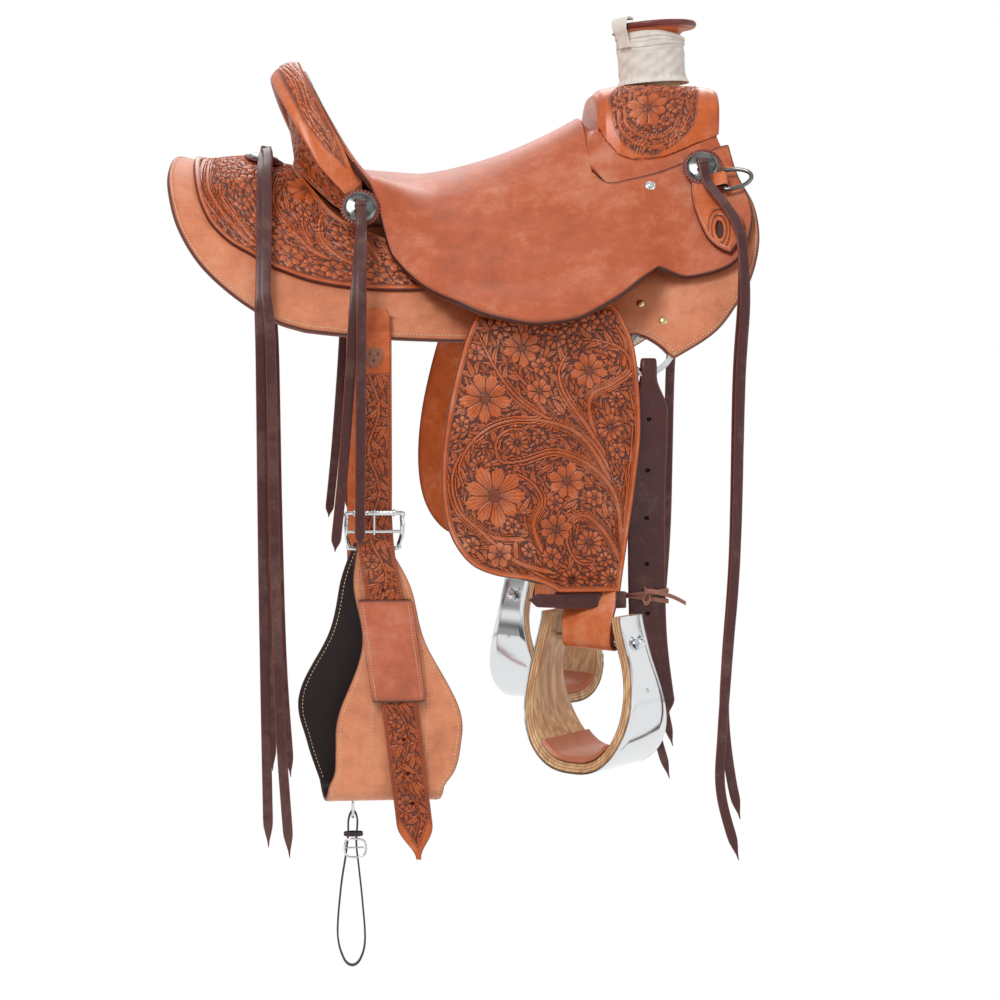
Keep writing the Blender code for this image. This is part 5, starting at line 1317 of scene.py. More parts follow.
# The cantle's back and its tooled roll
cantleBack = {"behind": 0.016, "below": 0.018, "rows": 60, "thick": 4 * mm, "lift": 1.8 * mm,
              "lipOut": 4.2 * mm, "lipUp": 3.8 * mm, "flowers": (-0.125, -0.07, 0.0, 0.07, 0.125)}
roll = {"columns": 420, "clear": 2.8 * mm, "slimEnd": 0.60, "drop": 0.030, "endInset": 0.022, "tooledRun": 0.034,
        "lip": ((0.0, 0.0105), (0.010, 0.0125), (0.022, 0.008), (0.032, -0.001), (0.036, -0.010),
                (0.031, -0.0155), (0.018, -0.0125), (0.004, -0.0005), (0.0015, 0.004)),
        "border": ((0.0, 0.012), (0.05, 0.0045), (-0.05, 0.0045), (0.0, 0.012), (-0.03, 0.024), (-0.08, 0.031),
                   (0.08, 0.031), (0.03, 0.024), (0.0, 0.012)),
        "atFarEnd": (0, 0, 1, 1, 1, 1, 0, 0, 0),
        "waves": ((0.0, 0.0180, 0.0040, 0.0), (0.006, 0.0110, 0.0030, 0.8), (0.006, 0.0250, 0.0030, 0.8),
                  (0.02, 0.0145, 0.0036, 1.5), (0.02, 0.0215, 0.0036, 1.5)),
        "leaves": 16, "leafStep": 0.0135, "bead": 0.0117}
def cantleLines(count):
    phi = np.radians(np.linspace(-84, 84, count))
    side = np.where(phi < 0, -1.0, 1.0)
    out = unit(vec(-1.0, -0.62 * np.sin(phi), 0.0))
    place = rimPlace(0.97, phi)
    rim = seatLay(place[:, 0], place[:, 1]) * vec(1.0, side, 1.0)
    place = rimPlace(0.985, phi)
    foot = overBars(place[:, 0], place[:, 1], 0.6 * mm) * vec(1.0, side, 1.0)
    place = rimPlace(0.95, phi)
    foot[:, 2] = np.maximum(foot[:, 2], overBars(place[:, 0], place[:, 1], 0.6 * mm)[:, 2]) + 1.0 * mm
    return phi, out, rim, foot


def makeCantleBack():
    form = cantleBack
    _, out, rim, foot = cantleLines(300)
    high = rim + out * form["behind"] - np.array((0, 0, form["below"]))
    share = np.linspace(0, 1, form["rows"])[None]
    v = share[..., None]
    lip = ease(0.86, 1.0, v)
    base = (high[:, None] * (1 - v) + foot[:, None] * v + out[:, None] * (form["lift"] + form["lipOut"] * lip)
            + np.array((0, 0, form["lipUp"])) * lip)
    along = runAlong(foot)
    down = share * np.linalg.norm(foot - high, axis=1)[:, None]
    flat = np.stack([np.broadcast_to(along[:, None], down.shape), down], -1)
    tool = Tooling(flat, rimOf(flat), 4 * mm, seed=11)
    middle = along[-1] / 2
    for shift in form["flowers"]:
        tool.flower((middle + shift, 0.030 - 0.10 * abs(shift)), 15 * mm - abs(shift) * 0.05, 8, shift)
    tool.fill(2.2 * mm)
    shape = panelShape(flat, base, np.broadcast_to(out[:, None], base.shape), form["thick"], relief=tool.relief)
    put("cantle_back", outward(shape), "tooled", nodes=["cantle_back"])


def toolRoll(flat, long):
    ends = (roll["endInset"], long - roll["endInset"])
    outline = np.array([(ends[end] + along, down) for end, (along, down) in zip(roll["atFarEnd"], roll["border"])])
    tool = Tooling(flat, outline, 0.2 * mm, seed=5)
    middle = long / 2
    tool.flower((middle, 0.018), 12 * mm, 8, 0.3)
    u = np.linspace(0, 1, 90)
    reach = middle - ends[0] - 0.014
    for hand in (1, -1):
        for start, high, wave, phase in roll["waves"]:
            run = np.stack([middle + hand * (0.011 + start + u * (reach - start)),
                            high + wave * np.sin(u * 11 + phase)], 1)
            tool.stroke(run, 1.5 * mm, "stem", hand)
    for hand in (1, -1):
        for k in range(roll["leaves"]):
            at = middle + hand * (0.016 + k * roll["leafStep"])
            for v, bend in ((0.0230, 1), (0.0130, -1)):
                tool.curl((at, v), 0.0 if hand > 0 else math.pi, 0.026, 0.2 * bend * hand, 1.1 * bend * hand,
                          2.3 * mm, "leaf" if k % 2 else "drop")
    tool.fill(1.3 * mm)
    return tool.relief(flat)


def makeCantleRoll():
    lip = closedRefine(roll["lip"], 12)
    _, out, rim, _ = cantleLines(roll["columns"])
    share = np.linspace(0, 1, len(rim))
    slim = (roll["slimEnd"] + 0.40 * ease(0, 0.10, np.minimum(share, 1 - share)))[:, None, None]
    grid = (rim[:, None] + out[:, None] * (lip[None, :, :1] * slim + roll["clear"])
            + np.array((0, 0, 1.0)) * (lip[None, :, 1:2] * slim - roll["drop"] * (1 - slim)))
    lipRun = runAlong(lip)
    along = runAlong(grid[:, 24])
    cut, dark = toolRoll(np.stack(np.broadcast_arrays(along[:, None], lipRun[None]), -1), along[-1])
    normal = unit(np.cross(np.gradient(grid, axis=0), np.roll(grid, -1, 1) - np.roll(grid, 1, 1)))
    if ((grid - grid.mean(1, keepdims=True)) * normal).sum() < 0:
        normal = -normal
    inside = (lipRun < roll["tooledRun"])[None]
    grid = grid + normal * np.where(inside, cut * 0.8 - 0.1 * mm, -0.1 * mm)[..., None]
    # the edge colour covers the roll's whole inner underside: painted shade where the roll sits against the cantle
    edge = np.broadcast_to(ease(0.066, 0.074, lipRun) * (1 - ease(0.09, 0.10, lipRun)), dark.shape)
    shape = loftShape(grid, marks={"recess": np.where(inside, dark * 0.85, 0.0), "edge": edge})
    put("cantle_roll", shape, "tooled", nodes=["cantle_roll"], sharp=70)
    bead = rim + out * (1.0 * mm + 2.8 * mm) + np.array((0, 0, roll["bead"]))
    beadRow("cantle_beads", [bead[14:-14]], 3.1 * mm, (2.2 * mm, 2.2 * mm, 2.6 * mm), "tooled")


makeCantleBack()
makeCantleRoll()
print("seat and cantle made")


# The fork's tooled cover

forkForm = {"rear": 0.164, "front": 0.302, "top": 0.169, "half": 0.112, "gullet": 0.066, "gulletTop": 0.118,
            "spread": 0.006, "clear": 3.6 * mm, "thick": 4.2 * mm, "power": 0.62, "crop": (580, 10),
            "scale": 6.16,
            "tooled": ((205, 620), (225, 730), (290, 835), (380, 880), (500, 868), (620, 795), (700, 690),
                       (716, 560), (714, 455), (600, 447), (420, 452), (270, 470), (190, 540), (205, 620)),
            "flowers": (((415, 600), 30, 8, 0.1), ((645, 520), 12, 12, 0.1), ((640, 770), 9, 6, 0.1),
                        ((240, 560), 9, 6, 0.4)),
            "stems": (((235, 600), (255, 740), (370, 830), (520, 820), (640, 720), (690, 580)),
                      ((270, 560), (285, 700), (400, 780), (530, 770), (620, 680)),
                      ((300, 800), (420, 850), (540, 835), (640, 760)), ((250, 500), (225, 620), (240, 720))),
            "border": ((75, 600), (110, 730), (150, 800), (230, 890), (320, 918), (420, 918), (520, 905),
                       (600, 880), (745, 815))}
apron = {"thick": 1.8 * mm, "sunk": 2.1 * mm, "rear": 0.139, "corner": 0.165, "front": 0.322, "side": 0.134,
         "along": 0.45, "down": 0.66}


def archLine(halfWidth, foot, top, power, a, spread=0.0):
    low = (1 - np.sin(a)) ** 3
    cosA = np.cos(a)
    y = -np.copysign(np.abs(cosA) ** power, cosA) * (halfWidth + spread * low)
    return y, foot + (top - foot) * np.maximum(np.sin(a), 0) ** power


def barTop(x, y):
    low = np.zeros_like(x)
    high = low + 0.25
    for _ in range(24):
        s = (low + high) / 2
        nearer = -overBars(x, s)[..., 1] < y
        low = np.where(nearer, s, low)
        high = np.where(nearer, high, s)
    return overBars(x, low)[..., 2]


def forkGrids(grow, t, a, deeper):
    form = forkForm
    a = a if a.ndim == 2 else a[None]
    size = np.interp(t, (0.0, 0.05, 0.16, 0.35, 0.70, 0.88, 0.97, 1.0),
                     (0.80, 0.91, 0.975, 1.0, 1.0, 0.975, 0.92, 0.86))
    x = mix(form["rear"] - grow, form["front"] + grow, t)
    wide = form["half"] * mix(1, size, 0.8)
    foot = (barTop(x, wide + form["spread"]) + form["clear"])[:, None]
    gulletFoot = (barTop(x, form["gullet"] + 0 * x) + form["clear"])[:, None]
    top = mix(foot[:, 0], form["top"], mix(1, size, 0.5))[:, None] + grow
    found = []
    for y, z in (archLine(wide[:, None] + grow, foot, top, form["power"], a, form["spread"]),
                 archLine(form["gullet"] - grow + 0 * wide[:, None], gulletFoot, form["gulletTop"] - grow,
                          form["power"], a)):
        z = z.copy()
        z[:, 0] -= deeper
        z[:, -1] -= deeper
        found.append(np.stack([x[:, None] + (0.008 * t)[:, None] * (z - foot) / 0.1, y, z], -1))
    return found


def makeApron(t, border):
    a = border[:, None] + np.array((0.0, 0.01))
    outer = forkGrids(forkForm["thick"] - 2.2 * mm, t, a, 0.0)[0][:, 0]
    y = np.linspace(0, outer[0, 1], 41)[:-1]
    rear = vec(outer[0, 0] - 2.0 * mm, y, outer[0, 2])
    upper = np.vstack([rear, outer])
    count = len(upper)
    smooth = np.concatenate([np.repeat(upper[:1], 6, 0), upper, np.repeat(upper[-1:], 6, 0)])
    upper = sum(smooth[k:k + count] for k in range(13)) / 13
    turn = ease(0, 0.12, t)
    x = np.concatenate([np.full(40, apron["rear"]),
                        mix(apron["rear"], apron["corner"], turn) + (apron["front"] - apron["corner"]) * t])
    s = np.maximum(np.abs(y), 1e-4)
    s = np.concatenate([s, mix(s[39], apron["side"], turn)])
    lower = seatTop(x, s, -apron["sunk"])
    v = np.linspace(0, 1, 34)[None, :, None]
    knee = upper * (1 - apron["along"]) + lower * apron["along"]
    knee[:, 2] = mix(upper[:, 2], lower[:, 2], apron["down"])
    grid = upper[:, None] * (1 - v) ** 2 + 2 * knee[:, None] * v * (1 - v) + lower[:, None] * v ** 2
    normal = unit(np.cross(np.gradient(grid, axis=0), np.gradient(grid, axis=1)))
    if normal[count // 2, 10, 1] > 0:
        normal = -normal
    flat = np.stack(np.broadcast_arrays(runAlong(upper)[:, None], runAcross(grid)), -1)
    points, faces, marks = outward(panelShape(flat, grid, normal, apron["thick"], burn=0.7 * mm))
    marks["edge"] = np.zeros(len(points))
    putBoth("fork_apron", (points, faces, marks), "seat")


def toolFork(flat, find):
    line = find(forkForm["tooled"])
    tool = Tooling(flat, np.vstack([through(line, 70), line[-1:]]), 0.2 * mm, seed=9)
    for at, radius, petals, turn in forkForm["flowers"]:
        tool.flower(find(at)[0], radius * mm, petals, turn)
    stems = [through(find(stem), 50) for stem in forkForm["stems"]]
    for stem in stems:
        tool.stroke(stem, 2.3 * mm)
    for stem in stems:
        tool.leaves(stem, 9 * mm, 16 * mm, 2.8 * mm)
    tool.fill(1.4 * mm)
    return tool.relief(flat)


def aroundFork(outer, gullet):
    gullet = gullet[::16][::-1]
    faces = [[mix(a, b, w) for w in (0.33, 0.66)] for a, b in ((outer[-1:], gullet[:1]), (gullet[-1:], outer[:1]))]
    return np.concatenate([outer, *faces[0], gullet, *faces[1]]).transpose(1, 0, 2)


def makeForkCover():
    a = np.concatenate([np.linspace(0, 0.06, 6)[:-1], np.linspace(0.06, math.pi - 0.06, 230),
                        np.linspace(math.pi - 0.06, math.pi, 6)[1:]])
    t = np.concatenate([np.linspace(0, 0.05, 8)[:-1], np.linspace(0.05, 0.95, 128), np.linspace(0.95, 1, 8)[1:]])
    outer, gullet = forkGrids(forkForm["thick"], t, a, 1.0 * mm)
    arc = runAcross(outer)
    flatArc = np.minimum(arc, arc[:, -1:] - arc)
    flat = np.stack([outer[..., 0], flatArc], -1)
    half = len(a) // 2
    cut, dark = toolFork(flat, pixelFinder(flat[:, :half], outer[:, :half], forkForm["crop"], forkForm["scale"]))
    normal = unit(np.cross(np.gradient(outer, axis=0), np.gradient(outer, axis=1)))
    if normal[len(t) // 2, len(a) // 2, 2] < 0:
        normal = -normal
    places = np.stack(np.meshgrid(t, a[:half], indexing="ij"), -1)
    spots = pixelFinder(places, outer[:, :half], forkForm["crop"], forkForm["scale"])(forkForm["border"])
    spots = spots[np.argsort(spots[:, 0])]
    border = np.interp(t, spots[:, 0], spots[:, 1])
    borderArc = np.stack([np.interp(b, a, row) for b, row in zip(border, arc)])[:, None]
    covered = np.minimum(a, math.pi - a)[None] < border[:, None]
    dark = np.where(covered, 0.0, dark)
    rim = np.exp(-((flatArc - borderArc - 0.6 * mm) / (0.8 * mm)) ** 2)
    makeApron(t, border)
    outer = outer + normal * (np.where(covered, -2.9 * mm, cut) - 0.05 * mm)[..., None]
    loop, inner = aroundFork(outer, gullet), aroundFork(*forkGrids(2 * gap, t, a, 1.0 * mm))
    count, around = loop.shape[:2]
    faces = gridFaces(count, around, 0, True) + gridFaces(count, around, count * around, True, True)
    for row, turned in ((0, False), (count - 1, True)):
        for i in range(around):
            p, q = row * around + i, row * around + (i + 1) % around
            quad = [q, p, p + count * around, q + count * around]
            faces.append(quad[::-1] if turned else quad)
    plain = np.zeros((around - len(t), count))
    marks = {key: np.concatenate([np.vstack([values, plain]).T.reshape(-1), np.zeros(count * around)])
             for key, values in (("recess", dark), ("edge", rim))}
    points = np.concatenate([loop.reshape(-1, 3), inner.reshape(-1, 3)])
    put("fork_cover", outward((points, faces, marks)), "tooled", nodes=["fork_cover"])


makeForkCover()


# The horn: its soft wrap and its cap

horn = {"at": (0.2415, 0.0, 0.1752), "foot": 0.035, "wrap": 0.0435, "cap": 0.0525, "tall": 0.070, "thick": 0.0095,
        "ahead": 0.008, "lean": math.radians(-4), "steps": 96,
        "laps": ((0.0605, 0.8), (0.0555, 1.0), (0.0490, 0.6), (0.0440, 0.35)),
        "neck": ((0.0344 + 0.8 * mm, 0.052), (0.0348 + 0.8 * mm, 0.058), (0.0400, 0.0640), (0.0480, 0.0694),
                 (0.0300, 0.0696), (0.0300, 0.052)),
        "tailAt": 0.62,
        "tail": ((0.0450, 0.0480), (0.0458, 0.0560), (0.0475, 0.0640), (0.0500, 0.0705), (0.0500, 0.0775),
                 (0.0480, 0.0835), (0.0430, 0.0850), (0.0360, 0.0838))}
hornAxes = np.array(((math.cos(horn["lean"]), 0, -math.sin(horn["lean"])), (0, 1, 0),
                     (math.sin(horn["lean"]), 0, math.cos(horn["lean"]))))


def makeHornWrap():
    bore = horn["foot"] + 0.8 * mm
    top = horn["tall"] - 0.003
    h = np.linspace(top, 0.0015, 110)
    lap = sum(np.exp(-((h - at) / (0.55 * mm)) ** 2) * deep for at, deep in horn["laps"])
    step = 0.0007 * (ease(0.0600, 0.0610, h) - ease(0.0550, 0.0560, h) + ease(0.0485, 0.0495, h))
    waist = 0.0013 * ease(0.03, 0.066, h) + 0.0040 * (1 - ease(0.001, 0.012, h)) ** 1.5
    r = horn["wrap"] - 0.0010 + step + waist - 0.0006 * lap
    r[:3] -= np.array((0.0016, 0.0006, 0.0001))
    # darker lines where each lap overlaps the next: painted shade in the creases
    dark = 0.55 * lap
    profile = np.vstack([[(bore, top)], np.stack([r, h], 1), [(bore, 0.0015)]])

    def tilt(radius, height, a):
        slip = 0.0022 * np.sin(a + 0.6) + 0.0007 * np.sin(3 * a + height * 90)
        high = ease(0.012, 0.050, height)
        fluff = 1 - ease(0.004, 0.020, height)
        wave = 0.0004 * np.sin(a * 5 + height * 260) + 0.0003 * np.sin(a * 11 - height * 410)
        wave = wave + fluff * (0.0009 * np.sin(a * 17) * np.sin(a * 7 + 1) + 0.0006 * np.sin(a * 29))
        ahead = 0.0095 * np.clip(np.cos(a), 0, 1) ** 1.3 * ease(0.045, 0.066, height)
        height = height + slip * high * (1 - ease(0.060, 0.067, height)) - ahead
        return np.where(radius > bore + 1e-4, radius + wave, radius), height
    shape = turnedShape(profile, horn["steps"], horn["at"], hornAxes, {"recess": np.r_[0, dark * 0.8, 0]}, tilt,
                        True)
    put("horn_wrap", shape, "suede", nodes=["horn_wrap"], sharp=80)


def makeHornCap():
    low = horn["tall"]
    high = low + horn["thick"]
    edge = horn["cap"] - 0.003
    cap = ((0.0, high + 0.0015), (0.012, high + 0.0014), (0.030, high + 0.001), (0.043, high),
           (edge, high - 0.0013), (edge + 0.0018, high - 0.0026), (horn["cap"], low + 0.0055),
           (horn["cap"] - 0.0002, low + 0.0028), (edge + 0.0014, low + 0.0008), (edge - 0.001, low),
           (0.030, low), (0.0, low))
    fine = refine(cap, (0, len(cap) - 1), 4)
    under = (np.arange(len(fine)) > 4 * 8.6).astype(float)
    centre = np.array(horn["at"]) + hornAxes[0] * horn["ahead"]
    put("horn_cap", turnedShape(fine, 72, centre, hornAxes, {"recess": under}), "cap", nodes=["horn_cap"])
    neck = refine(horn["neck"], (0, 3, 5), 5)
    neck = np.vstack([[(0.0, 0.052)], neck[:16], [(0.0, 0.0696)]])
    put("horn_neck", turnedShape(neck[::-1], 72, horn["at"], hornAxes), "plain")


def makeWrapTail():
    turn = horn["tailAt"]
    toward = np.array((-math.cos(turn), -math.sin(turn), 0))
    aside = np.array((math.sin(turn), -math.cos(turn), 0))
    path = through([np.array(horn["at"]) + hornAxes.T @ (toward * r + np.array((0, 0, z)) - aside * 0.004 * i / 7)
                    for i, (r, z) in enumerate(horn["tail"])], 44)
    side = hornAxes.T @ aside
    t = np.linspace(0, 1, 45)
    # the wrinkle troughs are darkened: painted shade in the folds
    shape = strapShape(path, side, np.cross(tangents(path), side), 0.020 + 0.007 * ease(0.1, 0.7, t), 3.0 * mm, 31,
                       lambda a, q: (0.8 * mm * np.sin(q * 330 + a * 60) + 0.5 * mm * np.sin(q * 130 - a * 120),
                                     0.3 * np.clip(np.sin(q * 330 + a * 60 + 3), 0, 1) ** 2))
    put("horn_wrap_tail", shape, "suede", sharp=80)


makeHornWrap()
makeHornCap()
makeWrapTail()
print("fork and horn made")


# Stirrup leathers and hobble straps

bolt = np.array((0.131, -0.262, -0.502))
stirrupTurn = math.radians(-42)
turnAxes = np.array(((math.cos(stirrupTurn), math.sin(stirrupTurn), 0),
                     (-math.sin(stirrupTurn), math.cos(stirrupTurn), 0), (0, 0, 1.0)))
leatherForm = {"thick": 3.6 * mm, "width": 0.070, "sleeve": 8.0 * mm,
               "hang": ((hangX, -0.2420, -0.130), (0.115, -0.2440, -0.30), (0.127, -0.2500, -0.43),
                        (0.130, -0.2525, -0.465))}
hobble = {"at": (0.1305, -0.2519, -0.4570), "half": 0.0405 + 1.3 * mm, "deep": 0.0060 + 1.3 * mm, "width": 0.019,
          "thick": 2.6 * mm, "line": 6.8 * mm,
          "tail": ((0.100, -0.2600, -0.4570), (0.084, -0.2606, -0.4568), (0.066, -0.2594, -0.4560),
                   (0.056, -0.2588, -0.4556))}


def makeStirrupLeathers():
    hang = through(leatherForm["hang"], 60)
    reach = leatherForm["sleeve"] + leatherForm["thick"] / 2 + 0.7 * mm
    turned = [(reach, 0.020), (reach, 0.008)]
    turned += [(reach * math.cos(math.pi * k / 12), -reach * math.sin(math.pi * k / 12)) for k in range(13)]
    turned += [(-reach, 0.012), (-reach, 0.018)]
    wide = turnAxes[0]
    face = -turnAxes[1]
    loop = np.array([bolt + face * o + np.array((0, 0, u)) for o, u in turned])
    path = np.vstack([hang, loop])
    turnBack = np.clip((np.arange(len(path)) - 50) / 12.0, 0, 1)[:, None]
    across = unit(np.tile((1.0, 0, 0), (len(path), 1)) * (1 - turnBack) + wide * turnBack)
    out = np.cross(tangents(path), across)
    shape = strapShape(path, across, out, leatherForm["width"], leatherForm["thick"], 25)
    putBoth("stirrup_leather", shape, "plain", "fender", ["stirrup_leather"])


def makeHobbles():
    centre = np.array(hobble["at"])
    cosA, sinA = squared(circle(120), 0.45)
    ring = centre + vec(hobble["half"] * cosA, hobble["deep"] * sinA, 0)
    up = np.array((0, 0, 1.0))
    out = unit(np.cross(tangents(ring, True), up))
    if ((ring - centre) * out).sum() < 0:
        out = -out

    def lines(t, q):
        line = np.exp(-((np.abs(q) - hobble["line"]) / (0.4 * mm)) ** 2)
        return -0.3 * mm * line, 0.7 * line
    strap = strapShape(ring, up, out, hobble["width"], hobble["thick"], 13, lines, True)
    putBoth("hobble_strap", strap, "strap", "fender", ["hobble_strap"])
    tail = through(hobble["tail"], 30)
    out = np.cross(up, tangents(tail))
    width = 0.0165 * (1 - 0.9 * ease(0.74, 1.0, np.linspace(0, 1, 31)))
    putBoth("hobble_tail", strapShape(tail, up, -out, width, 2.3 * mm, 9), "strap", "fender")


makeStirrupLeathers()
makeHobbles()


# Stirrups: laminated wood, a steel band outside and a leather tread inside

stirrup = {"topHalf": 0.043, "wideHalf": 0.086, "ahead": 0.007, "drop": 0.140, "rise": 0.030, "wood": 12 * mm,
           "band": 1.8 * mm, "tread": 5 * mm, "reach": 0.0670, "topDepth": 0.023, "footDepth": 0.048,
           "studs": ((0.075, -0.35), (0.075, 0.35), (0.20, 0.0), (0.925, -0.35), (0.925, 0.35), (0.80, 0.0)),
           "stud": ((0, 1.5), (1.6, 1.3), (2.8, 0.7), (3.3, 0.0), (0, -0.3)),
           "nut": ((0, 4.4), (1.8, 4.1), (3.4, 2.9), (4.2, 1.2), (5.4, 0.6), (5.6, -0.3), (0, -0.5))}


def stirrupLine(count):
    s = stirrup
    a = np.linspace(0, math.pi, count + 1)
    side, deep = -np.cos(a), np.maximum(np.sin(a), 0)
    wide = mix(s["topHalf"], s["wideHalf"], ease(0, 0.92, deep))
    across = np.copysign(np.abs(side) ** 0.72, side) * wide + s["ahead"] * ease(0.3, 1.0, deep)
    up = s["rise"] - (s["rise"] + s["drop"]) * deep ** 1.25
    line = vec(across, 0.0, up)
    line[0] = 2 * line[1] - line[2]
    line[-1] = 2 * line[-2] - line[-3]
    ahead = np.gradient(line, axis=0)
    out = unit(vec(ahead[:, 2], 0.0, -ahead[:, 0]))
    flip = (out * (line + (0, 0, 0.06))).sum(1) < 0
    out[flip] *= -1
    return line, out, deep


def stirrupDepth(deep):
    return mix(stirrup["topDepth"], stirrup["footDepth"], ease(0.35, 1.0, deep))


def stirrupShape(inside, thick, first, last, bevel, extra=0.0, around=7):
    line, out, deep = stirrupLine(220)
    share = np.linspace(0, 1, 221)
    keep = (share >= first) & (share <= last)
    line, out, deep = line[keep], out[keep], deep[keep]
    half = stirrupDepth(deep) + extra
    flare = 0.004 * ease(0.6, 1.0, deep)
    corner = ((0.0, 1.0), (0.29, 0.29), (1.0, 0.0))
    sides = np.linspace(-1, 1, around)[1:-1]
    steps = (0.2, 0.35, 0.5, 0.65, 0.8)
    loop = [(-half + bevel * x, bevel * y) for x, y in corner]
    loop += [((half - bevel) * s, 0.0) for s in sides]
    loop += [(half - bevel * x, bevel * y) for x, y in corner[::-1]]
    loop += [(half + flare * w, thick * w) for w in steps]
    loop += [(half + flare - bevel * x, thick - bevel * y) for x, y in corner]
    loop += [((half + flare - bevel) * s, thick) for s in sides[::-1]]
    loop += [(-half - flare + bevel * x, thick - bevel * y) for x, y in corner[::-1]]
    loop += [(-half - flare * w, thick * w) for w in steps[::-1]]
    levels = np.array([np.full(len(half), level) for b, level in loop])
    local = np.stack([line + out * (inside + level)[:, None] + vec(0, 1.0, 0) * b[:, None]
                      for (b, _), level in zip(loop, levels)], 1)
    return loftShape(bolt + local @ turnAxes, marks={"layer": levels.T / thick})


def makeStirrups():
    putBoth("stirrup_wood", stirrupShape(0, stirrup["wood"], 0, 1, 1.5 * mm), "wood", "stirrup", ["stirrup_wood"])
    band = stirrupShape(stirrup["wood"] + gap, stirrup["band"], 0, 1, 0.6 * mm)
    putBoth("stirrup_band", band, "steel", "stirrup", ["stirrup_band"])
    tread = stirrupShape(-stirrup["tread"] - gap, stirrup["tread"], 0.36, 0.64, 1.4 * mm, -0.5 * mm, 11)
    putBoth("stirrup_tread", tread, "tread", "stirrup", ["stirrup_tread"])
    line, out, deep = stirrupLine(220)
    parts = []
    for share, side in stirrup["studs"]:
        i = int(share * 220)
        at = line[i] + out[i] * (stirrup["wood"] + gap + stirrup["band"] - 0.2 * mm)
        at = at + np.array((0, side * stirrupDepth(deep[i]), 0))
        parts.append(turnedShape(np.array(stirrup["stud"]) * mm, 18, bolt + at @ turnAxes,
                                 axes(out[i] @ turnAxes, (0, 0, 1))))
    for hand in (1, -1):
        at = bolt + turnAxes[0] * hand * (stirrup["reach"] + 4.2 * mm)
        parts.append(turnedShape(np.array(stirrup["nut"]) * mm, 24, at, axes(turnAxes[0] * hand, (0, 0, 1))))
    putBoth("stirrup_studs", joined(*parts), "chrome", "stirrup")


makeStirrups()
print("stirrups made")


# Rigging rings, billets and the flank cinch

rig = {"x": 0.2045, "s": 0.3205, "lift": 15.7 * mm, "radius": 0.0275, "band": 7.6 * mm, "thick": 3.4 * mm,
       "corner": ((-1, -0.6), (-0.86, -1), (0.86, -1), (1, -0.6), (1, 0.6), (0.86, 1), (-0.86, 1), (-1, 0.6))}
offBillet = {"x": 0.200, "width": 0.045, "thick": 4.5 * mm, "fold": 8.0 * mm, "line": 18.5 * mm,
             "foot": ((-0.0040, -0.060, 0.0), (-0.0012, -0.092, 0.0), (0.0100, -0.135, 0.0), (0.0170, -0.185, 0.001),
                      (0.0180, -0.260, 0.002), (0.0180, -0.320, 0.0045), (0.0180, -0.375, 0.011),
                      (0.0180, -0.4216, 0.0185)),
             "holes": (-0.243, -0.303, -0.361, -0.417, -0.477)}
lace = {"z": -0.452, "width": 0.0255, "deep": 0.0042,
        "knot": ((-0.004, -0.0055, 0.006), (0.0015, -0.0085, 0.001), (0.002, -0.0075, -0.008),
                 (-0.003, -0.0070, -0.012), (-0.006, -0.0080, -0.004), (-0.001, -0.0100, 0.003),
                 (0.010, -0.0080, 0.002), (0.030, -0.0070, -0.004), (0.046, -0.0075, -0.012))}
rearBillet = {"x": -0.1255, "width": 0.043, "thick": 4.5 * mm, "y": -0.2405, "foot": -0.768, "tie": -0.172,
              "tooledFrom": -0.185, "holes": (-0.445, -0.490, -0.623, -0.664, -0.700),
              "knot": ((-0.001, 0.0035, -0.008), (0.006, 0.0045, 0.000), (0.0085, 0.0042, 0.008),
                       (0.0045, 0.0040, 0.012), (-0.001, 0.0050, 0.006), (-0.006, 0.0042, -0.004))}
cinch = {"thick": 4.6 * mm, "front": rearBillet["y"] + 8.0 * mm, "depth": 0.056, "fold": -0.682, "heel": -0.396,
         "rows": 60, "loop": 6.6 * mm,
         "half": ((0.0, 0.020), (0.16, 0.034), (0.40, 0.038), (0.68, 0.072), (0.84, 0.0745), (1.0, 0.069)),
         "far": ((0.0, -0.002), (0.20, -0.006), (0.56, -0.024), (0.80, -0.008), (1.0, 0.004)),
         "near": ((0.0, 0.0), (0.50, 0.028), (0.88, 0.027), (1.0, 0.014))}
keeper = {"foot": -0.5775, "top": -0.4555, "rows": 40, "inner": (0.0285, 0.0028), "outer": (0.0320, 0.0052)}


def makeRigging():
    a = circle(96)
    sections = []
    for half, rise in rig["corner"]:
        r = rig["radius"] + half * rig["band"] / 2
        sections.append(onBack(rig["x"] + r * np.cos(a), rig["s"] + r * np.sin(a),
                               rig["lift"] + rise * rig["thick"] / 2))
    putBoth("rigging_ring", loftShape(np.stack(sections, 1), ring=True), "chrome", nodes=["rigging_ring"])


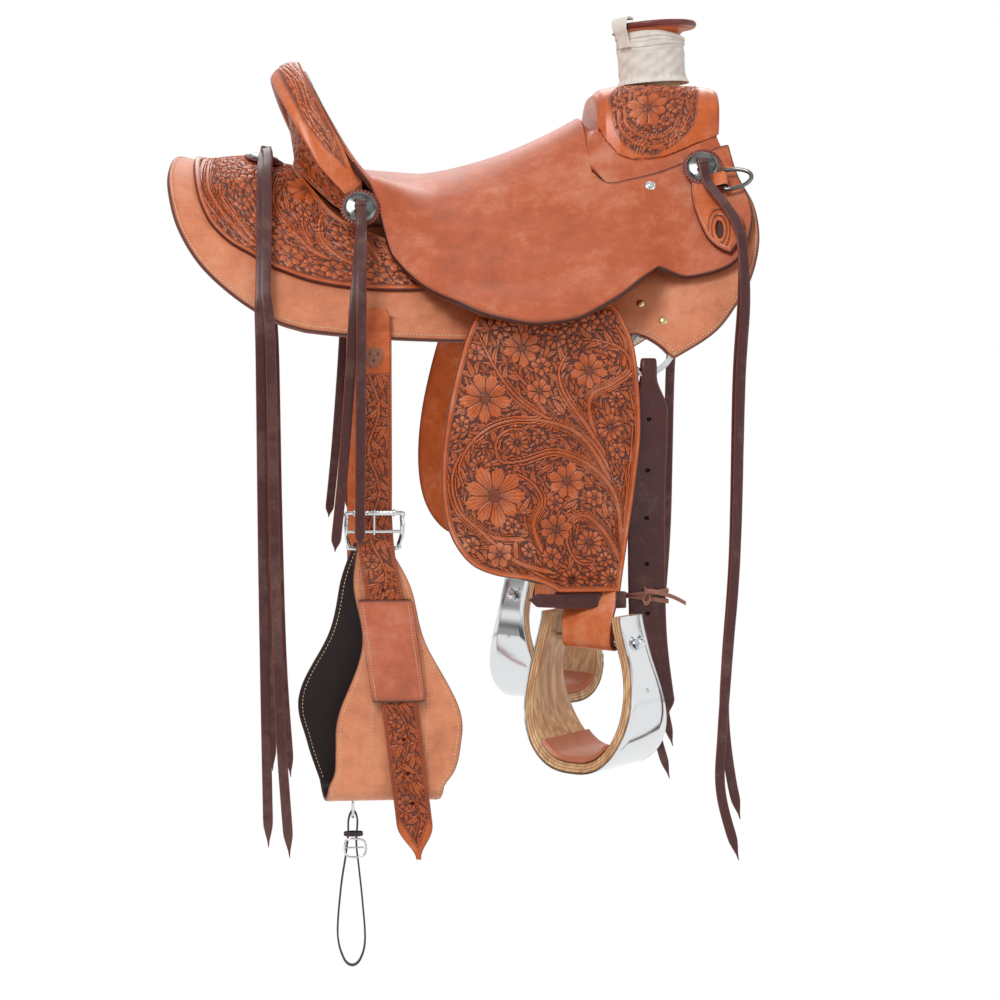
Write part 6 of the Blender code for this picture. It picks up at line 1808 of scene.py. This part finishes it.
def makeOffBillet():
    foot = onBack(np.array(rig["x"]), np.array(rig["s"] + rig["radius"]), rig["lift"])
    fold = offBillet["fold"]
    path = [(fold, -0.085, 0.0), (fold, -0.018, 0.0), (fold, 0.0, 0.0)]
    path += [(fold * math.cos(math.pi * k / 6), 0.015 * math.sin(math.pi * k / 6), 0.0) for k in range(1, 6)]
    path += [(-fold, 0.0, 0.0), (-fold, -0.018, 0.0), *offBillet["foot"]]
    line = through([(offBillet["x"] + ahead, foot[1] + out, foot[2] + up) for out, up, ahead in path], 620)
    up = line[:, 2] - foot[2]
    width = offBillet["width"] * 2 * mix(0.20, 0.5, ease(-0.004, -0.045, up))
    long = lineLength(line)
    t = np.linspace(0, long, len(line))
    width = width * (1 - 0.65 * ease(long - 0.030, long, t))
    start = t[np.argmax(up)]
    holes = [t[(t > start)][np.abs(up[t > start] - (z - foot[2])).argmin()] for z in offBillet["holes"]]

    def relief(t, q):
        # the holes are darkened, painted shade inside them; the crease lines are darker leather
        hole = sum(np.exp(-(np.hypot(t - h, q) / (2.3 * mm)) ** 6) for h in holes)
        lines = np.exp(-((np.abs(q) - offBillet["line"]) / (0.45 * mm)) ** 2)
        return -3.6 * mm * hole - 0.3 * mm * lines, np.clip(hole * 1.5 + 0.6 * lines, 0, 1)
    side = np.array((1.0, 0, 0))
    shape = strapShape(line, side, np.cross(tangents(line), side), width, offBillet["thick"], 40, relief)
    put("off_billet", shape, "strap", "off_billet", ["off_billet"])
    makeLace(line)


def makeLace(line):
    z = lace["z"]
    x, y = line[np.abs(line[:, 2] - z).argmin(), :2]
    cosA, sinA = squared(circle(60), 0.3)
    parts = []
    for dz, lean in ((0.0, 0.003), (-0.006, -0.004)):
        ring = vec(x + lace["width"] * cosA, y + lace["deep"] * sinA, z + dz + lean * cosA)
        parts.append(strapShape(ring, (0, 0, 1), np.cross(tangents(ring, True), (0, 0, 1)), 0.0055, 1.5 * mm, 5,
                                ring=True))
    path = through([(x + p[0], y + p[1], z + p[2]) for p in lace["knot"]], 60)
    parts.append(strapShape(path, (0, 0.2, 1), np.cross(tangents(path), (0, 0.2, 1)), 0.0052, 1.5 * mm, 5))
    put("billet_lace", joined(*parts), "lace", "off_billet")


def strapLean(z):
    below = np.maximum(0.0, (-0.385 - z) / (-0.385 - rearBillet["foot"]))
    return 0.052 * below ** 0.85


def billetPath(lean, count=760):
    lift = layer["skirtLift"] + layer["skirt"] + 2.6 * mm + rearBillet["thick"] / 2
    s = np.linspace(0.256, 0.284, 4)
    first = onBack(rearBillet["x"] + 0 * s, s, lift)
    z = np.linspace(first[-1, 2] - 0.012, rearBillet["foot"], 16)
    rest = vec(rearBillet["x"] + (strapLean(z) if lean else 0 * z), rearBillet["y"], z)
    return through(np.vstack([first, rest]), count)


def toolBillet(flat, t, first):
    w, long = rearBillet["width"], t[-1]
    outline = np.array([(first, -w / 2), (long - 0.05, -w / 2), (long - 0.006, 0.0), (long - 0.05, w / 2),
                        (first, w / 2), (first, -w / 2)])
    tool = Tooling(flat, outline, 5.0 * mm, seed=13, ground=0.7 * mm)
    vine = np.stack([t[::8], 0.0065 * np.sin(t[::8] / 0.0155)], 1)
    tool.stroke(vine, 1.5 * mm, "stem")
    for k in range(int(long / 0.0487) + 1):
        for shift, hand in ((0.0243, 1), (0.0487, -1)):
            at = k * 0.0974 / 2 + shift * 0.5
            where = (at, 0.0065 * math.sin(at / 0.0155))
            tool.curl(where, hand * 0.6, 0.021, hand * 0.2, hand * 2.2, 3.2 * mm, "leaf")
            tool.curl(where, -hand * 0.5, 0.017, -hand * 0.3, -hand * 2.4, 2.0 * mm, "drop")
    tool.fill(1.6 * mm)
    return tool


def makeRearBillets():
    w, thick = rearBillet["width"], rearBillet["thick"]
    across = np.array((1.0, 0, 0))
    for side, body in (("off", "flank_rigging"), ("near", "rear_billet_near")):
        line = billetPath(side == "off")
        long = lineLength(line)
        t = np.linspace(0, long, len(line))
        width = w * (0.78 + 0.22 * ease(0, 0.012, t)) * (1 - 0.86 * ease(long - 0.045, long - 0.0005, t) ** 1.3)
        flat = np.stack(np.meshgrid(t, np.linspace(-w / 2, w / 2, 40), indexing="ij"), -1)
        tool = toolBillet(flat, t, t[np.abs(line[:, 2] - rearBillet["tooledFrom"]).argmin()])
        holes = [t[np.abs(line[:, 2] - z).argmin()] for z in rearBillet["holes"]]

        def relief(t, q):
            cut, dark = tool.relief(np.stack([t, q], -1))
            # the holes are darkened, painted shade inside them
            hole = sum(np.exp(-(np.hypot(t - h, q) / (2.2 * mm)) ** 6) for h in holes)
            return cut * (1 - hole) - 3.4 * mm * hole, np.clip(dark * 0.9 + hole, 0, 1)
        out = np.cross(tangents(line), across)
        shape = strapShape(line, across, out, width, thick, 40, relief)
        put("rear_billet_" + side, shape if side == "off" else mirrored(shape), "tooled", body,
            ["rear_billet_" + side])
        keep = (t > 0.012) & (t < long - 0.044)
        stitches = [(line + across * hand * (w / 2 - 2.4 * mm) + out * (thick / 2 - 0.1 * mm))[keep]
                    for hand in (1, -1)]
        flip = (1, 1 if side == "off" else -1, 1)
        beadRow("rear_billet_stitches_" + side, [s * flip for s in stitches], 3.6 * mm,
                (1.1 * mm, 1.1 * mm, 2.7 * mm), "redThread", body)
        i = np.abs(line[:, 2] - rearBillet["tie"]).argmin()
        makeTie(line[i], out[i], body, side)


def makeTie(at, out, body, side):
    parts = []
    for hand in (1, -1):
        path = through([at + np.array((x * hand, 0, z)) + out * y for x, y, z in rearBillet["knot"]], 40)
        parts.append(strapShape(path, unit(np.cross(out, tangents(path))), out, 0.0048, 1.4 * mm, 5))
    shape = joined(*parts)
    put("billet_tie_" + side, shape if side == "off" else mirrored(shape), "lace", body)


def cinchPath():
    rows, loop = cinch["rows"], cinch["loop"]
    front, heel, fold = cinch["front"], cinch["heel"], cinch["fold"]
    y0 = front + loop
    path = [(y0 + loop, heel - 0.022, 0.06, 0.0), (y0 + loop, heel, 0.0, 0.0)]
    path += [(y0 + loop * math.cos(math.pi * k / 6), heel + loop * math.sin(math.pi * k / 6), 0.0, 0.0)
             for k in range(1, 6)]
    path.append((front, heel, 0.0, 0.0))
    for i in range(1, rows + 1):
        t = i / rows
        path.append((front, mix(heel, fold, t), t, float(smoothOff(cinch["near"], t))))
    radius = cinch["depth"] / 2
    for k in range(1, 16):
        a = math.pi * k / 16
        path.append((front + radius * (1 - math.cos(a)), fold - 0.018 * math.sin(a), 1.0,
                     mix(cinch["near"][-1][1], cinch["far"][-1][1], k / 16)))
    for i in range(rows + 1):
        t = 1 - i / rows
        path.append((front + cinch["depth"], mix(heel + 0.003, fold, t), t, float(smoothOff(cinch["far"], t))))
    return np.array(path)


def makeCinch():
    path = cinchPath()
    line = vec(rearBillet["x"] + path[:, 3], path[:, 0], path[:, 1])
    width = 2 * smoothOff(cinch["half"], path[:, 2])
    run = tangents(np.stack([0 * path[:, 0], path[:, 0], path[:, 1]], 1))
    out = np.stack([0 * run[:, 0], run[:, 2], -run[:, 1]], 1)
    points, faces, marks = strapShape(line, (1.0, 0, 0), out, width, cinch["thick"], 60)
    around = len(points) // len(line)
    marks["recess"] = np.tile((np.arange(around) >= around // 2).astype(float), len(line))
    put("flank_cinch", (points, faces, marks), "band", "flank_rigging", ["flank_cinch"])
    foot = 7 + cinch["rows"]
    level = out * (cinch["thick"] / 2)
    lines = []
    for hand in (1, -1):
        side = (width / 2 - 5.5 * mm)[:, None] * np.array((hand, 0, 0))
        inner = np.minimum(width / 2 - 9 * mm, 0.033)[:, None] * np.array((hand, 0, 0))
        lines.append((line + side + level)[10:foot + 14])
        lines.append((line + side - level)[foot + 17:len(line) - 2])
        lines.append((line + inner + level)[34:foot - 4])
    beadRow("cinch_stitches", lines, 4.6 * mm, (1.6 * mm, 1.4 * mm, 3.3 * mm), "thread", "flank_rigging")


def makeKeeper():
    a = circle(120)
    cosA, sinA = squared(a, 0.35)
    rings = {"inner": [], "outer": [], "mark": []}
    for k in range(keeper["rows"] + 1):
        t = k / keeper["rows"]
        z = mix(keeper["foot"], keeper["top"], t)
        centre = np.array((rearBillet["x"] + strapLean(z), rearBillet["y"], z))
        lip = 0.7 * mm * (1 - ease(0, 0.03, min(t, 1 - t)))
        bulge = np.where(sinA < 0, 1.0 * mm * (1 - cosA ** 2) * math.sin(math.pi * t) ** 0.4, 0.0)
        (x0, y0), (x1, y1) = keeper["inner"], keeper["outer"]
        rings["inner"].append(centre + vec(x0 * cosA, y0 * sinA - bulge * 0.6, 0 * a))
        rings["outer"].append(centre + vec((x1 - lip) * cosA, (y1 - lip) * sinA - bulge, 0 * a))
        rings["mark"].append(np.maximum(1 - ease(0, 0.035, min(t, 1 - t)), (np.abs(cosA) > 0.985) * 0.8))
    loop = np.concatenate([rings["outer"], rings["inner"][::-1]]).transpose(1, 0, 2)
    edge = np.concatenate([rings["mark"], rings["mark"][::-1]]).T
    put("cinch_keeper", loftShape(loop, ring=True, marks={"edge": edge}), "keeper", "flank_rigging",
        ["cinch_keeper"])
    z = np.linspace(-0.573, -0.460, 30)
    lines = [vec(rearBillet["x"] + strapLean(z) + hand * 0.0268, rearBillet["y"] - 5.6 * mm, z)
             for hand in (1, -1)]
    beadRow("keeper_stitches", lines, 3.4 * mm, (1.1 * mm, 1.1 * mm, 2.5 * mm), "thread", "flank_rigging")


makeRigging()
makeOffBillet()
makeRearBillets()
makeCinch()
makeKeeper()
print("billets and cinch made")


# The roller buckle, its tongue and the connector strap

buckle = {"half": 0.0290, "front": rearBillet["y"] - 8.4 * mm, "top": -0.352, "bar": -0.374, "wire": 2.6 * mm,
          "barWire": 2.0 * mm, "tongueWire": 1.3 * mm, "roller": 3.4 * mm}
connector = {"top": (-0.151, cinch["front"] + cinch["depth"] / 2, -0.6905), "link": (0.0085, 0.0165), "drop": 0.0246,
             "loop": ((0.0, 0.0004), (0.0052, -0.010), (0.004, -0.040), (0.007, -0.070), (0.011, -0.110),
                      (0.014, -0.158), (0.008, -0.182), (-0.002, -0.189), (-0.012, -0.180), (-0.019, -0.150),
                      (-0.015, -0.095), (-0.009, -0.055), (-0.0060, -0.030), (-0.0052, -0.010)),
             "frame": ((-0.0085, -0.005, 0.009), (0.0125, -0.005, 0.008), (0.013, -0.005, -0.009),
                       (-0.008, -0.005, -0.010)),
             "tongue": ((-0.009, -0.005, 0), (0.0, -0.0058, 0), (0.013, -0.005, 0))}


def makeBuckle():
    b = buckle
    heelY = cinch["front"] + cinch["loop"]
    barY = b["front"] + 1.0 * mm
    x = rearBillet["x"]
    side = [(b["half"], b["front"], b["top"]), (b["half"] + 0.0035, b["front"], b["top"] - 0.006),
            (b["half"] + 0.004, barY, b["bar"]), (b["half"] + 0.001, heelY - 0.003, cinch["heel"] + 0.006),
            (b["half"] - 0.004, heelY, cinch["heel"])]
    path = [(x + dx, y, z) for dx, y, z in side] + [(x - dx, y, z) for dx, y, z in side[::-1]]
    bar = [(x + shift, barY, b["bar"]) for shift in (-b["half"] - 0.0038, 0.0, b["half"] + 0.0038)]
    roll = np.linspace(-0.0245, 0.0245, 90)
    ribs = b["roller"] + 0.22 * mm * np.sin(roll / 0.00062) * (np.abs(roll) > 0.004)
    ribs = ribs + 0.9 * mm * np.exp(-((np.abs(roll) - 0.0235) / (1.4 * mm)) ** 2)
    parts = [tubeShape(closedRefine(path, 7), b["wire"], 14, True), tubeShape(bar, b["barWire"], 14),
             tubeShape(vec(x + roll, b["front"], b["top"]), ribs, 20)]
    put("cinch_buckle", joined(*parts), "chrome", "flank_rigging", ["cinch_buckle"], sharp=60)
    eyeR = 0.0020 + 0.0013 + 0.4 * mm
    turn = np.radians(-60 - 27 * np.arange(11))
    tongue = [(x, barY - eyeR * math.cos(a), b["bar"] - eyeR * math.sin(a)) for a in turn]
    tip = b["front"] - b["wire"] - 0.0013 - 0.4 * mm
    tongue += [(x, mix(tongue[-1][1], tip, 0.5), b["bar"] + 0.011), (x, tip, b["top"]), (x, tip, b["top"] + 0.004)]
    put("buckle_tongue", tubeShape(through(tongue, 60), b["tongueWire"], 10), "chrome", "buckle_tongue",
        ["buckle_tongue"])


def makeConnector():
    top = np.array(connector["top"])
    a = circle(48)
    wide, tall = connector["link"]
    link = top + vec(0.0, wide * np.cos(a), -0.0160 + tall * np.sin(a))
    put("connector_snap", tubeShape(link, 1.7 * mm, 12, True), "chrome", "connector", ["connector_snap"])
    hang = top + np.array((0, 0, -connector["drop"]))
    loop = closedRefine([hang + np.array((dx, 0, dz)) for dx, dz in connector["loop"]], 12)
    side = np.array((0, 1.0, 0))
    shape = strapShape(loop, side, np.cross(tangents(loop, True), side), 8 * mm, 2.2 * mm, 9, ring=True)
    put("connector_strap", shape, "black", "connector", ["connector_strap"])
    at = hang + np.array((0.0005, 0, -0.044))
    parts = [tubeShape(closedRefine([at + np.array(p) for p in connector["frame"]], 10), 1.3 * mm, 8, True),
             tubeShape([at + np.array(p) for p in connector["tongue"]], 1.0 * mm, 8)]
    put("connector_buckle", joined(*parts), "chrome", "connector")
    wrap = at + vec(0.011 * np.cos(a), 0.006 * np.sin(a), 0.016)
    put("connector_keeper", strapShape(wrap, (0, 0, 1), np.cross(tangents(wrap, True), (0, 0, 1)), 5 * mm,
                                       1.3 * mm, 7, ring=True), "black", "connector")


makeBuckle()
makeConnector()


# Conchos with rosettes, dees, latigo keepers, screw and rivets

def conchoShape(place, normal, post):
    radius = concho["radius"]
    r = np.r_[0, np.linspace(1.5, 19.0, 34) * mm, radius]
    h = np.interp(r, (0, 0.0075, 0.0150, radius), (0.0052, 0.0048, 0.0032, 0.0012))
    h = h + 0.5 * mm * np.exp(-((r - 0.0165) / (0.9 * mm)) ** 2)
    profile = np.vstack([np.stack([r, h], 1), [(radius, 0.0), (0.0030, 0.0), (0.0030, -post), (0.0, -post)]])
    steps = 64
    a = np.arange(steps) * 2 * math.pi / steps
    x, y = profile[:, :1] * np.cos(a), profile[:, :1] * np.sin(a)
    slot = (np.abs(x) < 6.8 * mm) & (np.abs(np.abs(y) - 6.8 * mm) < 2.0 * mm)
    top = np.arange(len(profile))[:, None] < len(r)

    def ripple(radii, heights, angle):
        return radii, heights - np.where(slot & top, 2.4 * mm, 0.0)
    made = turnedShape(profile, steps, place, axes(normal), None, ripple)
    # the slot floors get the recess mark, painted near black as shade in the slots
    return made[0], made[1], {"recess": (slot & top).astype(float).reshape(-1)}


def rosetteShape(place, normal, rise):
    profile = np.array(((0, 1.6), (12, 1.6), (17.5, 1.5), (21, 1.5), (23.0, 1.2), (24.5, 0.7), (24.8, 0.1),
                        (24, -0.8), (0, -0.8))) * mm

    def ripple(r, h, a):
        wave = np.abs(np.sin(a * 16))
        outer = ease(16 * mm, 24 * mm, r)
        return r * (1 - 0.055 * outer * (1 - wave)), h + 0.5 * mm * outer * (wave - 0.6) * (h > 0)
    steps = 192
    a = np.arange(steps) * 2 * math.pi / steps
    dark = ease(19 * mm, 24 * mm, profile[:, :1]) * (1 - np.abs(np.sin(a * 16))) ** 2
    made = turnedShape(profile, steps, np.asarray(place) - unit(normal) * rise, axes(normal), None, ripple)
    return made[0], made[1], {"recess": np.clip(dark * 1.6, 0, 1).reshape(-1)}


def dome(at, normal, radius, tall):
    r = np.linspace(0, 1, 9)
    profile = np.vstack([np.stack([r * radius, tall * np.sqrt(1 - (r * 0.98) ** 2)], 1), [(0, -0.4 * mm)]])
    return turnedShape(profile, 28, at, axes(normal))


def makeConchos():
    fx, fs = concho["front"]
    rx, rs = concho["rear"]
    places = {"front": (off(seatTop, fx, fs, 0.0085), facing(seatTop, fx, fs), 0.0068),
              "cantle": (np.array(concho["cantle"]), unit(concho["cantleFace"]), 0.0085),
              "rear": (off(jockeyTop, rx, rs, 0.0042), facing(jockeyTop, rx, rs), 0.0032)}
    for name, (place, normal, post) in places.items():
        shape = conchoShape(place, normal, post)
        putBoth("concho_" + name, shape, "dark", nodes=["concho_" + name], sharp=40)
        putBoth("rosette_" + name, rosetteShape(place, normal, 1.7 * mm), "rosette")


latigoKeeper = {"rear": ((0.273, 0.117), (0.268, 0.131), (0.266, 0.150), (0.268, 0.182), (0.276, 0.216),
                         (0.288, 0.236), (0.302, 0.249)),
                "front": ((0.291, 0.117), (0.295, 0.131), (0.293, 0.150), (0.304, 0.182), (0.3205, 0.213),
                          (0.320, 0.232), (0.302, 0.249)),
                "slot": (0.2925, 0.214), "lift": 2.8 * mm, "thick": 4.2 * mm, "stitch": 3.6 * mm}


def makeLatigoKeepers():
    form = latigoKeeper
    rear, front = (refine(through(form[key], 11), (0, 11), 16) for key in ("rear", "front"))

    def lay(x, s, extra=0.0):
        return seatTop(x, s) + facing(seatTop, x, s) * (form["lift"] + np.asarray(extra)[..., None])

    def relief(flat, gapTo):
        d = flat - np.array(form["slot"])
        hole = np.clip(1.4 - np.hypot(d[..., 0] / (4.5 * mm), d[..., 1] / (12 * mm)) ** 4, 0, 1)
        ringed = np.hypot(d[..., 0] / (9 * mm), d[..., 1] / (19 * mm))
        lines = np.exp(-((ringed - 1.0) / 0.10) ** 2) + np.exp(-((ringed - 1.45) / 0.08) ** 2)
        stitch = np.exp(-((gapTo - form["stitch"]) / (0.8 * mm)) ** 2)
        lines = lines * (gapTo > 5 * mm)
        # the slot is darkened, painted shade in it; the crease lines and stitch groove are darker leather
        deep = 3.7 * mm * hole + 0.8 * mm * lines * (1 - hole) + 0.3 * mm * stitch
        return -deep, np.clip(hole * 1.6 + lines * 0.8 + 0.3 * stitch, 0, 1)
    shape = laidPanel(rear, front, 60, lay, form["thick"], relief=relief)
    putBoth("latigo_keeper", shape, "tooled", "latigo_keeper", ["latigo_keeper"])
    insets = [insetLine(line, form["stitch"], 14)[52:] for line in (rear, front)]
    rowBoth("latigo_stitches", [lay(line[:, 0], line[:, 1], 4.25 * mm) for line in insets], 2.9 * mm,
            (1.0 * mm, 1.0 * mm, 2.1 * mm), "thread", "latigo_keeper")


dee = {"at": (0.3060, 0.152), "lift": 0.0110, "half": 0.015, "near": 0.008, "bow": 0.026, "wire": 2.6 * mm,
       "tab": ((-0.020, -0.0040), (-0.010, -0.0036), (-0.003, -0.0036), (0.0036, -0.0008), (0.0024, 0.0036),
               (-0.004, 0.0042), (-0.014, 0.0012), (-0.022, -0.0010))}


def makeDees():
    x, s = dee["at"]
    bar = off(seatTop, x, s, dee["lift"])
    face = facing(seatTop, x, s)
    down = unit(seatTop(x, s + 0.008) - seatTop(x, s - 0.008))
    ahead = unit(np.cross(face, down))
    a = np.linspace(-0.5, 0.5, 33) * math.pi
    bow = bar + ahead * (dee["near"] + dee["bow"] * np.cos(a))[:, None] + down * (dee["half"] * np.sin(a))[:, None]
    straight = np.array([mix(bar + down * dee["half"], bar - down * dee["half"], k / 8) for k in range(9)])
    putBoth("dee_ring", tubeShape(np.vstack([bow, straight]), dee["wire"], 14, True), "dark", "dee", ["dee_ring"])
    path = through([bar + ahead * reach + face * rise for reach, rise in dee["tab"]], 50)
    putBoth("dee_tab", strapShape(path, down, np.cross(tangents(path), down), 0.021, 2.2 * mm, 11), "tooled")


def makeStuds():
    flat = np.stack(np.meshgrid(np.linspace(0.1, 0.33, 160), np.linspace(0.1, 0.30, 160), indexing="ij"), -1)
    for name, lay, spots, look, size in (("seat_screw", seatTop, ((650.5, 185.5),), "chrome", 6.6 * mm),
                                         ("skirt_rivet", lambda x, s: skirtLay(x, s, layer["skirt"]),
                                          ((640, 304), (664, 321)), "brass", 4.8 * mm)):
        find = pixelFinder(flat, lay(flat[..., 0], flat[..., 1]), (0, 0), 1.0)
        parts = []
        for spot in spots:
            x, s = find(spot)[0]
            at, normal = lay(x, s), facing(lay, x, s)
            parts.append(dome(at + normal * 0.1 * mm, normal, size, 1.8 * mm))
            if name == "seat_screw":
                parts.append(dome(at + normal * 1.3 * mm, normal, 3.4 * mm, 1.7 * mm))
        putBoth(name, joined(*parts), look)


makeConchos()
makeLatigoKeepers()
makeDees()
makeStuds()
print("fittings made")


# CAD nodes whose shape is right keep it, with a better material

def dress():
    # tree_cantle, ground_seat and the tree bars take the darkened rawhide, painted shade for the gaps where they show
    kept = {"tree_fork": "rawhide", "tree_cantle": "hide", "ground_seat": "hide"}
    for stem, look in (("tree_bar", "hide"), ("stirrup_leather_upper", "skirt"), ("stirrup_bolt", "chrome")):
        kept.update({stem + "_off": look, stem + "_near": look})
    for node, look in kept.items():
        for place in bpy.data.objects[node].material_slots:
            place.link = "OBJECT"
            place.material = looks[look]


dress()


# Light and floor

def makeStage():
    scene = bpy.context.scene
    scene.view_settings.view_transform = "Standard"
    world = bpy.data.worlds.new("softRoom")
    world.use_nodes = True
    world.node_tree.nodes.clear()
    web = Web(world.node_tree)
    ray = web.add("ShaderNodeLightPath").outputs
    seen = web.math("MAXIMUM", ray["Is Camera Ray"], web.math("MAXIMUM", ray["Is Glossy Ray"],
                                                             ray["Is Transmission Ray"]))
    place = web.add("ShaderNodeTexCoord").outputs["Generated"]
    up = web.add("ShaderNodeSeparateXYZ", {0: place}).outputs[2]
    sky = web.span(up, -0.6, 0.8, 0.26, 0.56)
    level = web.math("ADD", web.math("MULTIPLY", sky, web.math("SUBTRACT", 1.0, seen)), seen)
    tilted = web.add("ShaderNodeMapping", {"Vector": place, "Scale": (1.1, 0.7, 2.2)}).outputs[0]
    bands = web.span(web.noise(1.6, 2.0, 0.5, tilted, 0.4), 0.40, 0.56, 0.10, 1.0)
    dim = web.math("MULTIPLY", ray["Is Glossy Ray"], web.math("SUBTRACT", 1.0, bands))
    level = web.math("MULTIPLY", level, web.math("SUBTRACT", 1.0, dim))
    ground = web.add("ShaderNodeBackground", {"Color": (1, 1, 1, 1), "Strength": level})
    web.add("ShaderNodeOutputWorld", {"Surface": ground.outputs[0]})
    scene.world = world
    lamps = {"key": ((-1.6, -2.4, 2.6), 1.5, 78.0), "fill": ((2.4, -2.2, 0.6), 2.4, 17.0),
             "rim": ((0.3, 2.4, 2.2), 2.0, 40.0)}
    for name, (at, size, power) in lamps.items():
        data = bpy.data.lights.new(name, "AREA")
        data.size = size
        data.energy = power
        lamp = bpy.data.objects.new(name, data)
        scene.collection.objects.link(lamp)
        lamp.location = at
        lamp.rotation_mode = "QUATERNION"
        lamp.rotation_quaternion = (Vector((0, 0, -0.25)) - Vector(at)).to_track_quat("-Z", "Y")
    floorMesh = bpy.data.meshes.new("floor")
    wide, low = 7.0, -1.35
    floorMesh.from_pydata([(-wide, -wide, low), (wide, -wide, low), (wide, wide, low), (-wide, wide, low)], [],
                          [(0, 1, 2, 3)])
    material, web = newMaterial("floorLook")
    ray = web.add("ShaderNodeLightPath").outputs
    seen = web.math("MAXIMUM", ray["Is Camera Ray"], ray["Is Glossy Ray"])
    matt = web.add("ShaderNodeBsdfDiffuse", {"Color": (0.86, 0.86, 0.86, 1)})
    shine = web.add("ShaderNodeEmission", {"Color": (1, 1, 1, 1), "Strength": 1.0})
    both = web.add("ShaderNodeMixShader", {0: seen, 1: matt.outputs[0], 2: shine.outputs[0]})
    web.add("ShaderNodeOutputMaterial", {"Surface": both.outputs[0]})
    floorMesh.materials.append(material)
    floor = bpy.data.objects.new("floor", floorMesh)
    scene.collection.objects.link(floor)


makeStage()
